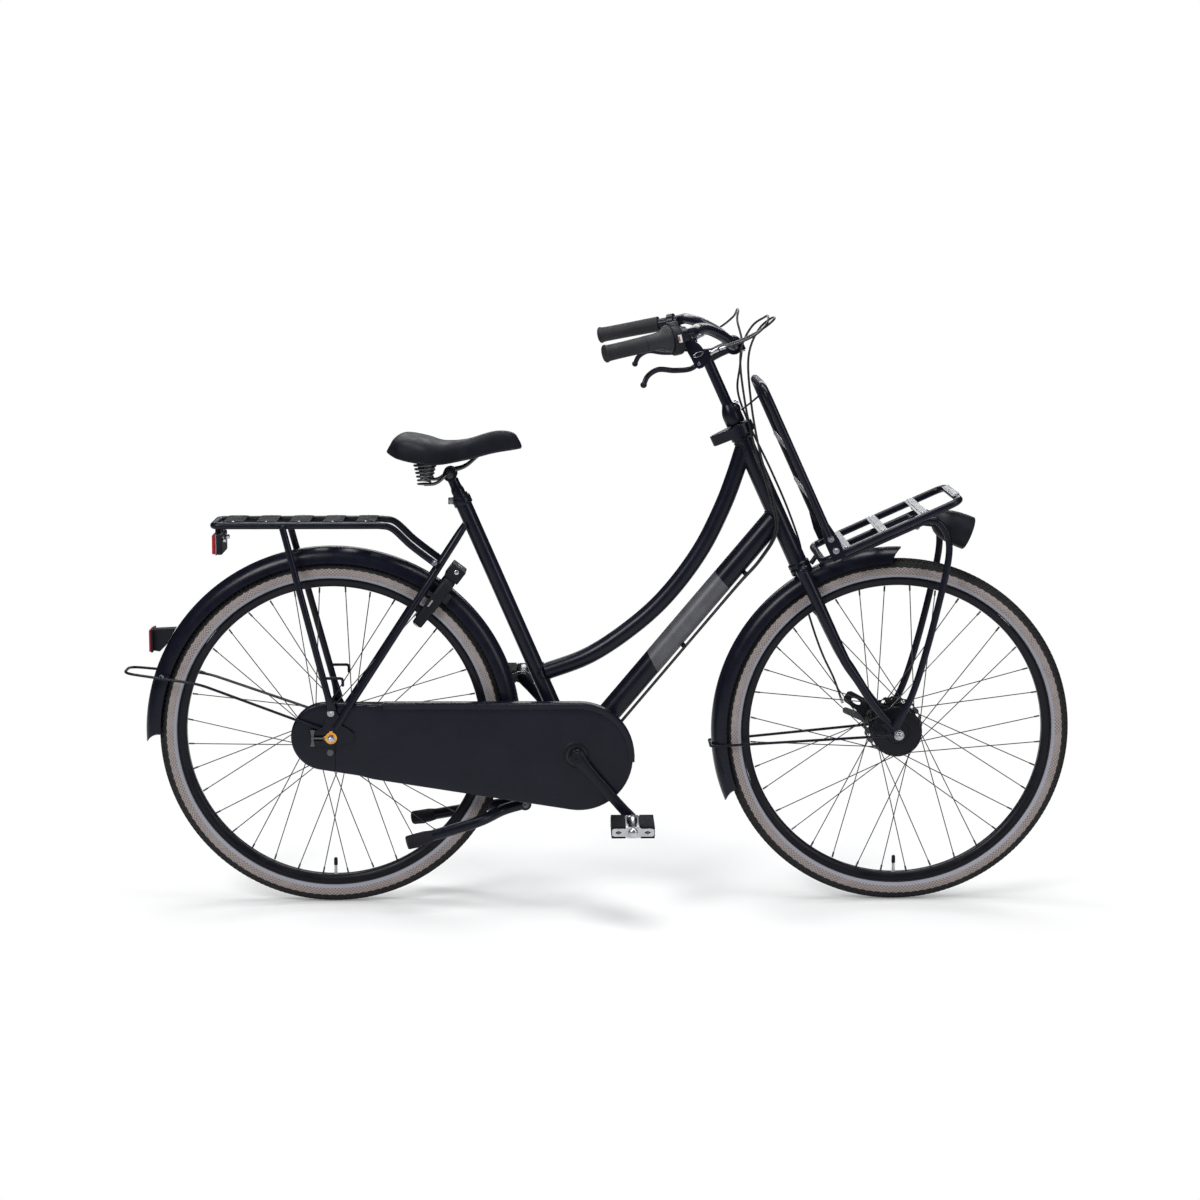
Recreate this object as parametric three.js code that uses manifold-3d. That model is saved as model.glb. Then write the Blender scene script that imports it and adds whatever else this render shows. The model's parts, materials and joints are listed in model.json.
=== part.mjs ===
// City bicycle with a swan-neck frame, closed chain case, front and rear carriers and a folded
// double-leg stand. Millimetres, +Z up, +X forward, the drive side is -Y. The object rests on its
// two tyres; its origin is the middle of its footprint.
import * as THREE from 'three';
import { mergeVertices } from 'three/addons/utils/BufferGeometryUtils.js';
import Module from 'manifold-3d';

const wasm = await Module();
wasm.setup();

// Clearances
const GAP = 0.3; // between pieces that touch or are welded
const RUN_GAP = 0.8; // between pieces that turn in each other
const OVERRUN = 4; // how far a cut passes the face it opens
const SINK = 1.5; // how deep one welded shape is set into the next

// Layout
const WHEELBASE = 1160;
const HEAD_ANGLE = 65.7;
const FORK_RAKE = 43;
const SEAT_ANGLE = 66.6;
const BRACKET_REACH = 500; // rear axle to bottom bracket, along X
const BRACKET_DROP = 37;
const SEAT_SETBACK = 10; // seat tube foot behind the bottom bracket's middle

// Wheels
const WHEEL_RADIUS = 358;
const WHEEL_SEGMENTS = 36;
const TYRE_WIDTH = 47;
const CROWN_WIDTH = 22;
const TYRE_BEAD_WIDTH = 25;
const TYRE_WIDEST_DROP = 17; // widest place below the tread
const TYRE_HEIGHT = 40; // rim edge to tread
const RIM_DEPTH = 15.5;
const RIM_WIDTH = 27;
const RIM_BASE_WIDTH = 16;
const VALVE_RADIUS = 3.2;
const VALVE_LENGTH = 34;
const VALVE_CAP_RADIUS = 4.2;
const VALVE_CAP_LENGTH = 14;
const SPOKE_COUNT = 36;
const SPOKE_RADIUS = 1.3;
const SPOKE_SIDES = 3;
const SPOKE_CROSSES = 3;
const NIPPLE_BAND_HEIGHT = 2.6;
const NIPPLE_BAND_WIDTH = 13;
const SPOKE_SPREAD = 3; // how far off the mid-plane the spokes reach the rim
const FLANGE_THICKNESS = 3;
const FLANGE_MARGIN = 4; // spoke hole to flange edge
const REAR_FLANGE_RADIUS = 44;
const REAR_BARREL_RADIUS = 33;
const REAR_FLANGE_OFFSET = 29;
const FRONT_FLANGE_RADIUS = 52;
const FRONT_BARREL_RADIUS = 45;
const FRONT_FLANGE_OFFSET = 27;
const HUB_END_LENGTH = 6;
const HUB_END_RADIUS = 24;
const HUB_SEGMENTS = 14;
const REAR_AXLE_RADIUS = 5;
const FRONT_AXLE_RADIUS = 4.5;
const NUT_RADIUS = 9;
const NUT_LENGTH = 8;
const AXLE_TAIL = 5; // axle thread standing out of its nut
const COOL_DISC_RADIUS = 62;
const COOL_DISC_THICKNESS = 3;
const COOL_HOLE_COUNT = 8;
const COOL_HOLE_RADIUS = 7;
const COOL_HOLE_MARGIN = 12;
const DRUM_RADIUS = 38;
const DRUM_THICKNESS = 8;
const BRAKE_ARM_LENGTH = 72;
const BRAKE_ARM_RISE = 30;
const BRAKE_ARM_WIDTH = 14;
const BRAKE_ARM_THICKNESS = 4;
const BRAKE_ARM_BOSS = 9;
const ARM_PIVOT_REACH = 26; // brake arm pivot from the axle
const ARM_PIVOT_RADIUS = 4;
const BRAKE_PLATE_REACH = 118; // brake anchor plate along the fork blade
const BRAKE_PLATE_WIDTH = 30;
const BRAKE_PLATE_THICKNESS = 3;
const SPROCKET_RADIUS = 35;
const SPROCKET_THICKNESS = 2.6;

// Frame tubes
const HEAD_TUBE_RADIUS = 19;
const HEAD_TUBE_BOTTOM = 404; // along the steering axis, from the level of the front axle
const HEAD_TUBE_LENGTH = 278;
const HEAD_CUP_RADIUS = 22.5;
const HEAD_CUP_HEIGHT = 10;
const STEERER_RADIUS = 12.7;
const DOWN_TUBE_RADIUS = 23.5;
const DOWN_TUBE_AHEAD = 6; // its foot ahead of the bottom bracket's middle
const DOWN_TUBE_JOIN = 105; // up the head tube
const TOP_TUBE_RADIUS = 17.5;
const TOP_TUBE_JOIN_SHARE = 0.939; // up the head tube
const TOP_TUBE_FOOT = 169; // along the seat tube
const TOP_TUBE_SHARES = [
  [0, 0], [0.155, 0.08], [0.328, 0.123], [0.47, 0.135], [0.652, 0.1175],
  [0.81, 0.073], [0.907, 0.0346], [1, -0.008],
];
const SEAT_TUBE_RADIUS = 16.5;
const SEAT_TUBE_LENGTH = 576;
const SEAT_COLLAR_RADIUS = 19.5;
const SEAT_COLLAR_HEIGHT = 16;
const SEAT_COLLAR_EAR = 20;
const SEAT_COLLAR_DROP = 22;
const BRACKET_RADIUS = 21;
const BRACKET_HALF_WIDTH = 34;
const STAY_RADIUS = 7.5;
const SEAT_STAY_JOIN = 506; // along the seat tube
const SEAT_STAY_JOIN_OFFSET = 18;
const SEAT_STAY_SETBACK = 17; // behind the seat tube's axis
const STAY_BRIDGE_RADIUS = 6;
const CUP_FLANGE_RADIUS = 27;
const SEAT_STAY_MID_SHARE = 0.75;
const BRIDGE_SHARE = 0.785; // up the seat stays, over the fender
const SEAT_STAY_MID_OFFSET = 40;
const CHAIN_STAY_OFFSET = 31; // at the bottom bracket
const DROPOUT_OFFSET = 64; // inner face, half the hub's clamped width
const DROPOUT_THICKNESS = 5;
const DROPOUT_LENGTH = 92;
const DROPOUT_HEIGHT = 38;
const DROPOUT_EYE_RISE = 52;
const DROPOUT_EYE_RADIUS = 11;
const DROPOUT_FRONT_SHARE = 0.5;
const FRAME_SIDES = 10;
const STAY_SIDES = 6;

// Stand
const STAND_PIVOT_SETBACK = 106; // behind the bottom bracket
const STAND_PIVOT_DROP = 112;
const STAND_BOSS_RADIUS = 13;
const STAND_BOSS_HALF = 9;
const STAND_PIN_RADIUS = 6;
const STAND_LEG_RADIUS = 10.5;
const STAND_LEG_OFFSET = 22;
const STAND_FOOT_OFFSET = 100;
const STAND_LENGTH = 232;
const STAND_DROP = 60; // feet below the pivot when folded
const STAND_LEG_SHARES = [[0, 0, 0], [0.19, 0.2, 0.06], [0.4, 0.45, 0.5], [1, 1, 1]];
const STAND_FOOT_RADIUS = 14;
const STAND_FOOT_LENGTH = 46;

// Chain drive
const CASE_INNER = 37;
const CASE_OUTER = 74;
const CASE_WALL = 2;
const CASE_FRONT_RADIUS = 110;
const CASE_FRONT_SHIFT = 5; // ahead of the bottom bracket, and as much below it
const CASE_REAR_RADIUS = 69;
const CASE_REAR_SHIFT = 14;
const CASE_SPLIT = 8; // seam between case and end cap, ahead of the rear axle
const CASE_FLAT_LENGTH = 42; // of the case's outer face behind its slope
const CASE_SLOPE_LENGTH = 40;
const CASE_ARC_STEPS = 11;
const CAP_OUTER = 62;
const CAP_AXLE_HOLE = 12;
const CAP_HUB_HOLE = 44;
const CASE_CRANK_HOLE = 24;
const CASE_STRIP_START = 98;
const CASE_STRIP_RISE = 4;
const CASE_STRIP_FALL = 11;
const CASE_STRIP_THICKNESS = 2;
const CASE_STRIP_DEPTH = 24;
const CASE_PLUG_RADIUS = 7;
const CASE_PLUG_DROP = 32;
const CASE_PLUG_SETBACK = 3;
const CHAIN_LINE = 47;
const CHAIN_WIDTH = 7;
const CHAIN_HEIGHT = 8;
const CHAIN_SEAT = 1.5; // chain to wheel, which clears its flats too
const CHAIN_ARC_STEPS = 10;
const CHAINRING_RADIUS = 75;
const CHAINRING_THICKNESS = 2.6;
const CHAINRING_SEGMENTS = 24;
const SPINDLE_RADIUS = 8.5;
const CRANK_LENGTH = 170;
const CRANK_ANGLE = -48.8;
const CRANK_INNER = 83;
const CRANK_THICKNESS = 14;
const CRANK_BOSS_RADIUS = 17;
const CRANK_EYE_RADIUS = 12;
const PEDAL_SPINDLE_RADIUS = 5;
const PEDAL_LENGTH = 88;
const PEDAL_WIDTH = 98;
const PEDAL_HEIGHT = 27;
const PEDAL_BLOCK_LENGTH = 30;
const PEDAL_PLATE_THICKNESS = 3;
const PEDAL_TUBE_RADIUS = 10;
const PEDAL_CLEARANCE = 6;
const TENSIONER_LENGTH = 38;
const TENSIONER_BAR = 34;
const TENSIONER_THICKNESS = 5;
const WASHER_RADIUS = 12;
const WASHER_THICKNESS = 2.5;

// Fenders
const FENDER_GAP = 10; // tyre to fender edge, radially
const FENDER_HALF_WIDTH = 28;
const FENDER_CROWN = 18; // edge to crown, radially
const FENDER_SHOULDER_SHARE = 0.7;
const FENDER_THICKNESS = 1.6;
const REAR_FENDER_START = -8;
const REAR_FENDER_END = 183;
const REAR_FENDER_STEPS = 22;
const FRONT_FENDER_DROP = 4; // closer to the tyre than the rear one
const FRONT_FENDER_START = 89;
const FRONT_FENDER_END = 203;
const FRONT_FENDER_STEPS = 13;
const FENDER_STAY_RADIUS = 2.8;
const BUMPER_REACH = 424;
const BUMPER_RISE = 129;
const BUMPER_HALF_WIDTH = 36;
const BUMPER_CORNER = 24;
const BUMPER_KNEE_REACH = 268;
const BUMPER_KNEE_RISE = 110;
const BUMPER_KNEE_HALF_WIDTH = 58;
const BUMPER_TAB_SHARE = 0.525;
const FRONT_STAY_DROP = 28;
const REFLECTOR_ANGLE = 150;
const REFLECTOR_HEIGHT = 48;
const REFLECTOR_WIDTH = 50;
const REFLECTOR_DEPTH = 34;
const REFLECTOR_LENS = 5;

// Saddle and seat post
const POST_RADIUS = 13.5;
const POST_LENGTH = 190;
const POST_RISE = 38; // above the seat tube
const POST_NECK_RADIUS = 11;
const POST_NECK_LENGTH = 26;
const CLAMP_RADIUS = 14;
const CLAMP_HALF_WIDTH = 27;
const CLAMP_LIFT = 8;
const SADDLE_LENGTH = 274;
const SADDLE_SETBACK = 128; // saddle tail behind the seat clamp
const SADDLE_HALF_WIDTH = 102;
const SADDLE_NOSE_HALF_WIDTH = 22;
const SADDLE_RISE = 88; // highest crest above the clamp
const SADDLE_RIM_RISE = 24; // lowest rim above the clamp
const SADDLE_TOP_SHARES = [
  [0, 0.66], [0.07, 0.86], [0.14, 0.94], [0.3, 0.86], [0.43, 0.76], [0.58, 0.8], [0.84, 1], [0.93, 0.96],
    [1, 0.82],
];
const SADDLE_RIM_SHARES = [[0, 0.34], [0.18, 0.14], [0.4, 0.02], [0.6, 0.12], [0.8, 0.32], [1, 0.45]];
const SADDLE_WIDTH_SHARES = [[0, 0.72], [0.12, 0.95], [0.25, 1], [0.4, 0.78], [0.55, 0.42], [0.75, 0.25],
  [1, 0.19]];
const SADDLE_RINGS = 20;
const SADDLE_SIDES = 18;
const SADDLE_END_SHARE = 0.3;
const SADDLE_SIDE_SHARE = 0.62;
const RAIL_RADIUS = 3.5;
const RAIL_HALF_GAP = 22;
const RAIL_NOSE_REACH = 60;
const RAIL_NOSE_HALF_GAP = 14;
const SPRING_OFFSET = 48;
const SPRING_SETBACK = 50; // behind the clamp
const SPRING_DROP = 14; // spring foot below the clamp
const SPRING_TOP_RADIUS = 21;
const SPRING_FOOT_RADIUS = 12;
const SPRING_WIRE_RADIUS = 1.9;
const SPRING_TURNS = 5;
const SPRING_STEPS = 8;
const SPRING_SIDES = 5;
const SPRING_CUP_RADIUS = 15;
const SPRING_CUP_THICKNESS = 2.5;
const SPRING_HEIGHT = 42;

// Rear carrier and lamp
const RACK_HEIGHT = 434; // deck tube above the rear axle
const RACK_REAR_REACH = 235;
const RACK_FRONT_REACH = 100;
const RACK_HALF_WIDTH = 52;
const RACK_FOOT_REACH = 118; // sloped front part, along X
const RACK_FOOT_DROP = 82;
const RACK_TUBE_RADIUS = 7;
const RACK_CORNER = 30;
const RACK_SLAT_COUNT = 5;
const RACK_SLAT_PITCH = 67;
const RACK_SLAT_LENGTH = 40;
const RACK_SLAT_THICKNESS = 3;
const RACK_LEG_TOP_SETBACK = 94;
const RACK_LEG_TOP_OFFSET = 58;
const RACK_LEG_RADIUS = 7;
const RACK_LEG_FLAT = 3;
const RACK_HOOK_RISE = 54;
const RACK_HOOK_REACH = 40;
const RACK_HOOK_DROP = 14;
const RACK_HOOK_RADIUS = 3;
const RACK_FOOT_SHARES = [[0, 0], [0.2, 0.05], [0.55, 0.5], [1, 1]];
const BOLT_HEAD_RADIUS = 6;
const BOLT_HEAD_HEIGHT = 3.5;
const LAMP_REAR_WIDTH = 84;
const LAMP_REAR_HEIGHT = 44;
const LAMP_REAR_DEPTH = 22;
const LAMP_REAR_DROP = 11;

// Ring lock
const LOCK_ANGLE = 52.6;
const LOCK_HALF_WIDTH = 44;
const LOCK_SLOT_HALF_WIDTH = 31;
const LOCK_DEPTH = 20;
const LOCK_ARM_REACH = 80; // arm ends inside the tyre's tread radius
const LOCK_BODY_HEIGHT = 26;
const LOCK_BODY_HALF_WIDTH = 30;
const LOCK_FENDER_GAP = 4;
const LOCK_KNOB_LENGTH = 22;
const LOCK_KNOB_WIDTH = 9;
const LOCK_KNOB_DEPTH = 12;
const LOCK_KNOB_SHARE = 0.2;

// Fork and stem, measured along and ahead of the steering axis
const FORK_CROWN = 387;
const FORK_CROWN_RADIUS = 22.5;
const FORK_CROWN_DEPTH = 24;
const FORK_CROWN_THICKNESS = 12;
const FORK_HALF_WIDTH_TOP = 45;
const FORK_END_OFFSET = 50; // inner face of the fork end
const FORK_END_THICKNESS = 6;
const FORK_BLADE_TOP_RADIUS = 14;
const FORK_BLADE_END_RADIUS = 7.5;
const FORK_BLADE_SHARES = [
  [-0.01, 0, 0], [0.101, 0.035, 0.35], [0.278, 0.056, 0.75], [0.452, 0.086, 0.95], [0.542, 0.13, 1],
  [0.641, 0.29, 1], [0.778, 0.474, 1], [0.968, 0.926, 1],
];
const FORK_END_LENGTH = 34;
const FORK_END_HEIGHT = 24;
const STEM_COLLAR_RADIUS = 20;
const STEM_COLLAR_HEIGHT = 44;
const STEM_COLLAR_START = 24; // above the head tube
const QUILL_RADIUS = 11.1;
const QUILL_DEPTH = 60;
const LOCK_RING_RADIUS = 32;
const LOCK_RING_HEIGHT = 22;
const LOCK_RING_LOBE = 46;
const LOCK_RING_LOBE_RADIUS = 14;
const STEM_RISE = 184; // above the head tube
const STEM_REACH = 60;
const STEM_ARM_RADIUS = 13;
const STEM_CLAMP_RADIUS = 19;
const STEM_CLAMP_HALF = 20;

// Handlebar and controls
const BAR_RADIUS = 11.1;
const BAR_SWEEP = 241;
const BAR_HALF_WIDTH = 303;
const BAR_RISE = 111;
const BAR_SHARES = [
  [0, 0, 0], [0.005, 0.095, 0.015], [0.06, 0.235, 0.27], [0.155, 0.4, 0.53],
  [0.232, 0.58, 0.65], [0.262, 0.72, 0.672], [0.3, 0.812, 0.668],
];
const BAR_SIDES = 8;
const BAR_STEPS = 20;
const BAR_STRAIGHT_SHARE = 0.06;
const GRIP_RADIUS = 16.5;
const GRIP_LENGTH = 84;
const GRIP_OVERHANG = 2;
const SHIFTER_SLEEVE_LENGTH = 50;
const SHIFTER_SLEEVE_FLARE = 27;
const SHIFTER_BODY_RADIUS = 30;
const SHIFTER_BODY_LENGTH = 20;
const SHIFTER_BODY_OFFSET = 5;
const SHIFTER_BUMP = 16;
const SHIFTER_BUMP_RADIUS = 15;
const PERCH_LENGTH = 14;
const PERCH_RADIUS = 17;
const PERCH_DROP = 62; // lever pivot below the bar
const PERCH_BODY_RADIUS = 9;
const PERCH_REACH = 26;
const LEVER_PIVOT_AHEAD = 6;
const LEVER_CHEEK = 4;
const LEVER_HALF_THICKNESS = 5;
const LEVER_LENGTH = 114;
const LEVER_ARCH = 30;
const LEVER_SPREAD = 35;
const LEVER_RADIUS = 5.5;
const LEVER_BALL_RADIUS = 6.5;
const LEVER_SHARES = [[0, 0, 0], [0.16, 0, -0.1], [0.42, 0.28, 0.25], [0.68, 0.6, 0.78], [0.88, 0.85, 0.68],
  [1, 1, 0.3]];
const ADJUSTER_RADIUS = 4.5;
const ADJUSTER_LENGTH = 20;

// Front carrier and headlamp, measured along and ahead of the steering axis
const DECK_HEIGHT = 402;
const DECK_START = 44;
const DECK_END = 345;
const DECK_HALF_WIDTH = 112;
const DECK_CORNER = 26;
const DECK_TUBE_RADIUS = 7.5;
const DECK_SLAT_SHARES = [0.18, 0.45, 0.74];
const DECK_SLAT_LENGTH = 24;
const DECK_SLAT_THICKNESS = 3;
const DECK_NOSE_PLATE = 150;
const DECK_HOOK_RADIUS = 5;
const DECK_HOOK_DROP = 13;
const DECK_FOOT_WIDTH = 8;
const BACK_AHEAD = 76;
const BACK_FOOT = 446;
const BACK_TOP = 776;
const BACK_CORNER = 40;
const BACK_TUBE_RADIUS = 8.5;
const BACK_SLAT_SHARES = [0.3, 0.62];
const BACK_SLAT_HEIGHT = 20;
const BACK_PLATE_LENGTH = 74;
const BACK_PLATE_WIDTH = 30;
const BACK_PLATE_THICKNESS = 4;
const BACK_ROD_HEIGHT = 738;
const BACK_ROD_RADIUS = 2.2;
const LEG_OFFSET = 65;
const LEG_RADIUS = 7;
const LEG_TOP_DROP = 17; // leg run under the deck
const LEG_KNEE_AHEAD = 297;
const LEG_RUN_START = 84;
const LEG_SHARES = [[0, 0], [0.228, 0.174], [0.715, 0.563], [0.965, 0.805], [1, 0.89], [0.975, 0.965],
  [0.9, 1]];
const LEG_CROSS_AHEAD = 250;
const HEADLAMP_RADIUS = 35;
const HEADLAMP_LENGTH = 80;
const HEADLAMP_AHEAD = 344;
const HEADLAMP_HEIGHT = 312;
const HEADLAMP_TILT = -46;
const HEADLAMP_SHARES = [[0, 0], [0.03, 0.34], [0.25, 0.74], [0.6, 0.96], [0.96, 1], [0.96, 0.9]];
const HEADLAMP_SEGMENTS = 18;
const LAMP_BRACKET_RADIUS = 5;
const CABLE_RADIUS = 2.3;
const CABLE_SIDES = 4;
const CLIP_SHARES = [0.48, 0.79]; // along the down tube
const CLIP_LENGTH = 8;
const CLIP_HALF_WIDTH = 9;
const CLIP_REACH = 27; // down tube's axis to the cables
const LOCK_CLAMP_RADIUS = 5;
const LOCK_CLAMP_SHARE = 0.7; // up its arms

// Routes of the cables, as places of the undivided model: along X, Y and Z
const REAR_BRAKE_CABLE = [
  [775.4, -252, 1161.4], [812, -246, 1173], [846, -226, 1187], [871, -194, 1207], [877, -152, 1220],
  [874, -108, 1216], [852, -70, 1196], [832, -44, 1146], [841, -31, 1044], [867, -28, 932],
  [893, -28, 850], [906, -26, 778], [876, -10, 716], [837, -6, 670], [760, -6, 578], [683, -6, 486],
  [606, -5, 394], [567, 4, 347], [534, 14, 308], [500, 19, 291], [465, 25, 294], [430, 32, 303],
  [390, 38, 311], [320, 45, 319], [230, 53, 325], [160, 52, 327], [108, 47.1, 328],
];
const SHIFT_CABLE = [
  [727, -232, 1158], [762, -226, 1160], [812, -214, 1174], [862, -186, 1196], [890, -146, 1214],
  [888, -104, 1214], [866, -68, 1190], [848, -46, 1140], [853, -41, 1044], [874, -38, 932],
  [899, -38, 850], [909, -36, 778], [876, -19, 714], [837, -15, 669], [760, -15, 578], [683, -15, 486],
  [606, -15, 394], [567, -16, 347], [534, -18, 308], [500, -20, 291], [465, -24, 298], [430, -29, 309],
  [390, -34, 319], [300, -34.3, 330], [200, -34.3, 342], [130, -34.3, 350], [66, -34.4, 356],
];
const FRONT_BRAKE_CABLE = [
  [775.4, 252, 1161.6], [806, 240, 1176], [833, 204, 1201], [838, 160, 1218], [837, 112, 1218],
  [832, 68, 1200], [840, 40, 1157], [836, 34, 1111], [831, 31, 1060], [855, 30, 990], [901, 32, 894],
  [939, 38, 807], [967, 55, 723], [968, 66, 683], [974, 65, 630], [990, 60, 571], [1013, 52, 506],
  [1037, 47, 455], [1055, 42.8, 404],
];

// Finishes
const FINISH = {
  frame: { color: 0x16181d, roughness: 0.42, metalness: 0.35 },
  rubber: { color: 0x1a1a1b, roughness: 0.85, metalness: 0 },
  tyre: { color: 0x6d625b, roughness: 0.9, metalness: 0 },
  rim: { color: 0x1b1c1f, roughness: 0.5, metalness: 0.3 },
  steel: { color: 0xb9bcc0, roughness: 0.3, metalness: 0.9 },
  darkSteel: { color: 0x34363a, roughness: 0.45, metalness: 0.7 },
  leather: { color: 0x1d1e21, roughness: 0.7, metalness: 0 },
  yellow: { color: 0xe0a021, roughness: 0.5, metalness: 0.2 },
  red: { color: 0xb01c1c, roughness: 0.25, metalness: 0 },
  cable: { color: 0x1b1b1d, roughness: 0.6, metalness: 0 },
};

const RIGHT = -1;
const LEFT = 1;
const HALF = 0.5;
const CORNER_SHARE = 0.45; // most of a stretch that one rounded corner takes
const rad = THREE.MathUtils.degToRad;
const at = (x, y, z) => new THREE.Vector3(x, y, z);

// Solids

/** Closed solid of a three.js geometry, turned right side out. */
function solid(geometry) {
  const bare = geometry.clone();
  bare.deleteAttribute('normal');
  bare.deleteAttribute('uv');
  const merged = mergeVertices(bare);
  const index = merged.index.array;
  const position = merged.attributes.position;
  const [a, b, c] = [at(0, 0, 0), at(0, 0, 0), at(0, 0, 0)];
  const kept = [];
  let volume = 0;
  for (let i = 0; i < index.length; i += 3) {
    const [p, q, r] = [index[i], index[i + 1], index[i + 2]];
    if (p === q || q === r || r === p) continue;
    kept.push(p, q, r);
    a.fromBufferAttribute(position, p);
    b.fromBufferAttribute(position, q);
    c.fromBufferAttribute(position, r);
    volume += a.dot(b.cross(c));
  }
  if (volume < 0) for (let i = 0; i < kept.length; i += 3) [kept[i], kept[i + 1]] = [kept[i + 1], kept[i]];
  return new wasm.Manifold(new wasm.Mesh({
    numProp: 3,
    vertProperties: new Float32Array(position.array),
    triVerts: new Uint32Array(kept),
  }));
}

const join = (...parts) => parts.flat().reduce((sum, part) => sum.add(part));
const largest = (part) => part.decompose().sort((p, q) => q.volume() - p.volume())[0];
const moved = (part, matrix) => part.transform(matrix.elements);

function polygon(radius, sides) {
  const shape = new THREE.Shape();
  for (let i = 0; i < sides; i += 1) {
    const turn = (2 * Math.PI * (i + HALF)) / sides;
    shape[i ? 'lineTo' : 'moveTo'](radius * Math.cos(turn), radius * Math.sin(turn));
  }
  shape.closePath();
  return shape;
}

/** Path through its points as they are, turning evenly at each of them. */
class Route extends THREE.Curve {
  constructor(points) {
    super();
    this.points = points;
  }

  getPoint(t, target = at(0, 0, 0)) {
    const place = t * (this.points.length - 1);
    const start = Math.min(Math.floor(place), this.points.length - 2);
    return target.lerpVectors(this.points[start], this.points[start + 1], place - start);
  }

  getPointAt(t, target) {
    return this.getPoint(t, target);
  }

  getTangentAt(t, target = at(0, 0, 0)) {
    const last = this.points.length - 1;
    const knot = Math.round(t * last);
    const here = this.points[knot];
    const arriving = here.clone().sub(this.points[Math.max(knot - 1, 0)]).normalize();
    const leaving = this.points[Math.min(knot + 1, last)].clone().sub(here).normalize();
    return target.copy(arriving).add(leaving).normalize();
  }
}

/** Even points on a smooth curve through the given ones. */
const smooth = (points, count) => new THREE.CatmullRomCurve3(points, false, 'centripetal')
  .getSpacedPoints(count);

/** The points with each inner corner rounded off. */
function rounded(points, corner, steps = 3) {
  const out = [points[0]];
  for (let i = 1; i < points.length - 1; i += 1) {
    const [before, here, after] = points.slice(i - 1, i + 2);
    const near = (other) => here.clone().lerp(other, Math.min(CORNER_SHARE, corner / here.distanceTo(other)));
    out.push(...new THREE.QuadraticBezierCurve3(near(before), here, near(after)).getPoints(steps));
  }
  out.push(points[points.length - 1]);
  return out;
}

/** Tube through the points; an end radius tapers it from its first to its last point. */
function tube(points, radius, { sides = 8, endRadius = radius } = {}) {
  const count = points.length - 1;
  const geometry = new THREE.ExtrudeGeometry(polygon(radius, sides), {
    steps: count, bevelEnabled: false, extrudePath: new Route(points),
  });
  if (endRadius !== radius) {
    const position = geometry.attributes.position;
    const spot = at(0, 0, 0);
    for (let i = 0; i < position.count; i += 1) {
      spot.fromBufferAttribute(position, i);
      let near = 0;
      points.forEach((centre, k) => {
        if (centre.distanceToSquared(spot) < points[near].distanceToSquared(spot)) near = k;
      });
      const scale = THREE.MathUtils.lerp(1, endRadius / radius, near / count);
      spot.sub(points[near]).multiplyScalar(scale).add(points[near]);
      position.setXYZ(i, spot.x, spot.y, spot.z);
    }
  }
  return solid(geometry);
}

/** Cylinder between two points. */
const rod = (from, to, radius, sides = 12) => tube([from, to], radius, { sides });

function box(sizeX, sizeY, sizeZ, centre) {
  return solid(new THREE.BoxGeometry(sizeX, sizeY, sizeZ).translate(centre.x, centre.y, centre.z));
}

/** Flat shape drawn in X and Z, standing from y = low to y = high. */
function slab(shape, low, high) {
  const geometry = new THREE.ExtrudeGeometry(shape, { depth: high - low, bevelEnabled: false,
    curveSegments: 8 });
  return solid(geometry.rotateX(Math.PI / 2).translate(0, high, 0));
}

/** Turned piece about the Y axis; the profile is pairs of radius and y. */
function turned(profile, centre, segments, closed = false) {
  const points = profile.map(([r, y]) => new THREE.Vector2(r, y));
  if (closed) points.push(points[0].clone());
  const geometry = new THREE.LatheGeometry(points, segments).rotateY(Math.PI / segments);
  return solid(geometry.translate(centre.x, centre.y, centre.z));
}

const disc = (radius, low, high, centre, segments = 20) => turned(
  [[0, low], [radius, low], [radius, high], [0, high]], at(centre.x, 0, centre.z), segments);

/** Outline round two circles and their outer tangents, drawn in X and Z. */
function beltShape(rear, rearRadius, front, frontRadius, steps) {
  const away = Math.hypot(front.x - rear.x, front.z - rear.z);
  const line = Math.atan2(front.z - rear.z, front.x - rear.x);
  const lean = Math.acos((rearRadius - frontRadius) / away);
  const points = [];
  const arc = (centre, radius, from, to) => {
    for (let i = 0; i <= steps; i += 1) {
      const turn = from + ((to - from) * i) / steps;
      points.push(new THREE.Vector2(centre.x + radius * Math.cos(turn), centre.z + radius * Math.sin(turn)));
    }
  };
  arc(front, frontRadius, line - lean, line + lean);
  arc(rear, rearRadius, line + lean, line + 2 * Math.PI - lean);
  return new THREE.Shape(points);
}

const ordered = (p, q) => (p < q ? [p, q] : [q, p]);

const outline = (...points) => new THREE.Shape(points.map(([x, z]) => new THREE.Vector2(x, z)));

// Places that everything hangs on
const rearAxle = at(0, 0, WHEEL_RADIUS);
const frontAxle = at(WHEELBASE, 0, WHEEL_RADIUS);
const bracket = at(BRACKET_REACH, 0, WHEEL_RADIUS - BRACKET_DROP);
const steerAhead = at(Math.sin(rad(HEAD_ANGLE)), 0, Math.cos(rad(HEAD_ANGLE)));
const steerUp = at(-Math.cos(rad(HEAD_ANGLE)), 0, Math.sin(rad(HEAD_ANGLE)));
const steerFoot = frontAxle.clone().addScaledVector(steerAhead, -FORK_RAKE);
const steerFrame = new THREE.Matrix4().makeBasis(steerAhead, at(0, 1, 0), steerUp).setPosition(steerFoot);
const steer = (ahead, y, up) => at(ahead, y, up).applyMatrix4(steerFrame);
const steered = (part) => moved(part, steerFrame);
const seatUp = at(-Math.cos(rad(SEAT_ANGLE)), 0, Math.sin(rad(SEAT_ANGLE)));
const seatFoot = at(bracket.x - SEAT_SETBACK, 0, bracket.z);
const onSeatTube = (along, y = 0) => seatFoot.clone().addScaledVector(seatUp, along).setY(y);
const headTop = HEAD_TUBE_BOTTOM + HEAD_TUBE_LENGTH;
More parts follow.
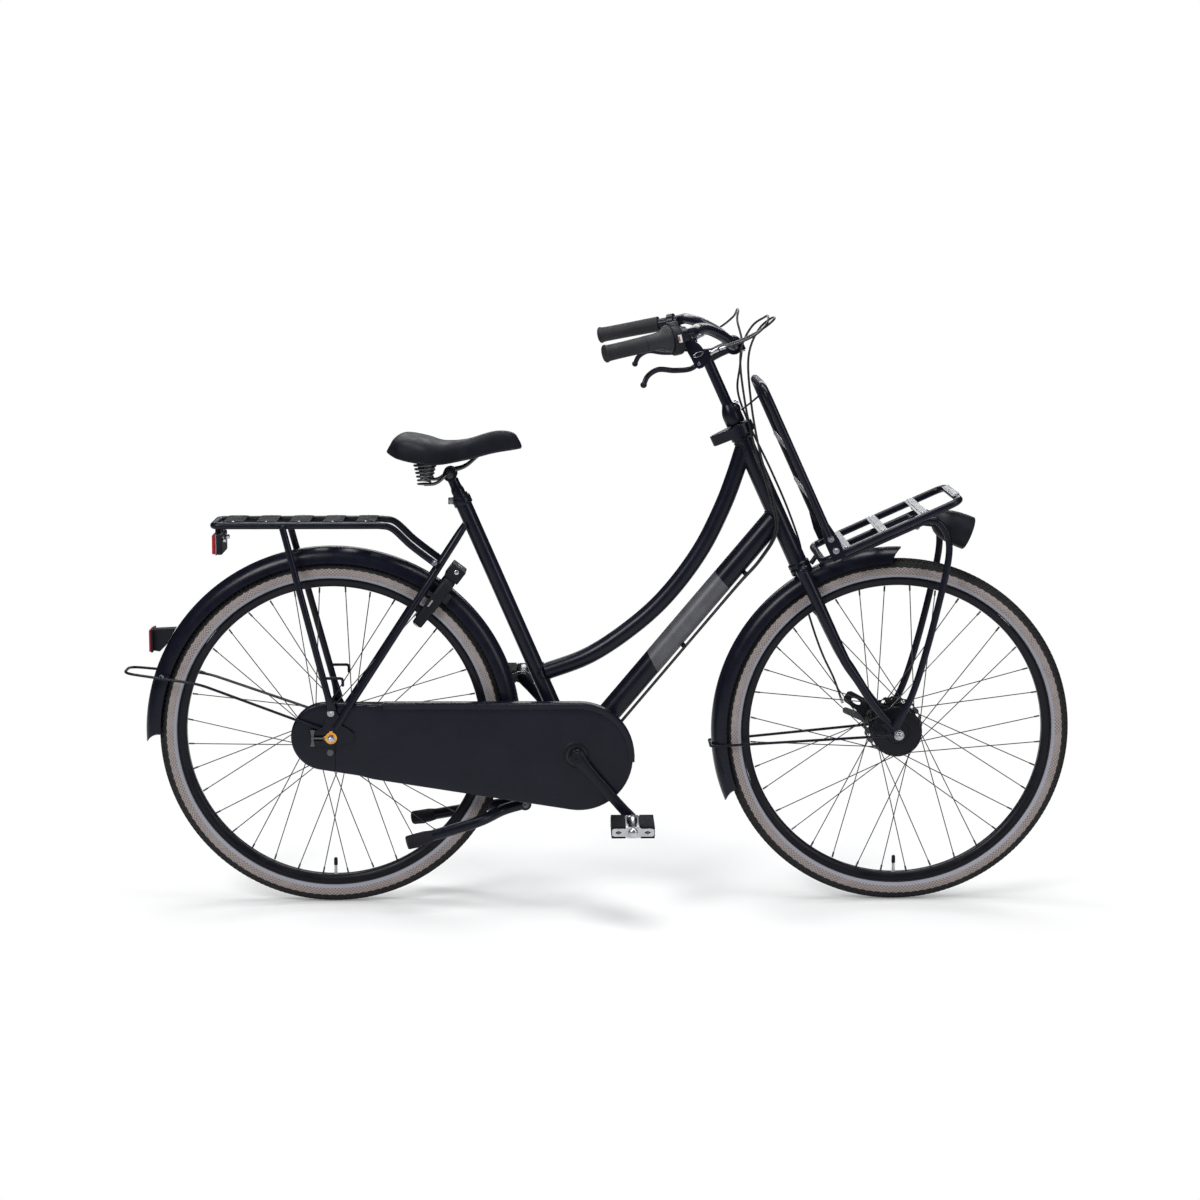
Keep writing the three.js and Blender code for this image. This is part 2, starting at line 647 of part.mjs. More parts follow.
const stemHeight = headTop + STEM_RISE;
const fenderRadius = WHEEL_RADIUS + FENDER_GAP;
const fenderOuter = fenderRadius + FENDER_CROWN;

const group = new THREE.Group();
group.name = 'city_bicycle';

function add(name, part, finish) {
  const mesh = part.getMesh();
  let geometry = new THREE.BufferGeometry();
  geometry.setAttribute('position', new THREE.BufferAttribute(new Float32Array(mesh.vertProperties), 3));
  geometry.setIndex(new THREE.BufferAttribute(new Uint32Array(mesh.triVerts), 1));
  geometry = geometry.toNonIndexed();
  geometry.computeVertexNormals();
  const piece = new THREE.Mesh(geometry, new THREE.MeshStandardMaterial(FINISH[finish]));
  piece.name = name;
  group.add(piece);
}

// Wheels

const rimOuterRadius = WHEEL_RADIUS - TYRE_HEIGHT;
const rimInnerRadius = rimOuterRadius - RIM_DEPTH;

function tyre(axle) {
  const crown = WHEEL_RADIUS / Math.cos(Math.PI / WHEEL_SEGMENTS);
  const half = [
    [rimOuterRadius + GAP, TYRE_BEAD_WIDTH * HALF],
    [WHEEL_RADIUS - TYRE_WIDEST_DROP, TYRE_WIDTH * HALF],
    [crown, CROWN_WIDTH * HALF],
  ];
  const far = half.map(([r, y]) => [r, -y]).reverse();
  return turned([...half, ...far], axle, WHEEL_SEGMENTS, true);
}

function rim(axle) {
  const half = [
    [rimInnerRadius, RIM_BASE_WIDTH * HALF],
    [rimOuterRadius, RIM_WIDTH * HALF],
  ];
  const ring = turned([...half, ...half.map(([r, y]) => [r, -y]).reverse()], axle, WHEEL_SEGMENTS, true);
  const foot = axle.z - rimInnerRadius - SINK;
  const stemTop = axle.z - rimInnerRadius + VALVE_LENGTH;
  const stem = rod(at(axle.x, 0, foot), at(axle.x, 0, stemTop), VALVE_RADIUS, 6);
  const cap = rod(at(axle.x, 0, stemTop - VALVE_CAP_LENGTH), at(axle.x, 0, stemTop + SINK),
    VALVE_CAP_RADIUS, 6);
  return join(ring, stem, cap);
}

/** All spokes of a wheel on their band of nipples. */
function spokes(axle, flangeOffset, flangeRadius) {
  const bandOuter = rimInnerRadius * Math.cos(Math.PI / WHEEL_SEGMENTS) - GAP;
  const bandInner = bandOuter - NIPPLE_BAND_HEIGHT;
  const width = NIPPLE_BAND_WIDTH * HALF;
  const valveHole = rod(at(axle.x, 0, axle.z - bandInner + OVERRUN),
    at(axle.x, 0, axle.z - bandOuter - OVERRUN),
    VALVE_RADIUS + 2 * GAP, 6);
  const band = turned([[bandInner, -width], [bandOuter, -width], [bandOuter, width], [bandInner, width]],
    at(0, 0, 0), SPOKE_COUNT, true).rotate([0, 180 / SPOKE_COUNT, 0]).translate(axle.toArray())
      .subtract(valveHole);
  const tip = bandOuter * Math.cos(Math.PI / SPOKE_COUNT) - SINK * HALF;
  const foot = flangeRadius - FLANGE_MARGIN;
  const lift = FLANGE_THICKNESS * HALF + GAP + SPOKE_RADIUS + 2 * GAP;
  const perSide = SPOKE_COUNT / 2;
  const holeTurn = (2 * Math.PI) / perSide;
  const hole = (radius, turn, y) => at(axle.x + radius * Math.cos(turn), y, axle.z + radius * Math.sin(turn));
  const wires = [];
  for (const side of [RIGHT, LEFT]) {
    for (let i = 0; i < perSide; i += 1) {
      const lead = i % 2 ? 1 : -1;
      const turn = holeTurn * (i + (side * HALF) / 2);
      const from = hole(foot, turn, side * (flangeOffset + lead * lift));
      const to = hole(tip, turn + lead * SPOKE_CROSSES * holeTurn,
        side * (SPOKE_SPREAD + lead * SPOKE_RADIUS));
      wires.push(rod(from, to, SPOKE_RADIUS, SPOKE_SIDES));
    }
  }
  return join(band, wires);
}

function hub(axle, flangeOffset, flangeRadius, barrelRadius, boreRadius) {
  const outer = flangeOffset + FLANGE_THICKNESS * HALF;
  const inner = flangeOffset - FLANGE_THICKNESS * HALF;
  const half = [
    [boreRadius, outer + HUB_END_LENGTH], [HUB_END_RADIUS, outer + HUB_END_LENGTH], [HUB_END_RADIUS, outer],
    [flangeRadius, outer], [flangeRadius, inner], [barrelRadius, inner],
  ];
  return turned([...half, ...half.map(([r, y]) => [r, -y]).reverse()], axle, HUB_SEGMENTS, true);
}

/** Axle with its nuts, clamped at the offset of the outermost piece on it. */
function axle(centre, radius, clamp) {
  const end = clamp + NUT_LENGTH + AXLE_TAIL;
  const nut = (side) => rod(at(centre.x, side * clamp, centre.z),
    at(centre.x, side * (clamp + NUT_LENGTH), centre.z),
    NUT_RADIUS, 6);
  return join(rod(at(centre.x, -end, centre.z), at(centre.x, end, centre.z), radius, 10), nut(RIGHT),
    nut(LEFT));
}

function brakeArm(pivot, reachX, riseZ, low) {
  const end = at(pivot.x + reachX, 0, pivot.z + riseZ);
  const line = Math.atan2(riseZ, reachX);
  const boss = disc(BRAKE_ARM_BOSS, low, low + BRAKE_ARM_THICKNESS, pivot, 12);
  const eye = disc(BRAKE_ARM_WIDTH * HALF, low, low + BRAKE_ARM_THICKNESS, end, 10);
  const beside = (spot, width) => [spot.x - width * Math.sin(line), spot.z + width * Math.cos(line)];
  const bar = slab(outline(beside(pivot, BRAKE_ARM_BOSS), beside(pivot, -BRAKE_ARM_BOSS),
    beside(end, -BRAKE_ARM_WIDTH * HALF), beside(end, BRAKE_ARM_WIDTH * HALF)), low,
      low + BRAKE_ARM_THICKNESS);
  return join(boss, eye, bar)
    .subtract(disc(ARM_PIVOT_RADIUS + GAP, low - OVERRUN, low + BRAKE_ARM_THICKNESS + OVERRUN, pivot, 10));
}

const rearHubEnd = REAR_FLANGE_OFFSET + FLANGE_THICKNESS * HALF + HUB_END_LENGTH;
const frontHubEnd = FRONT_FLANGE_OFFSET + FLANGE_THICKNESS * HALF + HUB_END_LENGTH;
const coolDiscLow = frontHubEnd - SINK;
const frontDrumLow = coolDiscLow + COOL_DISC_THICKNESS + GAP;
const rearDrumLow = rearHubEnd + GAP;
const frontArmLow = frontDrumLow + DRUM_THICKNESS - BRAKE_ARM_THICKNESS;
const rearArmLow = rearDrumLow + DRUM_THICKNESS + GAP;

function wheels() {
  add('rear_tyre', tyre(rearAxle), 'tyre');
  add('rear_rim', rim(rearAxle), 'rim');
  add('rear_spokes', spokes(rearAxle, REAR_FLANGE_OFFSET, REAR_FLANGE_RADIUS), 'darkSteel');
  add('rear_hub', hub(rearAxle, REAR_FLANGE_OFFSET, REAR_FLANGE_RADIUS, REAR_BARREL_RADIUS,
    REAR_AXLE_RADIUS + RUN_GAP), 'rim');
  add('front_tyre', tyre(frontAxle), 'tyre');
  add('front_rim', rim(frontAxle), 'rim');
  add('front_spokes', spokes(frontAxle, FRONT_FLANGE_OFFSET, FRONT_FLANGE_RADIUS), 'darkSteel');
  const bore = FRONT_AXLE_RADIUS + RUN_GAP;
  const shell = hub(frontAxle, FRONT_FLANGE_OFFSET, FRONT_FLANGE_RADIUS, FRONT_BARREL_RADIUS, bore);
  let cooler = turned([[bore, coolDiscLow], [COOL_DISC_RADIUS, coolDiscLow],
    [COOL_DISC_RADIUS, coolDiscLow + COOL_DISC_THICKNESS], [bore, coolDiscLow + COOL_DISC_THICKNESS]],
  frontAxle, HUB_SEGMENTS, true);
  for (let i = 0; i < COOL_HOLE_COUNT; i += 1) {
    const turn = (2 * Math.PI * i) / COOL_HOLE_COUNT;
    const spot = at(COOL_DISC_RADIUS - COOL_HOLE_MARGIN, 0, 0).applyAxisAngle(at(0, 1, 0), turn)
      .add(frontAxle);
    cooler = cooler.subtract(disc(COOL_HOLE_RADIUS, coolDiscLow - OVERRUN,
      coolDiscLow + COOL_DISC_THICKNESS + OVERRUN, spot, 5));
  }
  add('front_hub', join(shell, cooler), 'rim');
}

// Axles, brakes and sprocket

const rackLegEnd = DROPOUT_OFFSET + DROPOUT_THICKNESS + GAP + RACK_LEG_FLAT;
const forkEndOuter = FORK_END_OFFSET + FORK_END_THICKNESS;
const legEyeOuter = forkEndOuter + GAP + RACK_LEG_FLAT;

function rearHubFittings() {
  const clamp = DROPOUT_OFFSET + DROPOUT_THICKNESS + GAP + WASHER_THICKNESS + GAP;
  const drum = turned([[0, rearDrumLow], [DRUM_RADIUS, rearDrumLow],
    [DRUM_RADIUS, rearDrumLow + DRUM_THICKNESS],
    [0, rearDrumLow + DRUM_THICKNESS]], rearAxle, HUB_SEGMENTS);
  const pivot = at(rearAxle.x + ARM_PIVOT_REACH, 0, rearAxle.z);
  const pin = disc(ARM_PIVOT_RADIUS, rearDrumLow, rearArmLow + BRAKE_ARM_THICKNESS + GAP + RACK_LEG_FLAT,
    pivot, 10);
  add('rear_axle', join(axle(rearAxle, REAR_AXLE_RADIUS, clamp), drum, pin), 'steel');
  add('rear_brake_arm', brakeArm(pivot, BRAKE_ARM_LENGTH, -BRAKE_ARM_RISE, rearArmLow), 'darkSteel');

  const washerLow = -(DROPOUT_OFFSET + DROPOUT_THICKNESS + GAP + WASHER_THICKNESS);
  const washerHigh = washerLow + WASHER_THICKNESS;
  const ring = disc(WASHER_RADIUS, washerLow, washerHigh, rearAxle, 12);
  const tang = box(TENSIONER_LENGTH, WASHER_THICKNESS, TENSIONER_THICKNESS,
    at(rearAxle.x - TENSIONER_LENGTH * HALF, (washerLow + washerHigh) * HALF, rearAxle.z));
  const cross = box(TENSIONER_THICKNESS, TENSIONER_THICKNESS, TENSIONER_BAR,
    at(rearAxle.x - TENSIONER_LENGTH, washerHigh - TENSIONER_THICKNESS * HALF, rearAxle.z));
  add('axle_washer', join(ring, tang, cross)
    .subtract(disc(REAR_AXLE_RADIUS + GAP, washerLow - OVERRUN, washerHigh + OVERRUN, rearAxle, 10)),
      'yellow');

  const low = -(CHAIN_LINE + SPROCKET_THICKNESS * HALF);
  const bore = REAR_AXLE_RADIUS + RUN_GAP;
  add('rear_sprocket', turned([[bore, low], [SPROCKET_RADIUS, low],
    [SPROCKET_RADIUS, low + SPROCKET_THICKNESS],
    [HUB_END_RADIUS, low + SPROCKET_THICKNESS], [HUB_END_RADIUS, -rearHubEnd - RUN_GAP],
      [bore, -rearHubEnd - RUN_GAP]],
  rearAxle, HUB_SEGMENTS, true), 'darkSteel');
}

function frontHubFittings() {
  const drumHigh = frontDrumLow + DRUM_THICKNESS;
  const drum = turned([[0, frontDrumLow], [DRUM_RADIUS, frontDrumLow],
    [DRUM_RADIUS, drumHigh - BRAKE_ARM_THICKNESS - GAP],
    [0, drumHigh - BRAKE_ARM_THICKNESS - GAP]], frontAxle, HUB_SEGMENTS);
  const plateHigh = drumHigh - BRAKE_ARM_THICKNESS - GAP;
  const up = at(0, 0, 1).applyAxisAngle(at(0, 1, 0), -rad(90 - HEAD_ANGLE + HEAD_ANGLE / 2));
  const across = at(up.z, 0, -up.x);
  const corner = (along, side) => {
    const spot = frontAxle.clone().addScaledVector(up, along).addScaledVector(across, side);
    return [spot.x, spot.z];
  };
  const plate = slab(outline(corner(0, -DRUM_RADIUS), corner(0, DRUM_RADIUS),
    corner(BRAKE_PLATE_REACH, BRAKE_PLATE_WIDTH * HALF), corner(BRAKE_PLATE_REACH,
      -BRAKE_PLATE_WIDTH * HALF)),
  plateHigh - BRAKE_PLATE_THICKNESS, plateHigh);
  const pivot = at(frontAxle.x - ARM_PIVOT_REACH, 0, frontAxle.z);
  const pin = disc(ARM_PIVOT_RADIUS, frontDrumLow, drumHigh, pivot, 10);
  const clamp = legEyeOuter + GAP;
  add('front_axle', join(axle(frontAxle, FRONT_AXLE_RADIUS, clamp), drum, plate, pin), 'darkSteel');
  add('front_brake_arm', brakeArm(pivot, -BRAKE_ARM_LENGTH, BRAKE_ARM_RISE, frontArmLow), 'darkSteel');
}

// Frame

const headAxis = (up) => steer(0, 0, up);
const headKeep = (margin) => join(
  rod(headAxis(HEAD_TUBE_BOTTOM - OVERRUN), headAxis(headTop + OVERRUN), HEAD_TUBE_RADIUS + margin,
    FRAME_SIDES),
  rod(headAxis(headTop - margin), headAxis(headTop + HEAD_CUP_HEIGHT + LOCK_RING_HEIGHT), LOCK_RING_RADIUS,
    FRAME_SIDES));
const seatKeep = (margin) => rod(onSeatTube(0), onSeatTube(SEAT_TUBE_LENGTH), SEAT_TUBE_RADIUS + margin,
  FRAME_SIDES);
const bracketKeep = (margin) => join(
  disc(BRACKET_RADIUS + margin, -BRACKET_HALF_WIDTH - 2 * STAY_RADIUS, BRACKET_HALF_WIDTH + 2 * STAY_RADIUS,
    bracket, HUB_SEGMENTS),
  disc(CUP_FLANGE_RADIUS + margin, -BRACKET_HALF_WIDTH - 2 * STAY_RADIUS, -BRACKET_HALF_WIDTH + margin,
    bracket, HUB_SEGMENTS));
const downTubeTop = headAxis(HEAD_TUBE_BOTTOM + DOWN_TUBE_JOIN);
const downTubeFoot = bracket.clone().add(at(DOWN_TUBE_AHEAD, 0, 0));
const rearEnd = (side) => side * (DROPOUT_OFFSET + DROPOUT_THICKNESS * HALF);

function chainStay(side, radius) {
  return rod(at(bracket.x, side * CHAIN_STAY_OFFSET, bracket.z),
    at(rearAxle.x + DROPOUT_LENGTH * DROPOUT_FRONT_SHARE - STAY_RADIUS, rearEnd(side), rearAxle.z), radius,
      STAY_SIDES);
}

function seatStayRoute(side) {
  const foot = at(rearAxle.x + STAY_RADIUS, rearEnd(side), rearAxle.z + DROPOUT_HEIGHT * HALF);
  const top = onSeatTube(SEAT_STAY_JOIN, side * SEAT_STAY_JOIN_OFFSET).add(at(-SEAT_STAY_SETBACK, 0, 0));
  const middle = foot.clone().lerp(top, SEAT_STAY_MID_SHARE).setY(side * SEAT_STAY_MID_OFFSET);
  return [foot, middle, top];
}

const seatStay = (side, radius) => tube(smooth(seatStayRoute(side), 6), radius, { sides: STAY_SIDES });

function rearTriangle(side) {
  const low = side === RIGHT ? -(DROPOUT_OFFSET + DROPOUT_THICKNESS) : DROPOUT_OFFSET;
  const high = low + DROPOUT_THICKNESS;
  const front = rearAxle.x + DROPOUT_LENGTH * DROPOUT_FRONT_SHARE;
  const back = front - DROPOUT_LENGTH;
  const half = DROPOUT_HEIGHT * HALF;
  const plate = slab(outline([back, rearAxle.z - half * HALF], [rearAxle.x, rearAxle.z - half],
    [front, rearAxle.z - half * HALF], [front, rearAxle.z + half],
      [rearAxle.x + half, rearAxle.z + DROPOUT_EYE_RISE],
    [rearAxle.x - half * HALF, rearAxle.z + DROPOUT_EYE_RISE], [back, rearAxle.z + half * HALF]), low, high);
  const eye = disc(DROPOUT_EYE_RADIUS, low, high, at(rearAxle.x, 0, rearAxle.z + DROPOUT_EYE_RISE), 12);
  const [foot, , top] = seatStayRoute(side);
  const bridgeEnd = foot.clone().lerp(top, BRIDGE_SHARE).setY(side * (SEAT_STAY_MID_OFFSET - SINK));
  const bridge = side === RIGHT ? [rod(bridgeEnd, bridgeEnd.clone().setY(-bridgeEnd.y), STAY_BRIDGE_RADIUS,
    6)] : [];
  return join(plate, eye, chainStay(side, STAY_RADIUS), seatStay(side, STAY_RADIUS), bridge)
    .subtract(side === RIGHT ? seatStay(LEFT, STAY_RADIUS + GAP) : bracketKeep(GAP))
    .subtract(disc(REAR_AXLE_RADIUS + GAP, low - OVERRUN, high + OVERRUN, rearAxle, 10))
    .subtract(seatKeep(GAP)).subtract(bracketKeep(GAP));
}

function frame() {
  const ringLow = headTop + HEAD_CUP_HEIGHT;
  const ringHigh = ringLow + LOCK_RING_HEIGHT;
  const bore = STEERER_RADIUS + RUN_GAP;
  const barrel = turned([[bore, HEAD_TUBE_BOTTOM - HEAD_CUP_HEIGHT],
    [HEAD_CUP_RADIUS, HEAD_TUBE_BOTTOM - HEAD_CUP_HEIGHT],
    [HEAD_CUP_RADIUS, HEAD_TUBE_BOTTOM], [HEAD_TUBE_RADIUS, HEAD_TUBE_BOTTOM], [HEAD_TUBE_RADIUS, headTop],
    [HEAD_CUP_RADIUS, headTop], [HEAD_CUP_RADIUS, ringLow], [LOCK_RING_RADIUS, ringLow],
    [LOCK_RING_RADIUS, ringHigh], [bore, ringHigh]], at(0, 0, 0), FRAME_SIDES, true);
  const lobe = rod(at(-LOCK_RING_LOBE, 0, ringLow + GAP), at(-LOCK_RING_LOBE, 0, ringHigh - GAP),
    LOCK_RING_LOBE_RADIUS, 8);
  const neck = box(LOCK_RING_LOBE - HEAD_TUBE_RADIUS, 2 * (LOCK_RING_LOBE_RADIUS - SINK),
    LOCK_RING_HEIGHT - 2 * SINK,
    at(-(LOCK_RING_LOBE + HEAD_TUBE_RADIUS) * HALF, 0, (ringLow + ringHigh) * HALF));
  const head = steered(join(moved(barrel, new THREE.Matrix4().makeRotationX(Math.PI / 2)), lobe, neck));
  add('frame_head_tube', head, 'frame');

  const slope = downTubeTop.clone().sub(downTubeFoot).normalize();
  const under = at(slope.z, 0, -slope.x);
  const tilt = new THREE.Matrix4().makeBasis(slope, at(0, 1, 0), under.clone().negate());
  const clips = CLIP_SHARES.map((share) => moved(
    box(CLIP_LENGTH, 2 * CLIP_HALF_WIDTH, CLIP_REACH - DOWN_TUBE_RADIUS + SINK + SINK, at(0, 0, 0)),
    tilt.clone().setPosition(downTubeFoot.clone().lerp(downTubeTop, share)
      .addScaledVector(under, (CLIP_REACH + DOWN_TUBE_RADIUS) * HALF - SINK)
      .add(at(0, -CLIP_HALF_WIDTH, 0)))));
  const down = join(rod(downTubeTop, downTubeFoot, DOWN_TUBE_RADIUS, FRAME_SIDES), clips)
    .subtract(headKeep(GAP)).subtract(bracketKeep(GAP)).subtract(seatKeep(GAP));
  add('frame_down_tube', down, 'frame');

  const seatJoin = onSeatTube(TOP_TUBE_FOOT);
  const headJoin = headAxis(HEAD_TUBE_BOTTOM + HEAD_TUBE_LENGTH * TOP_TUBE_JOIN_SHARE);
  const chord = headJoin.clone().sub(seatJoin);
  const sag = at(chord.z, 0, -chord.x);
  const route = TOP_TUBE_SHARES.map(([along, bow]) => seatJoin.clone()
    .addScaledVector(chord, along).addScaledVector(sag, bow));
  add('frame_top_tube', tube(smooth(route, 11), TOP_TUBE_RADIUS, { sides: FRAME_SIDES })
    .subtract(headKeep(GAP)).subtract(seatKeep(GAP)), 'frame');

  const flangeLow = -CASE_INNER + GAP;
  const shell = turned([[SPINDLE_RADIUS + RUN_GAP, flangeLow], [CUP_FLANGE_RADIUS, flangeLow],
    [CUP_FLANGE_RADIUS, -BRACKET_HALF_WIDTH], [BRACKET_RADIUS, -BRACKET_HALF_WIDTH],
    [BRACKET_RADIUS, BRACKET_HALF_WIDTH], [SPINDLE_RADIUS + RUN_GAP, BRACKET_HALF_WIDTH]], bracket,
      HUB_SEGMENTS, true);
  const collar = SEAT_TUBE_LENGTH - SEAT_COLLAR_DROP;
  const ear = onSeatTube(collar - SEAT_COLLAR_HEIGHT * HALF).addScaledVector(at(-1, 0, 0), SEAT_COLLAR_EAR);
  const tubeBore = rod(onSeatTube(SEAT_TUBE_LENGTH - POST_LENGTH), onSeatTube(SEAT_TUBE_LENGTH + OVERRUN),
    POST_RADIUS + GAP,
    FRAME_SIDES);
  const spindleBore = disc(SPINDLE_RADIUS + RUN_GAP, -CASE_INNER - OVERRUN, BRACKET_HALF_WIDTH + OVERRUN,
    bracket,
    HUB_SEGMENTS);
  const pivot = at(bracket.x - STAND_PIVOT_SETBACK, 0, bracket.z - STAND_PIVOT_DROP);
  const standArm = slab(outline([bracket.x - SINK, bracket.z], [bracket.x - SINK, bracket.z - BRACKET_RADIUS],
    [pivot.x + STAND_BOSS_RADIUS, pivot.z - SINK], [pivot.x, pivot.z + STAND_BOSS_RADIUS],
    [bracket.x - STAND_PIVOT_SETBACK * HALF, bracket.z]), -STAND_BOSS_HALF, STAND_BOSS_HALF);
  const boss = disc(STAND_BOSS_RADIUS, -STAND_BOSS_HALF, STAND_BOSS_HALF, pivot, FRAME_SIDES);
  const pinBore = disc((STAND_PIN_RADIUS + GAP) / Math.cos(Math.PI / STAY_SIDES), -STAND_BOSS_HALF - OVERRUN,
    STAND_BOSS_HALF + OVERRUN, pivot, STAY_SIDES);
  add('frame_seat_tube', join(shell,
    rod(onSeatTube(0), onSeatTube(SEAT_TUBE_LENGTH), SEAT_TUBE_RADIUS, FRAME_SIDES),
    rod(onSeatTube(collar), onSeatTube(collar + SEAT_COLLAR_HEIGHT), SEAT_COLLAR_RADIUS, FRAME_SIDES),
    rod(ear.clone().setY(-SEAT_COLLAR_EAR * HALF), ear.clone().setY(SEAT_COLLAR_EAR * HALF),
      SEAT_COLLAR_HEIGHT * HALF, 6),
    rod(ear, onSeatTube(collar), SEAT_COLLAR_HEIGHT * HALF, 6), standArm, boss)
    .subtract(tubeBore).subtract(spindleBore).subtract(pinBore), 'frame');

  add('frame_rear_right', rearTriangle(RIGHT), 'frame');
  add('frame_rear_left', rearTriangle(LEFT), 'frame');
}

function stand() {
  const pivot = at(bracket.x - STAND_PIVOT_SETBACK, 0, bracket.z - STAND_PIVOT_DROP);
  const leg = (side) => {
    const route = STAND_LEG_SHARES.map(([back, down, out]) => at(pivot.x - STAND_LENGTH * back,
      side * THREE.MathUtils.lerp(STAND_LEG_OFFSET, STAND_FOOT_OFFSET, out), pivot.z - STAND_DROP * down));
    const last = route[route.length - 1];
    const inward = route[route.length - 2].clone().sub(last).setLength(STAND_FOOT_LENGTH);
    return join(tube(smooth(route, 6), STAND_LEG_RADIUS),
      rod(last.clone().addScaledVector(inward, -SINK / STAND_FOOT_LENGTH), last.clone().add(inward),
        STAND_FOOT_RADIUS, 8));
  };
  const pin = disc(STAND_PIN_RADIUS, -STAND_LEG_OFFSET, STAND_LEG_OFFSET, pivot, STAY_SIDES);
  const cheek = (side) => {
    const [low, high] = ordered(side * (STAND_BOSS_HALF + GAP), side * (STAND_LEG_OFFSET + STAND_LEG_RADIUS));
    return disc(STAND_BOSS_RADIUS, low, high, pivot, 8);
  };
  add('stand', join(pin, cheek(RIGHT), cheek(LEFT), leg(RIGHT), leg(LEFT))
    .subtract(disc(STAND_BOSS_RADIUS + RUN_GAP, -STAND_BOSS_HALF - GAP, STAND_BOSS_HALF + GAP, pivot,
      FRAME_SIDES)
      .subtract(pin)), 'rubber');
}

// Chain case, chain, cranks and pedals

const caseRear = at(rearAxle.x - CASE_REAR_SHIFT, 0, rearAxle.z);
const caseFront = at(bracket.x + CASE_FRONT_SHIFT, 0, bracket.z - CASE_FRONT_SHIFT);
const caseShape = (grow) => beltShape(caseRear, CASE_REAR_RADIUS + grow, caseFront, CASE_FRONT_RADIUS + grow,
  CASE_ARC_STEPS);

function chainCase() {
  const big = 2 * (BRACKET_REACH + CASE_FRONT_RADIUS);
  const behind = (x, low, high) => box(big, high - low, big,
    at(x - big * HALF, (low + high) * HALF, bracket.z));
  const slope = (shift) => {
    const start = CASE_SPLIT - OVERRUN;
    const flatEnd = CASE_SPLIT + CASE_FLAT_LENGTH;
    const slopeEnd = flatEnd + CASE_SLOPE_LENGTH;
    const shape = new THREE.Shape([[start, -CASE_OUTER - OVERRUN], [start, -CAP_OUTER + shift],
      [flatEnd, -CAP_OUTER + shift], [slopeEnd, -CASE_OUTER + shift],
      [slopeEnd, -CASE_OUTER - OVERRUN]].map(([x, y]) => new THREE.Vector2(x, y)));
    return solid(new THREE.ExtrudeGeometry(shape, { depth: big, bevelEnabled: false }));
  };
  const crankHole = disc(CASE_CRANK_HOLE, -CASE_OUTER - OVERRUN, -CASE_INNER + OVERRUN, bracket,
    HUB_SEGMENTS);
  const skin = slab(caseShape(0), -CASE_OUTER, -CASE_INNER).subtract(slope(0));
  const hollow = slab(caseShape(-CASE_WALL), -CASE_OUTER + CASE_WALL, -CASE_INNER - CASE_WALL)
    .subtract(slope(CASE_WALL));
  const strip = slab(caseShape(CASE_STRIP_RISE), -CASE_OUTER - CASE_STRIP_THICKNESS,
    -CASE_OUTER + CASE_STRIP_DEPTH)
    .subtract(slab(caseShape(-CASE_STRIP_FALL), -CASE_OUTER - CASE_STRIP_THICKNESS - OVERRUN, -CASE_OUTER))
    .subtract(slab(caseShape(-CASE_WALL * HALF), -CASE_OUTER - SINK * HALF, -CASE_INNER))
    .subtract(behind(CASE_STRIP_START, -CASE_OUTER - big, big))
    .subtract(box(big, big, big, at(0, 0, bracket.z - big * HALF)));
  const shell = join(skin.subtract(hollow), strip).subtract(behind(CASE_SPLIT, -CASE_OUTER - big, big))
    .subtract(crankHole).subtract(chainStay(RIGHT, STAY_RADIUS + CASE_WALL))
    .subtract(seatStay(RIGHT, STAY_RADIUS + CASE_WALL))
    .subtract(disc(CAP_HUB_HOLE, -CASE_INNER - CASE_WALL - OVERRUN, -CASE_INNER + OVERRUN, rearAxle,
      HUB_SEGMENTS));
  add('chain_case', largest(shell), 'frame');

  const capHollow = slab(caseShape(-CASE_WALL), -CAP_OUTER + CASE_WALL, -CASE_INNER - CASE_WALL);
  const capX = CASE_SPLIT - GAP;
  const ahead = box(big, big, big, at(capX + big * HALF, 0, bracket.z));
  const plugLow = -CAP_OUTER - CASE_STRIP_THICKNESS * HALF;
  const plug = disc(CASE_PLUG_RADIUS, plugLow, -CAP_OUTER + SINK * HALF,
    at(rearAxle.x - CASE_PLUG_SETBACK, 0, rearAxle.z - CASE_PLUG_DROP), 12);
  const cap = join(slab(caseShape(0), -CAP_OUTER, -CASE_INNER).subtract(capHollow), plug).subtract(ahead)
    .subtract(seatStay(RIGHT, STAY_RADIUS + CASE_WALL))
    .subtract(disc(CAP_AXLE_HOLE, -CAP_OUTER - OVERRUN, -CAP_OUTER + CASE_WALL + OVERRUN, rearAxle, 16))
    .subtract(disc(CAP_HUB_HOLE, -CASE_INNER - CASE_WALL - OVERRUN, -CASE_INNER + OVERRUN, rearAxle,
      HUB_SEGMENTS));
  add('chain_case_cap', largest(cap), 'frame');
}

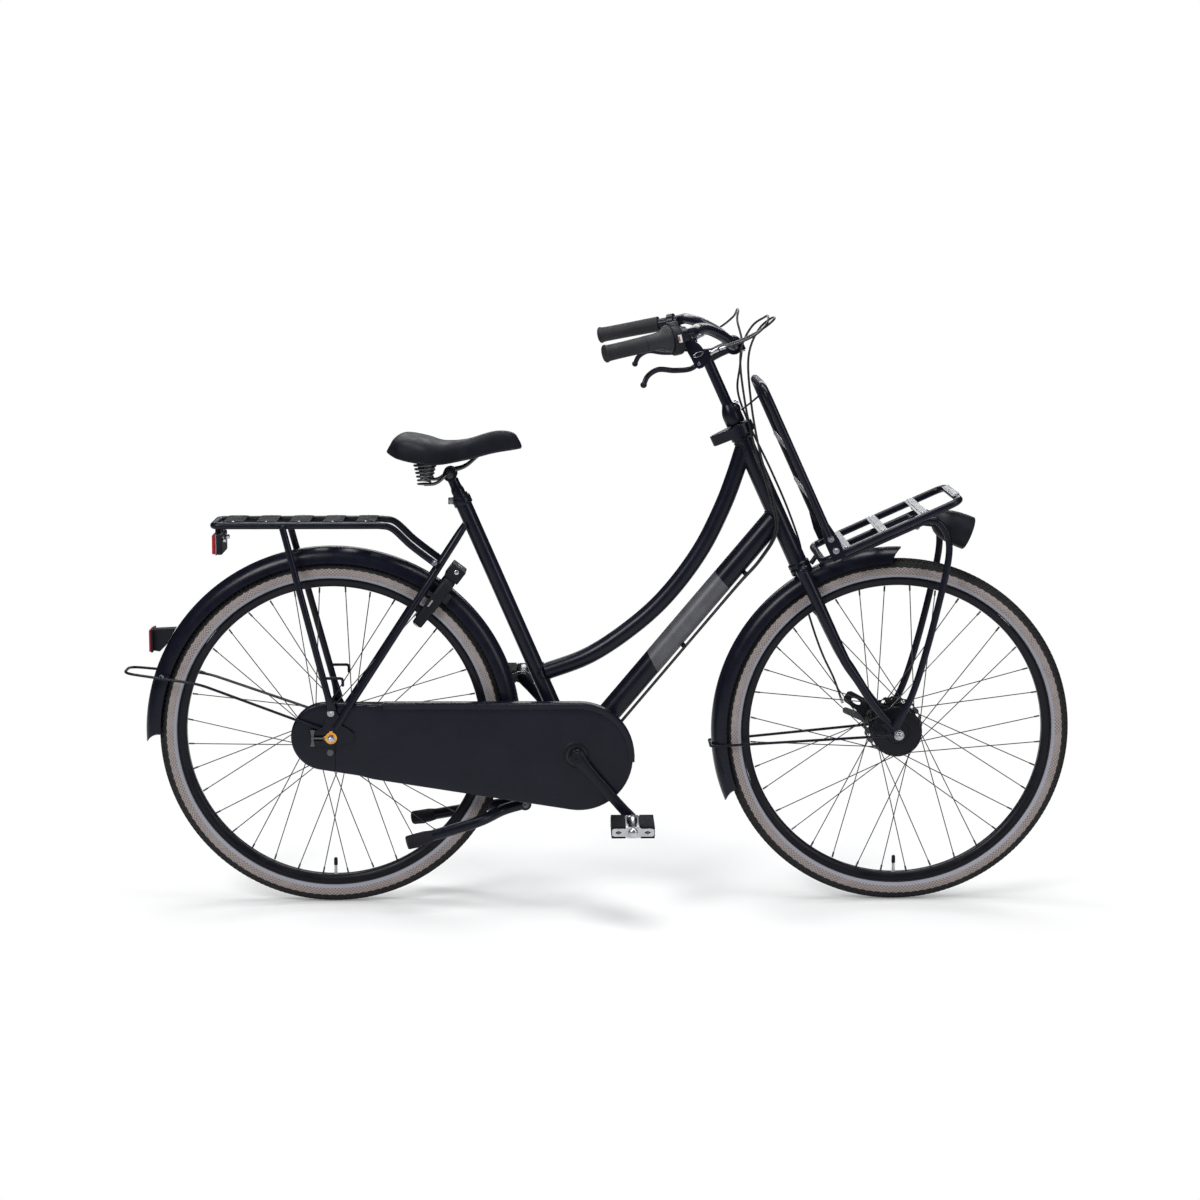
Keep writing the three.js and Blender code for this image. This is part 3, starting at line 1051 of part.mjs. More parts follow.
function chainAndCranks() {
  const side = CHAIN_WIDTH * HALF;
  const run = (grow) => beltShape(rearAxle, SPROCKET_RADIUS + grow, bracket, CHAINRING_RADIUS + grow,
    CHAIN_ARC_STEPS);
  add('chain', slab(run(CHAIN_SEAT + CHAIN_HEIGHT), -CHAIN_LINE - side, -CHAIN_LINE + side)
    .subtract(slab(run(CHAIN_SEAT), -CHAIN_LINE - side - OVERRUN, -CHAIN_LINE + side + OVERRUN)),
      'darkSteel');

  const crankEnd = (turn) => at(bracket.x + CRANK_LENGTH * Math.cos(turn), 0,
    bracket.z + CRANK_LENGTH * Math.sin(turn));
  const arm = (turn, low, high) => slab(beltShape(bracket, CRANK_BOSS_RADIUS, crankEnd(turn),
    CRANK_EYE_RADIUS, 6),
    low, high);
  const rightTurn = rad(CRANK_ANGLE);
  const leftTurn = rightTurn + Math.PI;
  const outer = CRANK_INNER + CRANK_THICKNESS;
  const pedalEnd = outer + PEDAL_CLEARANCE + PEDAL_WIDTH - PEDAL_PLATE_THICKNESS;
  const pin = (sideSign, turn) => {
    const end = crankEnd(turn);
    return rod(at(end.x, sideSign * (outer - SINK), end.z), at(end.x, sideSign * pedalEnd, end.z),
      PEDAL_SPINDLE_RADIUS, 6);
  };
  const ring = disc(CHAINRING_RADIUS, -CHAIN_LINE - CHAINRING_THICKNESS * HALF,
    -CHAIN_LINE + CHAINRING_THICKNESS * HALF, bracket, CHAINRING_SEGMENTS);
  const spindle = disc(SPINDLE_RADIUS, -outer + SINK, outer - SINK, bracket, FRAME_SIDES);
  const boss = disc(CRANK_BOSS_RADIUS, -outer + SINK, -CHAIN_LINE, bracket, FRAME_SIDES);
  add('crank_right', join(arm(rightTurn, -outer, -CRANK_INNER), ring, spindle, boss, pin(RIGHT, rightTurn)),
    'frame');
  add('crank_left', join(arm(leftTurn, CRANK_INNER, outer), pin(LEFT, leftTurn))
    .subtract(disc(SPINDLE_RADIUS + GAP, CRANK_INNER - OVERRUN, outer - SINK + GAP, bracket, FRAME_SIDES)),
      'frame');

  const pedal = (sideSign, turn) => {
    const end = crankEnd(turn);
    const near = outer + PEDAL_CLEARANCE;
    const middle = sideSign * (near + PEDAL_WIDTH * HALF);
    const block = (x) => box(PEDAL_BLOCK_LENGTH, PEDAL_WIDTH - PEDAL_PLATE_THICKNESS, PEDAL_HEIGHT,
      at(end.x + x, middle, end.z));
    const offset = (PEDAL_LENGTH - PEDAL_BLOCK_LENGTH) * HALF;
    const plate = (y) => box(PEDAL_LENGTH - PEDAL_BLOCK_LENGTH * HALF, PEDAL_PLATE_THICKNESS,
      PEDAL_HEIGHT * HALF,
      at(end.x, sideSign * y, end.z));
    const core = rod(at(end.x, sideSign * near, end.z), at(end.x, sideSign * (near + PEDAL_WIDTH), end.z),
      PEDAL_TUBE_RADIUS, 8);
    const bore = rod(at(end.x, sideSign * (near - OVERRUN), end.z),
      at(end.x, sideSign * (pedalEnd + GAP), end.z),
      PEDAL_SPINDLE_RADIUS + RUN_GAP, 6);
    return join(block(offset), block(-offset), plate(near + PEDAL_PLATE_THICKNESS * HALF),
      plate(near + PEDAL_WIDTH - PEDAL_PLATE_THICKNESS * HALF), core).subtract(bore);
  };
  add('pedal_right', pedal(RIGHT, rightTurn), 'rubber');
  add('pedal_left', pedal(LEFT, leftTurn), 'rubber');
}

// Fenders and their stays

function fender(centre, edgeRadius, from, to, steps) {
  const half = [[0, FENDER_CROWN], [FENDER_SHOULDER_SHARE, FENDER_CROWN * FENDER_SHOULDER_SHARE], [1, 0]];
  const outer = half.map(([share, rise]) => [FENDER_HALF_WIDTH * share, rise]);
  const inner = half.map(([share, rise]) => [(FENDER_HALF_WIDTH - FENDER_THICKNESS) * share,
    Math.max(rise - FENDER_THICKNESS, 0)]);
  const ring = [...[...outer].reverse().map(([y, r]) => [-y, r]), ...outer.slice(1),
    ...[...inner].reverse(), ...inner.slice(1).map(([y, r]) => [-y, r])];
  const shape = new THREE.Shape(ring.map(([y, r]) => new THREE.Vector2(y, r)));
  const points = [];
  for (let i = 0; i <= steps; i += 1) {
    const turn = rad(from + ((to - from) * i) / steps);
    points.push(at(centre.x + edgeRadius * Math.cos(turn), 0, centre.z + edgeRadius * Math.sin(turn)));
  }
  return solid(new THREE.ExtrudeGeometry(shape, {
    steps, bevelEnabled: false, extrudePath: new THREE.CatmullRomCurve3(points, false, 'centripetal'),
  }));
}

function fenders() {
  add('rear_fender', fender(rearAxle, fenderRadius, REAR_FENDER_START, REAR_FENDER_END, REAR_FENDER_STEPS),
    'frame');
  const frontEdge = fenderRadius - FRONT_FENDER_DROP;
  add('front_fender', fender(frontAxle, frontEdge, FRONT_FENDER_START, FRONT_FENDER_END,
    FRONT_FENDER_STEPS), 'frame');

  const footY = DROPOUT_OFFSET + DROPOUT_THICKNESS + GAP + GAP + FENDER_STAY_RADIUS;
  const foot = (side) => rearAxle.clone().add(at(-DROPOUT_HEIGHT * HALF, side * footY,
    DROPOUT_HEIGHT * HALF));
  const knee = (side) => rearAxle.clone().add(at(-BUMPER_KNEE_REACH, side * BUMPER_KNEE_HALF_WIDTH,
    BUMPER_KNEE_RISE));
  const corner = (side) => rearAxle.clone().add(at(-BUMPER_REACH, side * BUMPER_HALF_WIDTH, BUMPER_RISE));
  const loop = rounded([foot(RIGHT), knee(RIGHT), corner(RIGHT), corner(LEFT), knee(LEFT), foot(LEFT)],
    BUMPER_CORNER);
  const tab = (side) => {
    const spot = knee(side).lerp(corner(side), BUMPER_TAB_SHARE);
    return rod(spot, spot.clone().setY(side * (FENDER_HALF_WIDTH + GAP)), FENDER_STAY_RADIUS, 6);
  };
  add('rear_fender_stay', join(tube(loop, FENDER_STAY_RADIUS, { sides: 6 }), tab(RIGHT), tab(LEFT)), 'frame');

  const frontY = legEyeOuter + GAP;
  const frontFoot = (side) => frontAxle.clone().add(at(-NUT_RADIUS - GAP,
    side * (frontY + FENDER_STAY_RADIUS), 0));
  const rim = frontEdge + FENDER_CROWN + GAP + FENDER_STAY_RADIUS;
  const beside = FENDER_HALF_WIDTH + GAP + FENDER_STAY_RADIUS;
  const edge = (side) => frontAxle.clone().add(at(-frontEdge, side * beside, -FRONT_STAY_DROP));
  const over = (side) => frontAxle.clone().add(at(-Math.sqrt(rim * rim - FRONT_STAY_DROP * FRONT_STAY_DROP),
    side * beside, -FRONT_STAY_DROP));
  const arch = rounded([frontFoot(RIGHT), edge(RIGHT), over(RIGHT), over(LEFT), edge(LEFT), frontFoot(LEFT)],
    FENDER_STAY_RADIUS, 1);
  add('front_fender_stay', tube(arch, FENDER_STAY_RADIUS, { sides: 6 }), 'frame');

  const turn = rad(REFLECTOR_ANGLE);
  const seat = rearAxle.clone().add(at(fenderOuter * Math.cos(turn), 0, fenderOuter * Math.sin(turn)));
  const back = seat.x - REFLECTOR_DEPTH;
  const low = seat.z - REFLECTOR_HEIGHT * HALF;
  const wedge = slab(outline([back, low], [seat.x + REFLECTOR_DEPTH, low],
    [seat.x + REFLECTOR_DEPTH + SINK, low + REFLECTOR_HEIGHT], [back, low + REFLECTOR_HEIGHT]),
  -REFLECTOR_WIDTH * HALF * HALF, REFLECTOR_WIDTH * HALF * HALF);
  const lens = box(REFLECTOR_LENS, REFLECTOR_WIDTH, REFLECTOR_HEIGHT, at(back, 0, seat.z));
  const keep = disc(fenderOuter + GAP, -REFLECTOR_WIDTH, REFLECTOR_WIDTH, rearAxle, 2 * WHEEL_SEGMENTS);
  add('rear_reflector', join(wedge, lens).subtract(keep), 'red');
}

// Seat post, saddle and springs

const clampCentre = onSeatTube(SEAT_TUBE_LENGTH + POST_RISE + CLAMP_LIFT);
const springFoot = (side) => clampCentre.clone().add(at(-SPRING_SETBACK, side * SPRING_OFFSET, -SPRING_DROP));
const springTop = (side) => springFoot(side).add(at(0, 0, SPRING_HEIGHT));

const shareAt = (table, along) => {
  for (let i = 1; i < table.length; i += 1) {
    const [[x0, y0], [x1, y1]] = [table[i - 1], table[i]];
    if (along <= x1) {
      const part = (along - x0) / (x1 - x0);
      const eased = part * part * (3 - 2 * part);
      return THREE.MathUtils.lerp(y0, y1, THREE.MathUtils.lerp(part, eased, HALF));
    }
  }
  return table[table.length - 1][1];
};

/** Saddle pad: a ball drawn out to the saddle's plan, crown and rim. */
function saddlePad() {
  const ball = new THREE.SphereGeometry(1, SADDLE_SIDES, SADDLE_RINGS).rotateZ(Math.PI / 2);
  const position = ball.attributes.position;
  const tail = clampCentre.x - SADDLE_SETBACK;
  for (let i = 0; i < position.count; i += 1) {
    const unit = at(position.getX(i), position.getY(i), position.getZ(i));
    const along = (unit.x + 1) * HALF;
    const swell = Math.min(1, Math.max(0, 1 - unit.x * unit.x) / SADDLE_END_SHARE) ** HALF;
    const ring = Math.hypot(unit.y, unit.z) || 1;
    const [dy, dz] = [unit.y / ring, unit.z / ring];
    const half = SADDLE_HALF_WIDTH * shareAt(SADDLE_WIDTH_SHARES, along) * swell;
    const top = SADDLE_RISE * shareAt(SADDLE_TOP_SHARES, along);
    const rimRise = SADDLE_RIM_RISE + (SADDLE_RISE - SADDLE_RIM_RISE) * shareAt(SADDLE_RIM_SHARES, along);
    const crown = Math.max(top, rimRise);
    const middle = THREE.MathUtils.lerp(rimRise, crown, HALF * HALF);
    const y = Math.sign(dy) * Math.abs(dy) ** SADDLE_SIDE_SHARE * half;
    const z = dz >= 0 ? middle + (crown - middle) * dz ** SADDLE_SIDE_SHARE * swell
      : middle - (middle - rimRise) * Math.abs(dz) ** HALF * swell;
    position.setXYZ(i, tail + SADDLE_LENGTH * along, y, clampCentre.z + z);
  }
  return solid(ball);
}

/** Coil whose radius grows from foot to top, with straight ends one wire across. */
class Coil extends THREE.Curve {
  constructor(foot) {
    super();
    this.foot = foot;
  }

  getPoint(t, target = at(0, 0, 0)) {
    const turn = 2 * Math.PI * SPRING_TURNS * t;
    const radius = THREE.MathUtils.lerp(SPRING_FOOT_RADIUS, SPRING_TOP_RADIUS, t);
    const rise = SPRING_WIRE_RADIUS + GAP + (SPRING_HEIGHT - 2 * SPRING_WIRE_RADIUS - 2 * GAP) * t;
    return target.set(this.foot.x + radius * Math.cos(turn), this.foot.y + radius * Math.sin(turn),
      this.foot.z + rise);
  }
}

function spring(side) {
  const coil = new Coil(springFoot(side));
  const steps = SPRING_TURNS * SPRING_STEPS;
  const points = coil.getSpacedPoints(steps);
  const wire = 2 * SPRING_WIRE_RADIUS;
  const straightOut = (end, before) => end.clone().add(end.clone().sub(before).setZ(0).setLength(wire));
  const route = [straightOut(points[0], points[1]), ...points, straightOut(points[steps], points[steps - 1])];
  let least = Infinity;
  for (let i = 0; i < route.length; i += 1) {
    for (let k = i + SPRING_STEPS / 2; k < route.length; k += 1) {
      least = Math.min(least, route[i].distanceTo(route[k]) - wire);
    }
  }
  console.log(`saddle spring ${side}: least gap to itself ${least.toFixed(2)} mm`);
  return tube(route, SPRING_WIRE_RADIUS, { sides: SPRING_SIDES });
}

function saddle() {
  const shoulder = onSeatTube(SEAT_TUBE_LENGTH + POST_RISE - POST_NECK_LENGTH);
  const clampRod = (overrun, margin) => rod(clampCentre.clone().setY(-CLAMP_HALF_WIDTH - overrun),
    clampCentre.clone().setY(CLAMP_HALF_WIDTH + overrun), CLAMP_RADIUS + margin, FRAME_SIDES);
  add('seat_post', join(rod(onSeatTube(SEAT_TUBE_LENGTH - POST_LENGTH + GAP), shoulder, POST_RADIUS,
    FRAME_SIDES),
    rod(shoulder.clone().addScaledVector(seatUp, -SINK), clampCentre, POST_NECK_RADIUS, FRAME_SIDES))
    .subtract(clampRod(OVERRUN, GAP)), 'frame');

  const pad = saddlePad();
  const clamp = clampRod(0, 0);
  const rail = (side) => {
    const rear = springFoot(side).add(at(0, 0, -SPRING_CUP_THICKNESS));
    const clear = rear.clone().add(at(SPRING_TOP_RADIUS + RAIL_RADIUS, -side * SPRING_CUP_RADIUS * HALF, 0));
    const middle = clampCentre.clone().add(at(0, side * RAIL_HALF_GAP, CLAMP_RADIUS * HALF));
    const front = clampCentre.clone().add(at(RAIL_NOSE_REACH * HALF, side * RAIL_NOSE_HALF_GAP,
      CLAMP_RADIUS));
    const nose = clampCentre.clone().add(at(RAIL_NOSE_REACH, side * RAIL_NOSE_HALF_GAP * HALF,
      SADDLE_RISE * HALF));
    return tube(rounded([rear, clear, middle, front, nose], 2 * RAIL_RADIUS, 1), RAIL_RADIUS, { sides: 6 });
  };
  const cup = (side) => rod(springFoot(side).add(at(0, 0, -SPRING_CUP_THICKNESS)), springFoot(side),
    SPRING_CUP_RADIUS, FRAME_SIDES);
  add('saddle_rails', join(clamp, rail(RIGHT), rail(LEFT), cup(RIGHT), cup(LEFT))
    .subtract(pad.translate([0, 0, -GAP])).subtract(pad), 'darkSteel');
  const flat = (side) => box(2 * SPRING_TOP_RADIUS + 2 * OVERRUN, 2 * SPRING_TOP_RADIUS + 2 * OVERRUN,
    SPRING_HEIGHT,
    springTop(side).add(at(0, 0, -SPRING_HEIGHT * HALF)));
  add('saddle_pad', pad.subtract(flat(RIGHT)).subtract(flat(LEFT)), 'leather');
  add('saddle_spring_right', spring(RIGHT), 'darkSteel');
  add('saddle_spring_left', spring(LEFT), 'darkSteel');
}

// Rear carrier, lamp and ring lock

function rearCarrier() {
  const deck = rearAxle.z + RACK_HEIGHT;
  const rearX = rearAxle.x - RACK_REAR_REACH;
  const frontX = rearAxle.x + RACK_FRONT_REACH;
  const rail = (side) => {
    const slope = RACK_FOOT_SHARES.map(([x, z]) => at(frontX + RACK_FOOT_REACH * x,
      side * (RACK_HALF_WIDTH - SINK * x * 2), deck - RACK_FOOT_DROP * z));
    const bend = new THREE.QuadraticBezierCurve3(at(rearX + RACK_CORNER, side * RACK_HALF_WIDTH, deck),
      at(rearX, side * RACK_HALF_WIDTH, deck), at(rearX, side * (RACK_HALF_WIDTH - RACK_CORNER), deck));
    return [...smooth(slope, 6).reverse(), ...bend.getPoints(4)];
  };
  const loop = tube([...rail(RIGHT), ...rail(LEFT).reverse()], RACK_TUBE_RADIUS, { sides: 6 });
  const top = deck + RACK_TUBE_RADIUS - SINK + RACK_SLAT_THICKNESS * HALF;
  const slats = [];
  for (let i = 0; i < RACK_SLAT_COUNT; i += 1) {
    slats.push(box(RACK_SLAT_LENGTH, 2 * RACK_HALF_WIDTH, RACK_SLAT_THICKNESS,
      at(rearX + RACK_SLAT_LENGTH + RACK_SLAT_PITCH * i, 0, top)));
  }
  const eyeRise = rearAxle.z + DROPOUT_EYE_RISE;
  const legY = DROPOUT_OFFSET + DROPOUT_THICKNESS + GAP;
  const leg = (side) => {
    const foot = at(rearAxle.x - SINK, side * (legY + RACK_LEG_RADIUS), eyeRise + 2 * DROPOUT_EYE_RADIUS);
    const topEnd = at(rearAxle.x - RACK_LEG_TOP_SETBACK, side * RACK_LEG_TOP_OFFSET,
      deck - RACK_TUBE_RADIUS * HALF);
    const [low, high] = ordered(side * legY, side * (legY + RACK_LEG_FLAT));
    const eye = slab(beltShape(at(rearAxle.x, 0, eyeRise), DROPOUT_EYE_RADIUS,
      at(foot.x, 0, foot.z + RACK_LEG_RADIUS), RACK_LEG_RADIUS, 5), low, high);
    const hookFoot = foot.clone().lerp(topEnd, RACK_HOOK_RISE / (deck - eyeRise));
    const hookOut = hookFoot.clone().add(at(RACK_HOOK_REACH, 0, 0));
    const bolt = rod(at(rearAxle.x, side * (legY + RACK_LEG_FLAT - SINK), eyeRise),
      at(rearAxle.x, side * (legY + RACK_LEG_FLAT + BOLT_HEAD_HEIGHT), eyeRise), BOLT_HEAD_RADIUS, 6);
    return join(rod(foot, topEnd, RACK_LEG_RADIUS, 6), eye, bolt, rod(hookFoot, hookOut, RACK_HOOK_RADIUS, 6),
      rod(hookOut.clone().add(at(0, 0, RACK_HOOK_RADIUS)), hookOut.clone().add(at(0, 0, -RACK_HOOK_DROP)),
        RACK_HOOK_RADIUS, 6));
  };
  const stays = join(seatStay(RIGHT, STAY_RADIUS + GAP), seatStay(LEFT, STAY_RADIUS + GAP));
  add('rear_carrier', join(loop, slats, leg(RIGHT), leg(LEFT)).subtract(stays), 'frame');

  const lampZ = deck - RACK_TUBE_RADIUS - GAP - LAMP_REAR_HEIGHT * HALF;
  const body = box(LAMP_REAR_DEPTH, LAMP_REAR_WIDTH, LAMP_REAR_HEIGHT,
    at(rearX + LAMP_REAR_DEPTH * HALF * HALF, 0, lampZ - LAMP_REAR_DROP));
  const tab = box(LAMP_REAR_DEPTH * HALF, LAMP_REAR_WIDTH * HALF, LAMP_REAR_DROP + SINK,
    at(rearX + LAMP_REAR_DEPTH * HALF * HALF, 0, lampZ + (LAMP_REAR_HEIGHT - LAMP_REAR_DROP) * HALF));
  add('rear_lamp', join(body, tab).subtract(loop.translate([0, 0, -GAP])).subtract(loop), 'red');
}

function ringLock() {
  const frameMatrix = new THREE.Matrix4().makeRotationY(-rad(LOCK_ANGLE)).setPosition(rearAxle);
  const inner = WHEEL_RADIUS - LOCK_ARM_REACH;
  const slotTop = fenderOuter + LOCK_FENDER_GAP;
  const armTop = slotTop + LOCK_BODY_HEIGHT * HALF;
  const arms = box(armTop - inner, 2 * LOCK_HALF_WIDTH, LOCK_DEPTH, at((armTop + inner) * HALF, 0, 0));
  const slot = box(slotTop - inner + OVERRUN, 2 * LOCK_SLOT_HALF_WIDTH, LOCK_DEPTH + 2 * OVERRUN,
    at((slotTop + inner - OVERRUN) * HALF, 0, 0));
  const head = box(LOCK_BODY_HEIGHT, 2 * LOCK_BODY_HALF_WIDTH, LOCK_DEPTH + LOCK_KNOB_WIDTH,
    at(armTop + LOCK_BODY_HEIGHT * HALF - SINK, 0, 0));
  const body = join(arms.subtract(slot), head);
  const clamp = (side) => {
    const from = at(THREE.MathUtils.lerp(inner, slotTop, LOCK_CLAMP_SHARE),
      side * (LOCK_HALF_WIDTH + LOCK_SLOT_HALF_WIDTH) * HALF, 0).applyMatrix4(frameMatrix);
    const [foot, middle] = seatStayRoute(side);
    const line = middle.clone().sub(foot);
    const along = from.clone().sub(foot).dot(line) / line.lengthSq();
    return rod(from, foot.clone().addScaledVector(line, along), LOCK_CLAMP_RADIUS, 8);
  };
  const stays = join(seatStay(RIGHT, STAY_RADIUS + GAP), seatStay(LEFT, STAY_RADIUS + GAP));
  add('ring_lock', join(moved(body, frameMatrix), clamp(RIGHT), clamp(LEFT)).subtract(stays), 'frame');
  const knobX = THREE.MathUtils.lerp(slotTop, inner, LOCK_KNOB_SHARE);
  const knob = box(LOCK_KNOB_LENGTH, LOCK_KNOB_WIDTH, LOCK_KNOB_DEPTH,
    at(knobX, RIGHT * (LOCK_HALF_WIDTH - LOCK_KNOB_WIDTH * HALF),
      -(LOCK_DEPTH + LOCK_KNOB_DEPTH) * HALF - GAP));
  add('ring_lock_knob', moved(knob, frameMatrix), 'rubber');
}

// Fork, stem and handlebar

function forkBlade(side, margin) {
  const endMiddle = FORK_END_OFFSET + FORK_END_THICKNESS * HALF;
  const route = FORK_BLADE_SHARES.map(([down, ahead, out]) => at(FORK_RAKE * ahead,
    side * THREE.MathUtils.lerp(FORK_HALF_WIDTH_TOP, endMiddle, out), FORK_CROWN * (1 - down)));
  const [low, high] = ordered(side * FORK_END_OFFSET, side * (FORK_END_OFFSET + FORK_END_THICKNESS));
  const half = FORK_END_HEIGHT * HALF;
  const end = slab(outline([FORK_RAKE - half, -half], [FORK_RAKE + half, -half], [FORK_RAKE + half, half],
    [FORK_RAKE - half * HALF, FORK_END_LENGTH], [FORK_RAKE - 2 * half, FORK_END_LENGTH]), low, high);
  const trim = (y) => box(FORK_END_LENGTH * 2, FORK_BLADE_TOP_RADIUS * 2, FORK_END_LENGTH,
    at(FORK_RAKE, side * y, 0));
  return join(tube(smooth(route, 9), FORK_BLADE_TOP_RADIUS + margin,
    { endRadius: FORK_BLADE_END_RADIUS + margin }), end)
    .subtract(trim(forkEndOuter + FORK_BLADE_TOP_RADIUS))
      .subtract(trim(FORK_END_OFFSET - FORK_BLADE_TOP_RADIUS));
}

function fork() {
  const crownTop = HEAD_TUBE_BOTTOM - HEAD_CUP_HEIGHT - GAP;
  const steererTop = headTop + HEAD_CUP_HEIGHT + LOCK_RING_HEIGHT - SINK;
  const steerer = rod(at(0, 0, crownTop - SINK), at(0, 0, steererTop), STEERER_RADIUS, FRAME_SIDES);
  const crown = join(rod(at(0, 0, FORK_CROWN - SINK), at(0, 0, crownTop), FORK_CROWN_RADIUS, FRAME_SIDES),
    box(FORK_CROWN_DEPTH, 2 * FORK_HALF_WIDTH_TOP, FORK_CROWN_THICKNESS, at(0, 0, FORK_CROWN)));
  const quillBore = rod(at(0, 0, steererTop - QUILL_DEPTH), at(0, 0, steererTop + OVERRUN),
    QUILL_RADIUS + GAP,
    FRAME_SIDES);
  const axleBore = disc(FRONT_AXLE_RADIUS + GAP, -forkEndOuter - OVERRUN, forkEndOuter + OVERRUN, frontAxle,
    10);
  add('fork', steered(join(steerer, crown, forkBlade(RIGHT, 0), forkBlade(LEFT, 0)).subtract(quillBore))
    .subtract(axleBore), 'frame');
  return steererTop;
}

const barPoint = ([sweep, out, rise], side) => at(STEM_REACH - BAR_SWEEP * sweep, side * BAR_HALF_WIDTH * out,
  stemHeight + BAR_RISE * rise);
const gripAxis = (side) => {
  const end = barPoint([1, 1, 1], side);
  const start = barPoint(BAR_SHARES[BAR_SHARES.length - 1], side);
  const along = end.clone().sub(start).normalize();
  return { start, end, along, spot: (distance) => end.clone().addScaledVector(along, -distance) };
};

function handlebar(steererTop) {
  const half = (side) => BAR_SHARES.map((row) => barPoint(row, side));
  const curve = smooth([...half(RIGHT).reverse(), ...half(LEFT).slice(1)], BAR_STEPS);
  const straight = (side) => {
    const { start, end } = gripAxis(side);
    return [start.clone().lerp(end, BAR_STRAIGHT_SHARE), end];
  };
  const route = [...straight(RIGHT).reverse(), ...curve, ...straight(LEFT)];
  const bar = (radius) => tube(route, radius, { sides: BAR_SIDES });
  const keep = bar(BAR_RADIUS + GAP);
  add('handlebar', steered(bar(BAR_RADIUS)), 'frame');

  const quillFoot = steererTop - QUILL_DEPTH + RUN_GAP;
  const collarLow = headTop + STEM_COLLAR_START + RUN_GAP + HEAD_CUP_HEIGHT;
  const collarMiddle = collarLow + STEM_COLLAR_HEIGHT * HALF;
  const collar = join(rod(at(0, 0, collarLow), at(0, 0, collarMiddle), STEM_COLLAR_RADIUS, FRAME_SIDES),
    tube([at(0, 0, collarMiddle - SINK), at(0, 0, collarLow + STEM_COLLAR_HEIGHT)], STEM_COLLAR_RADIUS,
      { sides: FRAME_SIDES, endRadius: QUILL_RADIUS + SINK }),
    rod(at(STEM_COLLAR_RADIUS * HALF, 0, collarMiddle),
      at(STEM_COLLAR_RADIUS + SINK, 0, collarMiddle + STEM_COLLAR_RADIUS), BOLT_HEAD_RADIUS, 6));
  const clampLine = (y) => at(STEM_REACH, y, stemHeight);
  const clampRing = rod(clampLine(-STEM_CLAMP_HALF), clampLine(STEM_CLAMP_HALF), STEM_CLAMP_RADIUS,
    FRAME_SIDES);
  const stem = join(rod(at(0, 0, quillFoot), at(0, 0, stemHeight), QUILL_RADIUS, FRAME_SIDES), collar,
    rod(at(-STEM_ARM_RADIUS * HALF, 0, stemHeight), clampLine(0), STEM_ARM_RADIUS, 10), clampRing)
      .subtract(keep);
  add('stem', steered(stem), 'frame');

  const lengths = { grip: GRIP_LENGTH, sleeve: SHIFTER_SLEEVE_LENGTH, body: SHIFTER_BODY_LENGTH };
  const turnedOnGrip = (side, profile, segments) => {
    const { along } = gripAxis(side);
    const facing = new THREE.Quaternion().setFromUnitVectors(at(0, 1, 0), along.clone().negate());
    const spin = new THREE.Matrix4().makeRotationFromQuaternion(facing).setPosition(gripAxis(side).end);
    return moved(turned(profile, at(0, 0, 0), segments, true), spin);
  };
  const grip = (side) => {
    const bore = BAR_RADIUS + GAP;
    const outerEnd = -GRIP_OVERHANG;
    const reach = side === RIGHT ? lengths.grip : lengths.grip + GAP + lengths.sleeve;
    const shell = [[GRIP_RADIUS, outerEnd], [GRIP_RADIUS + SINK, 0], [GRIP_RADIUS, GRIP_OVERHANG],
      [GRIP_RADIUS, reach]];
    return turnedOnGrip(side, [[0, outerEnd], ...shell, [bore, reach], [bore, -GAP], [0, -GAP]],
      HUB_SEGMENTS);
  };
  add('grip_right', steered(grip(RIGHT)), 'rubber');
  add('grip_left', steered(grip(LEFT)), 'rubber');

  const sleeveStart = lengths.grip + GAP;
  const sleeveEnd = sleeveStart + lengths.sleeve;
  const sleeveBore = BAR_RADIUS + RUN_GAP;
  add('shifter_sleeve', steered(turnedOnGrip(RIGHT, [[sleeveBore, sleeveStart], [GRIP_RADIUS, sleeveStart],
    [GRIP_RADIUS + SINK, sleeveStart + lengths.sleeve * HALF], [SHIFTER_SLEEVE_FLARE, sleeveEnd - SINK],
    [SHIFTER_SLEEVE_FLARE, sleeveEnd], [sleeveBore, sleeveEnd]], HUB_SEGMENTS)), 'rubber');
  const bodyStart = sleeveEnd + RUN_GAP;
  const bodyEnd = bodyStart + lengths.body;
  const drum = turnedOnGrip(RIGHT, [[BAR_RADIUS * HALF, bodyStart], [SHIFTER_BODY_RADIUS - SINK, bodyStart],
    [SHIFTER_BODY_RADIUS, bodyStart + SINK], [SHIFTER_BODY_RADIUS, bodyEnd], [BAR_RADIUS * HALF, bodyEnd]],
      16);
  const bump = turnedOnGrip(RIGHT, [[BAR_RADIUS * HALF, bodyStart], [SHIFTER_BUMP_RADIUS, bodyStart],
    [SHIFTER_BUMP_RADIUS, bodyEnd], [BAR_RADIUS * HALF, bodyEnd]], 8);
  const { along } = gripAxis(RIGHT);
  const upright = at(0, 0, 1).addScaledVector(along, -along.z).normalize();
  const lifted = (part, height) => part.translate(upright.clone().multiplyScalar(height).toArray());
  add('shifter_body', steered(join(lifted(drum, -SHIFTER_BODY_OFFSET), lifted(bump, SHIFTER_BUMP))
    .subtract(keep)),
    'rubber');

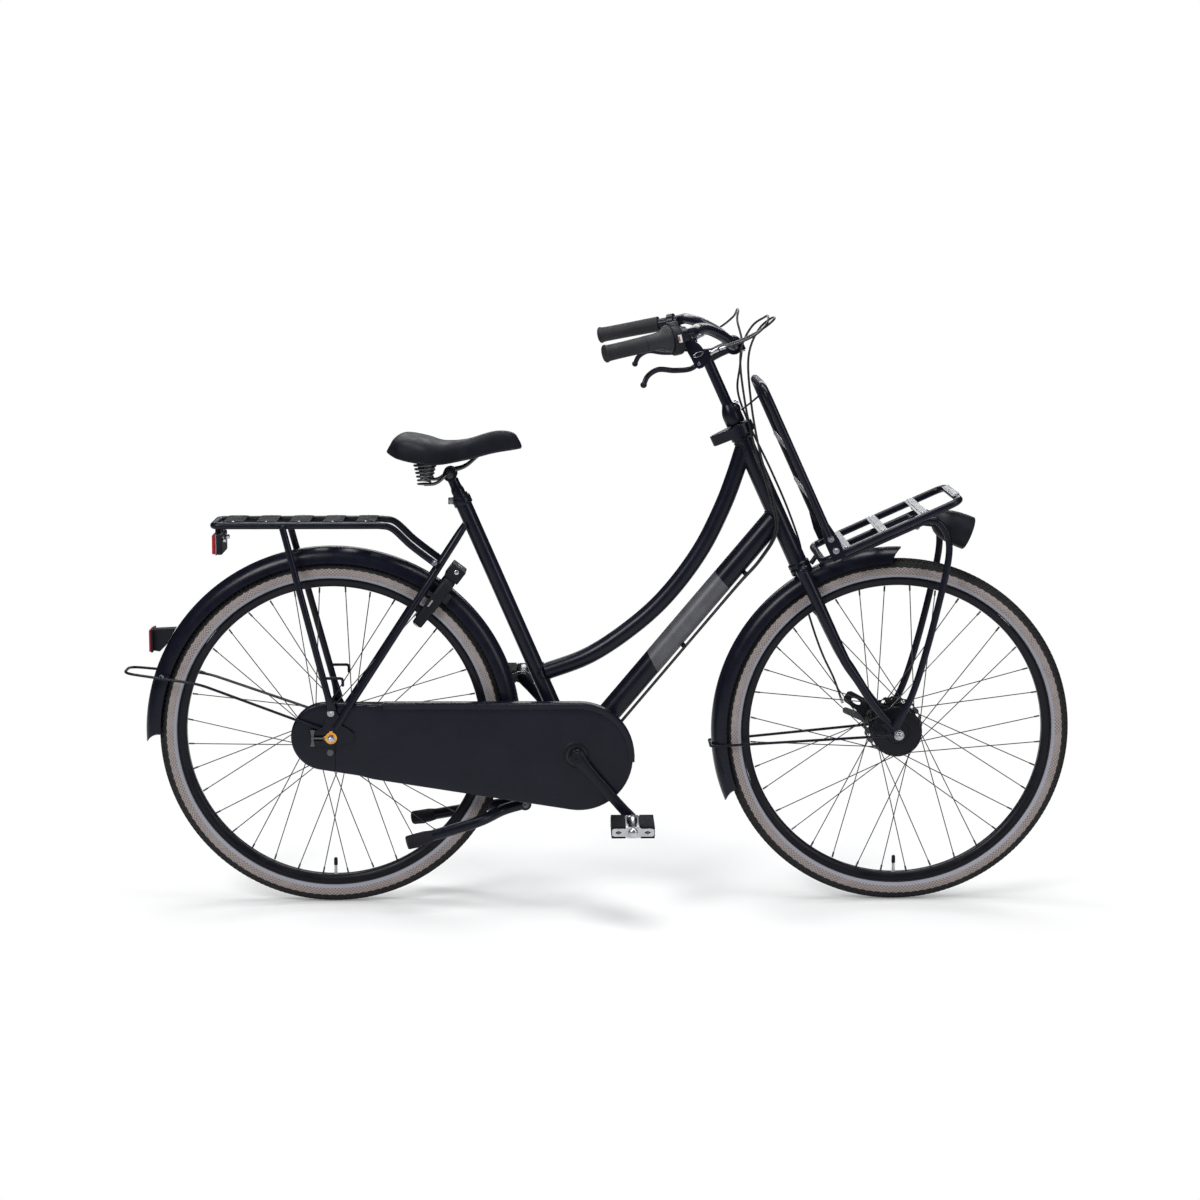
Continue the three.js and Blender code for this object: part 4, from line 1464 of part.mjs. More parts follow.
  const perchStart = bodyEnd + GAP;
  const perchMiddle = perchStart + PERCH_LENGTH * HALF;
  for (const side of [RIGHT, LEFT]) {
    const label = side === RIGHT ? 'right' : 'left';
    const { spot } = gripAxis(side);
    const centre = spot(perchMiddle);
    const pivot = centre.clone().add(at(LEVER_PIVOT_AHEAD, 0, -PERCH_DROP));
    const ring = rod(spot(perchStart), spot(perchStart + PERCH_LENGTH), PERCH_RADIUS, FRAME_SIDES);
    const shift = (ahead, y, up) => pivot.clone().add(at(ahead, y, up));
    const neck = rod(centre, shift(PERCH_REACH * HALF, 0, PERCH_BODY_RADIUS), PERCH_BODY_RADIUS, 6);
    const nose = rod(shift(0, 0, PERCH_BODY_RADIUS), shift(PERCH_REACH, 0, PERCH_BODY_RADIUS),
      PERCH_BODY_RADIUS, 6);
    const cheekOut = LEVER_HALF_THICKNESS + GAP + LEVER_CHEEK;
    const cheeks = box(2 * PERCH_BODY_RADIUS, 2 * cheekOut, 2 * PERCH_BODY_RADIUS, pivot);
    const adjuster = rod(shift(PERCH_REACH - SINK, 0, PERCH_BODY_RADIUS),
      shift(PERCH_REACH + ADJUSTER_LENGTH, 0, PERCH_BODY_RADIUS), ADJUSTER_RADIUS, 6);
    const across = (reach, radius, sides) => rod(shift(0, -reach, 0), shift(0, reach, 0), radius, sides);
    const slotHalf = LEVER_HALF_THICKNESS + GAP;
    const slot = across(slotHalf, PERCH_BODY_RADIUS + LEVER_RADIUS, 10);
    const slotBack = box(PERCH_DROP, 2 * slotHalf, PERCH_DROP,
      shift(-PERCH_DROP * HALF, 0, -PERCH_DROP * HALF + PERCH_BODY_RADIUS + LEVER_RADIUS));
    const pin = across(cheekOut - GAP, ARM_PIVOT_RADIUS * HALF, 6);
    const perch = join(join(ring, neck, nose, cheeks, adjuster).subtract(slot).subtract(slotBack), pin)
      .subtract(keep);
    add(`brake_perch_${label}`, steered(perch), 'frame');

    const lever = LEVER_SHARES.map(([back, out, arch]) => shift(-LEVER_LENGTH * back,
      side * LEVER_SPREAD * out,
      LEVER_ARCH * arch));
    const blade = tube(smooth(lever, 8), LEVER_HALF_THICKNESS,
      { sides: 6, endRadius: LEVER_HALF_THICKNESS - SINK * HALF });
    const ball = solid(new THREE.SphereGeometry(LEVER_BALL_RADIUS, 6, 4));
    add(`brake_lever_${label}`, steered(join(blade, across(LEVER_HALF_THICKNESS, PERCH_BODY_RADIUS - SINK, 8),
      ball.translate(lever[lever.length - 1].toArray()))
      .subtract(across(cheekOut, ARM_PIVOT_RADIUS * HALF + GAP, 6))), 'frame');
  }
}

// Front carrier and headlamp

function frontCarrier() {
  const deckRoute = (side) => [at(DECK_START, 0, DECK_HEIGHT),
    at(DECK_START, side * DECK_HALF_WIDTH, DECK_HEIGHT),
    at(DECK_END, side * DECK_HALF_WIDTH, DECK_HEIGHT), at(DECK_END, 0, DECK_HEIGHT)];
  const rail = (side) => tube(rounded(deckRoute(side), DECK_CORNER), DECK_TUBE_RADIUS, { sides: 6 });
  const hook = rod(at(DECK_START, 0, DECK_HEIGHT), at(FORK_CROWN_RADIUS, 0, DECK_HEIGHT - DECK_HOOK_DROP),
    DECK_HOOK_RADIUS, 6).subtract(rod(at(0, 0, 0), at(0, 0, headTop), FORK_CROWN_RADIUS + GAP, FRAME_SIDES));
  const slatTop = DECK_HEIGHT + DECK_TUBE_RADIUS - SINK + DECK_SLAT_THICKNESS * HALF;
  const kneeHeight = DECK_HEIGHT - LEG_TOP_DROP;
  const slatSpots = DECK_SLAT_SHARES.map((share) => THREE.MathUtils.lerp(DECK_START, DECK_END, share));
  const slats = slatSpots.map((ahead) => box(DECK_SLAT_LENGTH, 2 * DECK_HALF_WIDTH, DECK_SLAT_THICKNESS,
    at(ahead, 0, slatTop)));
  const footLow = kneeHeight + LEG_RADIUS + GAP;
  const feet = slatSpots.flatMap((ahead) => [RIGHT, LEFT].map((side) => box(DECK_SLAT_LENGTH * HALF,
    DECK_FOOT_WIDTH,
    slatTop - footLow, at(ahead, side * LEG_OFFSET, (slatTop + footLow) * HALF))));
  const nose = box(DECK_SLAT_LENGTH * HALF, DECK_NOSE_PLATE, DECK_SLAT_THICKNESS, at(DECK_END, 0, slatTop));
  add('front_carrier_deck', steered(join(rail(RIGHT), rail(LEFT), hook, slats, feet, nose)), 'frame');

  const plateY = DECK_HALF_WIDTH + DECK_TUBE_RADIUS + GAP + BACK_PLATE_THICKNESS * HALF;
  const backRoute = [at(BACK_AHEAD, -plateY, BACK_FOOT), at(BACK_AHEAD, -plateY, BACK_TOP),
    at(BACK_AHEAD, plateY, BACK_TOP), at(BACK_AHEAD, plateY, BACK_FOOT)];
  const hoop = tube(rounded(backRoute, BACK_CORNER, 4), BACK_TUBE_RADIUS, { sides: 6 });
  const backSlats = BACK_SLAT_SHARES.map((share) => box(DECK_SLAT_THICKNESS, 2 * plateY, BACK_SLAT_HEIGHT,
    at(BACK_AHEAD - BACK_TUBE_RADIUS + SINK, 0, THREE.MathUtils.lerp(BACK_FOOT, BACK_TOP, share))));
  const plate = (side) => join(box(BACK_PLATE_WIDTH, BACK_PLATE_THICKNESS, BACK_PLATE_LENGTH,
    at(BACK_AHEAD, side * plateY, DECK_HEIGHT + BACK_PLATE_LENGTH * HALF - DECK_TUBE_RADIUS)),
  rod(at(BACK_AHEAD, side * (plateY - SINK), BACK_FOOT - BOLT_HEAD_RADIUS),
    at(BACK_AHEAD, side * (plateY + DECK_TUBE_RADIUS + SINK), BACK_FOOT - BOLT_HEAD_RADIUS),
      BOLT_HEAD_RADIUS, 6));
  const rodStart = at(STEM_COLLAR_RADIUS + GAP + BACK_ROD_RADIUS, 0, BACK_ROD_HEIGHT);
  const stay = rod(rodStart, at(BACK_AHEAD, plateY, BACK_ROD_HEIGHT), BACK_ROD_RADIUS, 6);
  add('front_carrier_back', steered(join(hoop, backSlats, plate(RIGHT), plate(LEFT), stay)), 'frame');

  const leg = (side) => {
    const route = LEG_SHARES.map(([ahead, up]) => at(THREE.MathUtils.lerp(FORK_RAKE, LEG_KNEE_AHEAD, ahead),
      side * THREE.MathUtils.lerp(forkEndOuter + GAP + LEG_RADIUS, LEG_OFFSET + SINK, up), kneeHeight * up));
    route[0].setZ(LEG_RADIUS + FORK_END_HEIGHT * HALF);
    const run = at(LEG_RUN_START, side * LEG_OFFSET, kneeHeight);
    const [low, high] = ordered(side * (forkEndOuter + GAP), side * legEyeOuter);
    const eye = slab(beltShape(at(FORK_RAKE, 0, 0), FORK_END_HEIGHT * HALF,
      at(route[0].x + SINK, 0, route[0].z + LEG_RADIUS), LEG_RADIUS, 5), low, high);
    return join(tube([...smooth(route, 7), run], LEG_RADIUS, { sides: 6 }), eye)
      .subtract(forkBlade(side, GAP))
      .subtract(disc(FRONT_AXLE_RADIUS + GAP, low - OVERRUN, high + OVERRUN, at(FORK_RAKE, 0, 0), 10));
  };
  const cross = (ahead, margin) => rod(at(ahead, -LEG_OFFSET, kneeHeight), at(ahead, LEG_OFFSET, kneeHeight),
    LEG_RADIUS - SINK + margin, 6);
  add('front_carrier_legs', steered(join(leg(RIGHT), leg(LEFT), cross(LEG_CROSS_AHEAD, 0),
    cross(LEG_RUN_START + LEG_RADIUS, 0))), 'frame');

  const direction = at(Math.cos(rad(HEADLAMP_TILT)), 0, Math.sin(rad(HEADLAMP_TILT)));
  const lens = at(HEADLAMP_AHEAD, 0, HEADLAMP_HEIGHT);
  const tail = lens.clone().addScaledVector(direction, -HEADLAMP_LENGTH);
  const facing = new THREE.Quaternion().setFromUnitVectors(at(0, 1, 0), direction);
  const spin = new THREE.Matrix4().makeRotationFromQuaternion(facing).setPosition(tail);
  const profile = [...HEADLAMP_SHARES.map(([along, share]) => [HEADLAMP_RADIUS * share,
    HEADLAMP_LENGTH * along]),
    [0, HEADLAMP_LENGTH * HEADLAMP_SHARES[HEADLAMP_SHARES.length - 1][0]]];
  const shellBody = moved(turned(profile, at(0, 0, 0), HEADLAMP_SEGMENTS), spin);
  const seat = lens.clone().addScaledVector(direction, -HEADLAMP_LENGTH * HALF);
  const bracketTop = at(LEG_CROSS_AHEAD, 0, kneeHeight);
  add('headlamp', steered(join(shellBody, rod(seat, bracketTop, LAMP_BRACKET_RADIUS, 6))
    .subtract(cross(LEG_CROSS_AHEAD, GAP))), 'frame');
}

function cables() {
  const cable = (points) => tube(points.map((row) => at(...row)), CABLE_RADIUS, { sides: CABLE_SIDES });
  add('rear_brake_cable', cable(REAR_BRAKE_CABLE), 'cable');
  add('shift_cable', cable(SHIFT_CABLE), 'cable');
  add('front_brake_cable', cable(FRONT_BRAKE_CABLE), 'cable');
}

wheels();
rearHubFittings();
frontHubFittings();
frame();
stand();
chainCase();
chainAndCranks();
fenders();
saddle();
rearCarrier();
ringLock();
handlebar(fork());
frontCarrier();
cables();

// The footprint's middle becomes the origin.
const bounds = new THREE.Box3().setFromObject(group);
group.children.forEach((piece) => piece.geometry.translate(-(bounds.min.x + bounds.max.x) / 2,
  -(bounds.min.y + bounds.max.y) / 2, -bounds.min.z));

export default group;
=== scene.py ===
"""Looks of a step-through city bicycle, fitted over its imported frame.

Lengths in this file are design millimetres with the rear axle at X = 0, forward +X, up +Z and the
drive side -Y. They are cast into the row frame, in metres, when a piece is made.
"""
import json
import logging
from dataclasses import dataclass, field
from enum import Enum
from math import acos, atan2, copysign, cos, hypot, pi, radians, sin, sqrt
from typing import Sequence

import bmesh
import bpy
from mathutils import Matrix, Vector
from mathutils.geometry import tessellate_polygon


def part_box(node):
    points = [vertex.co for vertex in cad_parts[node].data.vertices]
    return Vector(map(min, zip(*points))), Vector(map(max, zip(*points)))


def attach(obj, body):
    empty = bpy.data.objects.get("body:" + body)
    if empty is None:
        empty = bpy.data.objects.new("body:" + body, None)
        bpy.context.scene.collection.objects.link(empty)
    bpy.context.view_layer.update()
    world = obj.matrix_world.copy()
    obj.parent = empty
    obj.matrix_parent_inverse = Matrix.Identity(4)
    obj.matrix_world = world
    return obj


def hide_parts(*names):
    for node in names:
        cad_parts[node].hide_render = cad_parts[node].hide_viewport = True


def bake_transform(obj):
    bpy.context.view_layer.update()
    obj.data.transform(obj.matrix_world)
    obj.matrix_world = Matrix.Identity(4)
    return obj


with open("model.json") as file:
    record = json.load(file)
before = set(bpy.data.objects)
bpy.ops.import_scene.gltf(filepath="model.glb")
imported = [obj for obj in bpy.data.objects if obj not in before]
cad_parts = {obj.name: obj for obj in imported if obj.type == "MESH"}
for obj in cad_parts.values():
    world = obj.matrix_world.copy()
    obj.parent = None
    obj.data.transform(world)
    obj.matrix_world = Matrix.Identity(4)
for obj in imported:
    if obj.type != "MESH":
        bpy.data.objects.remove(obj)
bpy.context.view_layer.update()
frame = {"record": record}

LOG = logging.getLogger("city_bicycle")

MM = 0.001
_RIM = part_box("rear_rim")
SHIFT = Vector(((_RIM[0][0] + _RIM[1][0]) / 2 / MM, 0.0, 0.0))
BODY_OF = {node: body for body, nodes in frame["record"]["behaviour"]["bodies"].items() for node in nodes}

Path = list[Vector]
Section = list[tuple[float, float]]
Feed = bpy.types.NodeSocket | float | tuple
Sizes = float | list[float] | list[tuple[float, float]]


class Side(Enum):
    """Side of the bicycle, with its sign along Y."""

    RIGHT = -1
    LEFT = 1

    @property
    def label(self) -> str:
        """Word used in piece names."""
        return self.name.lower()

    @property
    def out(self) -> Vector:
        """Direction outwards on this side."""
        return Vector((0, self.value, 0))


class Rim(Enum):
    """Wheel of the bicycle, with the X of its axle."""

    REAR = 0.0
    FRONT = 1160.0

    @property
    def label(self) -> str:
        """Word used in piece names."""
        return self.name.lower()


# Curves and places


def at(x: float, y: float, z: float) -> Vector:
    """Point or direction from its three parts."""
    return Vector((x, y, z))


def lerp(a: float, b: float, t: float) -> float:
    """Value a share t of the way from a to b."""
    return a + (b - a) * t


def between(a: tuple[float, float], b: tuple[float, float], t: float) -> tuple[float, float]:
    """Outline point a share t of the way from a to b."""
    return lerp(a[0], b[0], t), lerp(a[1], b[1], t)


def even(points: Path, count: int) -> Path:
    """Points spaced evenly along a dense path.

    Args:
        points: the dense path.
        count: how many stretches the result has.

    Returns:
        count + 1 points from the first to the last.
    """
    lengths = [0.0]
    for a, b in zip(points, points[1:]):
        lengths.append(lengths[-1] + (b - a).length)
    out, k = [], 0
    for i in range(count + 1):
        goal = lengths[-1] * i / count
        while k < len(points) - 2 and lengths[k + 1] < goal:
            k += 1
        span = lengths[k + 1] - lengths[k] or 1.0
        out.append(points[k].lerp(points[k + 1], min(1.0, (goal - lengths[k]) / span)))
    return out


def smooth(points: Sequence[Vector], count: int) -> Path:
    """Even points on a centripetal curve through the given ones.

    Args:
        points: the points that it passes.
        count: how many stretches the result has.

    Returns:
        count + 1 points.
    """
    ends = [points[0] * 2 - points[1], *points, points[-1] * 2 - points[-2]]
    dense: Path = []
    for p0, p1, p2, p3 in zip(ends, ends[1:], ends[2:], ends[3:]):
        d0, d1, d2 = (max((b - a).length ** 0.5, 1e-4) for a, b in ((p0, p1), (p1, p2), (p2, p3)))
        m1 = ((p1 - p0) / d0 - (p2 - p0) / (d0 + d1) + (p2 - p1) / d1) * d1
        m2 = ((p2 - p1) / d1 - (p3 - p1) / (d1 + d2) + (p3 - p2) / d2) * d1
        for k in range(16):
            t = k / 16
            dense.append(p1 * (2 * t**3 - 3 * t**2 + 1) + m1 * (t**3 - 2 * t**2 + t)
                         + p2 * (3 * t**2 - 2 * t**3) + m2 * (t**3 - t**2))
    return even([*dense, points[-1]], count)


def rounded(points: Sequence[Vector], corner: float, steps: int = 8) -> Path:
    """Rounds each inner corner off.

    Args:
        points: a bent line.
        corner: how far before and after a corner its curve starts and ends.
        steps: stretches of each curve.

    Returns:
        The line with its curves.
    """
    out = [points[0]]
    for before, here, after in zip(points, points[1:], points[2:]):
        a = here.lerp(before, min(0.45, corner / (here - before).length))
        b = here.lerp(after, min(0.45, corner / (here - after).length))
        for k in range(steps + 1):
            t = k / steps
            out.append(a.lerp(here, t).lerp(here.lerp(b, t), t))
    return [*out, points[-1]]


def circle(sides: int, radius: float = 1.0) -> Section:
    """Round section."""
    turns = (2 * pi * k / sides for k in range(sides))
    return [(radius * cos(turn), radius * sin(turn)) for turn in turns]


def hole(x: float, z: float, radius: float, sides: int = 20) -> Section:
    """Round outline about a point."""
    return [(x + radius * u, z + radius * v) for u, v in circle(sides)]


def cog(x: float, z: float, radii: Sequence[float], teeth: int) -> Section:
    """Outline about a point whose radius runs through the given ones at each tooth."""
    spots = circle(len(radii) * teeth)
    return [(x + r * u, z + r * v) for r, (u, v) in zip([*radii] * teeth, spots)]


def squarish(u_power: float, v_power: float) -> Section:
    """Rounded square section, rounder for powers nearer to 1."""
    return [(copysign(abs(u) ** u_power, u), copysign(abs(v) ** v_power, v)) for u, v in circle(24)]


def mirrored(half: Section) -> Section:
    """Profile of radius and height with its mirror image after it."""
    return [*half, *((radius, -height) for radius, height in reversed(half))]


def slug(radius: float, low: float, high: float) -> Section:
    """Profile of a plain disc, for a lathe."""
    return [(0, low), (radius, low), (radius, high), (0, high)]


def around(centre: Vector, radius: float, turn: float, y: float = 0.0) -> Vector:
    """Point at a radius and turn about a crosswise axis."""
    return centre + at(radius * cos(turn), y, radius * sin(turn))


def arc(spot: Vector, radius: float, start: float, end: float, steps: int) -> Section:
    """Round stretch of an outline in X and Z, of steps + 1 points from turn start to turn end."""
    turns = [lerp(start, end, k / steps) for k in range(steps + 1)]
    return [(spot.x + radius * cos(t), spot.z + radius * sin(t)) for t in turns]


def table(rows: Sequence[tuple[float, float]], along: float) -> float:
    """Reads a smooth line through rows of place and value.

    Args:
        rows: pairs in order of place.
        along: the place to read at.

    Returns:
        The value there.
    """
    slopes = [0.0] * len(rows)
    for i in range(1, len(rows) - 1):
        left = (rows[i][1] - rows[i - 1][1]) / (rows[i][0] - rows[i - 1][0])
        right = (rows[i + 1][1] - rows[i][1]) / (rows[i + 1][0] - rows[i][0])
        slopes[i] = 0.0 if left * right <= 0 else (left + right) / 2
    slopes[0] = (rows[1][1] - rows[0][1]) / (rows[1][0] - rows[0][0])
    slopes[-1] = (rows[-1][1] - rows[-2][1]) / (rows[-1][0] - rows[-2][0])
    for i in range(1, len(rows)):
        (x0, y0), (x1, y1) = rows[i - 1], rows[i]
        if along <= x1 or i == len(rows) - 1:
            span = x1 - x0
            t = min(1.0, max(0.0, (along - x0) / span))
            return (y0 * (2 * t**3 - 3 * t**2 + 1) + slopes[i - 1] * span * (t**3 - 2 * t**2 + t)
                    + y1 * (3 * t**2 - 2 * t**3) + slopes[i] * span * (t**3 - t**2))
    return rows[-1][1]


WHEEL_RADIUS = 358.0
HEAD_ANGLE = radians(65.7)
REAR_AXLE = at(Rim.REAR.value, 0, WHEEL_RADIUS)
FRONT_AXLE = at(Rim.FRONT.value, 0, WHEEL_RADIUS)
BRACKET = at(500, 0, 321)
STAND_PIVOT = BRACKET + at(-106, 0, -112)
AHEAD = at(sin(HEAD_ANGLE), 0, cos(HEAD_ANGLE))
UP = at(-cos(HEAD_ANGLE), 0, sin(HEAD_ANGLE))
FORWARD, SIDEWAYS, UPWARD = at(1, 0, 0), at(0, 1, 0), at(0, 0, 1)
ORIGIN = at(0, 0, 0)
STEER_FOOT = FRONT_AXLE - AHEAD * 43
STEER = Matrix((
    (AHEAD.x, 0, UP.x, STEER_FOOT.x), (0, 1, 0, 0), (AHEAD.z, 0, UP.z, STEER_FOOT.z), (0, 0, 0, 1)))
SEAT_UP = at(-cos(radians(66.6)), 0, sin(radians(66.6)))
SEAT_FOOT = BRACKET - at(10, 0, 0)
POST_TOP = 614.0
HEAD_LOW, HEAD_LENGTH = 404.0, 278.0
HEAD_TOP = HEAD_LOW + HEAD_LENGTH
DOWN_TOP = STEER @ at(0, 0, HEAD_LOW + HEAD_LENGTH * 0.378)
DOWN_FOOT = BRACKET + at(6, 0, 0)


def on_seat(along: float, y: float = 0.0) -> Vector:
    """Point along the seat tube's axis."""
    return SEAT_FOOT + SEAT_UP * along + at(0, y, 0)


def seat_stay(side: Side) -> tuple[Vector, Vector, Vector]:
    """Axis of one seat stay.

    Args:
        side: which one.

    Returns:
        Its foot, middle and top.
    """
    foot = at(7.5, side.value * 66.5, 377)
    top = on_seat(506, side.value * 18) - at(17, 0, 0)
    middle = foot.lerp(top, 0.75)
    middle.y = side.value * 40
    return foot, middle, top


# Materials


class Tree:
    """Material under construction, with short ways to add its nodes."""

    def __init__(self, name: str) -> None:
        """Starts a node material.

        Args:
            name: material name.
        """
        self.material = bpy.data.materials.new(name)
        self.material.use_nodes = True
        self.nodes = self.material.node_tree.nodes
        self.links = self.material.node_tree.links
        self.shader = self.nodes["Principled BSDF"]
        self.place = self.node("TexCoord").outputs["Object"]

    def node(self, kind: str, inputs: dict | None = None, **settings: object) -> bpy.types.Node:
        """Adds a shader node.

        Args:
            kind: type without its ShaderNode prefix.
            inputs: sockets by name or index, each a value or a socket to link.
            settings: node properties.

        Returns:
            The node.
        """
        made = self.nodes.new("ShaderNode" + kind)
        for key, value in settings.items():
            setattr(made, key, value)
        for key, value in (inputs or {}).items():
            self.feed(made.inputs[key], value)
        return made

    def feed(self, socket: bpy.types.NodeSocket, value: Feed) -> None:
        """Links a socket into another, or sets its value.

        Args:
            socket: the input.
            value: output to link, or the constant.
        """
        if isinstance(value, bpy.types.NodeSocket):
            self.links.new(value, socket)
        else:
            socket.default_value = value

    def math(self, operation: str, *values: Feed) -> bpy.types.NodeSocket:
        """Result of a Math node."""
        return self.node("Math", dict(enumerate(values)), operation=operation).outputs[0]

    def length(self, *parts: Feed) -> bpy.types.NodeSocket:
        """Length of a vector with two parts."""
        squares = [self.math("MULTIPLY", part, part) for part in parts]
        return self.math("SQRT", self.math("ADD", *squares))

    def noise(self, scale: float, detail: float = 3.0, place: Feed | None = None) -> bpy.types.NodeSocket:
        """Noise value at the piece's own coordinates."""
        inputs = {"Vector": place or self.place, "Scale": scale, "Detail": detail}
        return self.node("TexNoise", inputs).outputs[0]

    def band(self, value: Feed, low: float, high: float, to_low: float = 0.0,
             to_high: float = 1.0) -> bpy.types.NodeSocket:
        """Value carried from one range to another, held at its ends."""
        inputs = {0: value, 1: low, 2: high, 3: to_low, 4: to_high}
        return self.node("MapRange", inputs, interpolation_type="SMOOTHSTEP").outputs[0]

    def mix(self, share: Feed, a: Feed, b: Feed) -> bpy.types.NodeSocket:
        """Colour between two others."""
        rgba = [(*c, 1.0) if isinstance(c, tuple) else c for c in (a, b)]
        return self.node("Mix", {0: share, 6: rgba[0], 7: rgba[1]}, data_type="RGBA").outputs[2]

    def bump(self, height: Feed, distance: float, strength: float = 1.0) -> None:
        """Adds relief to the surface, under any that is there already.

        Args:
            height: value from 0 to 1.
            distance: height in metres of a value of 1.
            strength: share of the relief that shows.
        """
        inputs = {"Height": height, "Distance": distance, "Strength": strength}
        normal = self.shader.inputs["Normal"]
        if normal.links:
            inputs["Normal"] = normal.links[0].from_socket
        self.feed(normal, self.node("Bump", inputs).outputs[0])


@dataclass(frozen=True)
class Finish:
    """Finish that varies softly between two tones, with fine relief.

    Attributes:
        name: material name.
        slot: the record's material slot; not used.
        tone: main colour, linear.
        other: colour that it drifts towards.
        rough: lowest and highest roughness.
        metal: 1 for bare metal.
        coat: share of clear coat.
        relief: cells per metre and height in metres of the fine relief.
        drift: cells per metre of the colour change.
        shine: strength of the reflection, 0.5 for common plastics.
    """

    name: str
    slot: str
    tone: tuple
    other: tuple
    rough: tuple = (0.35, 0.5)
    metal: float = 0.0
    coat: float = 0.0
    relief: tuple = (900.0, 0.00002)
    drift: float = 14.0
    shine: float = 0.5

    def material(self) -> bpy.types.Material:
        """The material, made once.

        Returns:
            The one of this name, if there is one, or else a new one.
        """
        found = bpy.data.materials.get(self.name)
        if found:
            return found
        tree = Tree(self.name)
        inputs = tree.shader.inputs
        inputs["Metallic"].default_value = self.metal
        inputs["Coat Weight"].default_value = self.coat
        inputs["Coat Roughness"].default_value = 0.18
        inputs["Specular IOR Level"].default_value = self.shine
        drift = tree.band(tree.noise(self.drift), 0.35, 0.68)
        tree.feed(inputs["Base Color"], tree.mix(drift, self.tone, self.other))
        tree.feed(inputs["Roughness"], tree.band(tree.noise(self.drift * 4), 0.3, 0.7, *self.rough))
        self.dress(tree)
        return tree.material

    def dress(self, tree: Tree) -> None:
        """Adds the surface's own detail to its material."""
        tree.bump(tree.noise(self.relief[0], 2.0), self.relief[1])


@dataclass(frozen=True)
class Brushed(Finish):
    """Metal with fine brush lines along one axis."""

    lines: tuple = (40.0, 2500.0, 2500.0)

    def dress(self, tree: Tree) -> None:
        """Draws the noise out along the lines."""
        drawn = tree.node("VectorMath", {0: tree.place, 1: self.lines}, operation="MULTIPLY").outputs[0]
        tree.bump(tree.noise(1.0, 3.0, drawn), self.relief[1])


@dataclass(frozen=True)
class Grained(Finish):
    """Leatherette with a pebbled grain."""

    def dress(self, tree: Tree) -> None:
        """Adds grain cells over soft hollows.

        Args:
            tree: the material under construction.
        """
        cells = tree.node("TexVoronoi", {"Vector": tree.place, "Scale": self.relief[0]},
                          feature="SMOOTH_F1").outputs["Distance"]
        tree.bump(tree.math("POWER", cells, 1.4), self.relief[1])
        tree.bump(tree.noise(120.0, 4.0), self.relief[1] * 1.5, 0.5)


@dataclass(frozen=True)
class Ribbed(Finish):
    """Rubber with fine ribs round an axis of the design frame."""

    axis: tuple = (1.0, 0.0, 0.0)
    pitch: float = 2.6

    def dress(self, tree: Tree) -> None:
        """Adds ribs square to the axis and a matt skin.

        Args:
            tree: the material under construction.
        """
        along = tree.node("VectorMath", {0: tree.place, 1: self.axis}, operation="DOT_PRODUCT")
        turns = tree.math("MULTIPLY", along.outputs["Value"], 2 * pi / (self.pitch * MM))
        wave = tree.math("SINE", turns)
        tree.bump(tree.band(wave, -0.6, 0.6), 0.0004, 0.8)
        tree.bump(tree.noise(self.relief[0], 3.0), self.relief[1])


@dataclass(frozen=True)
class TyreSkin(Finish):
    """Tyre with a woven-look sidewall, a pale stripe at the bead and a black tread."""

    stripe: tuple = (0.268, 0.272, 0.315)
    thread: tuple = (0.115, 0.09, 0.086)
    tread: tuple = (0.0095, 0.009, 0.0105)
    dust: tuple = (0.017, 0.016, 0.017)
    cells: float = 140.0
    cell: float = 0.0062

    def dress(self, tree: Tree) -> None:
        """Colours the skin by its distance from the axle, which is the piece's own origin.

        Args:
            tree: the material under construction.
        """
        parts = tree.node("SeparateXYZ", {0: tree.place}).outputs
        radius = tree.length(parts[0], parts[2])
        turn = tree.math("ARCTAN2", parts[2], parts[0])
        along = tree.math("MULTIPLY", turn, self.cells)
        across = tree.math("MULTIPLY", radius, pi / self.cell)
        one = tree.math("SINE", tree.math("ADD", along, across))
        two = tree.math("SINE", tree.math("SUBTRACT", along, across))
        weave = tree.math("MULTIPLY", tree.math("ABSOLUTE", one), tree.math("ABSOLUTE", two))
        tan = tree.mix(tree.band(weave, 0.02, 0.42), self.thread, self.tone)
        tan = tree.mix(tree.band(tree.noise(30.0), 0.4, 0.7), tan, self.other)
        black = tree.mix(tree.band(tree.noise(400.0), 0.3, 0.7), self.tread, self.dust)
        pale = tree.mix(tree.band(radius, 0.3268, 0.3276), self.stripe, tan)
        pale = tree.mix(tree.band(radius, 0.3206, 0.3214), black, pale)
        edge = tree.math("ADD", radius, tree.math("MULTIPLY", one, 0.0006))
        skin = tree.mix(tree.band(edge, 0.3408, 0.3418), pale, black)
        tree.feed(tree.shader.inputs["Base Color"], skin)
        inside = tree.band(radius, 0.3272, 0.3282)
        outside = tree.band(radius, 0.3406, 0.3416, 1.0, 0.0)
        tree.bump(tree.math("MULTIPLY", weave, tree.math("MULTIPLY", inside, outside)), 0.0006)
        tree.bump(tree.noise(700.0, 3.0), 0.00006)


@dataclass(frozen=True)
class Lens(Finish):
    """Moulded lens with small prisms behind a glossy face."""

    cell: float = 0.0034

    def dress(self, tree: Tree) -> None:
        """Adds a grid of prisms in Y and Z.

        Args:
            tree: the material under construction.
        """
        parts = tree.node("SeparateXYZ", {0: tree.place}).outputs
        waves = [tree.math("ABSOLUTE", tree.math("SINE", tree.math("MULTIPLY", part, pi / self.cell)))
                 for part in (parts[1], parts[2])]
        grid = tree.math("MULTIPLY", *waves)
        tree.bump(grid, 0.0008, 0.7)
        glass = tree.mix(tree.band(grid, 0.1, 0.7), self.other, self.tone)
        tree.feed(tree.shader.inputs["Base Color"], glass)


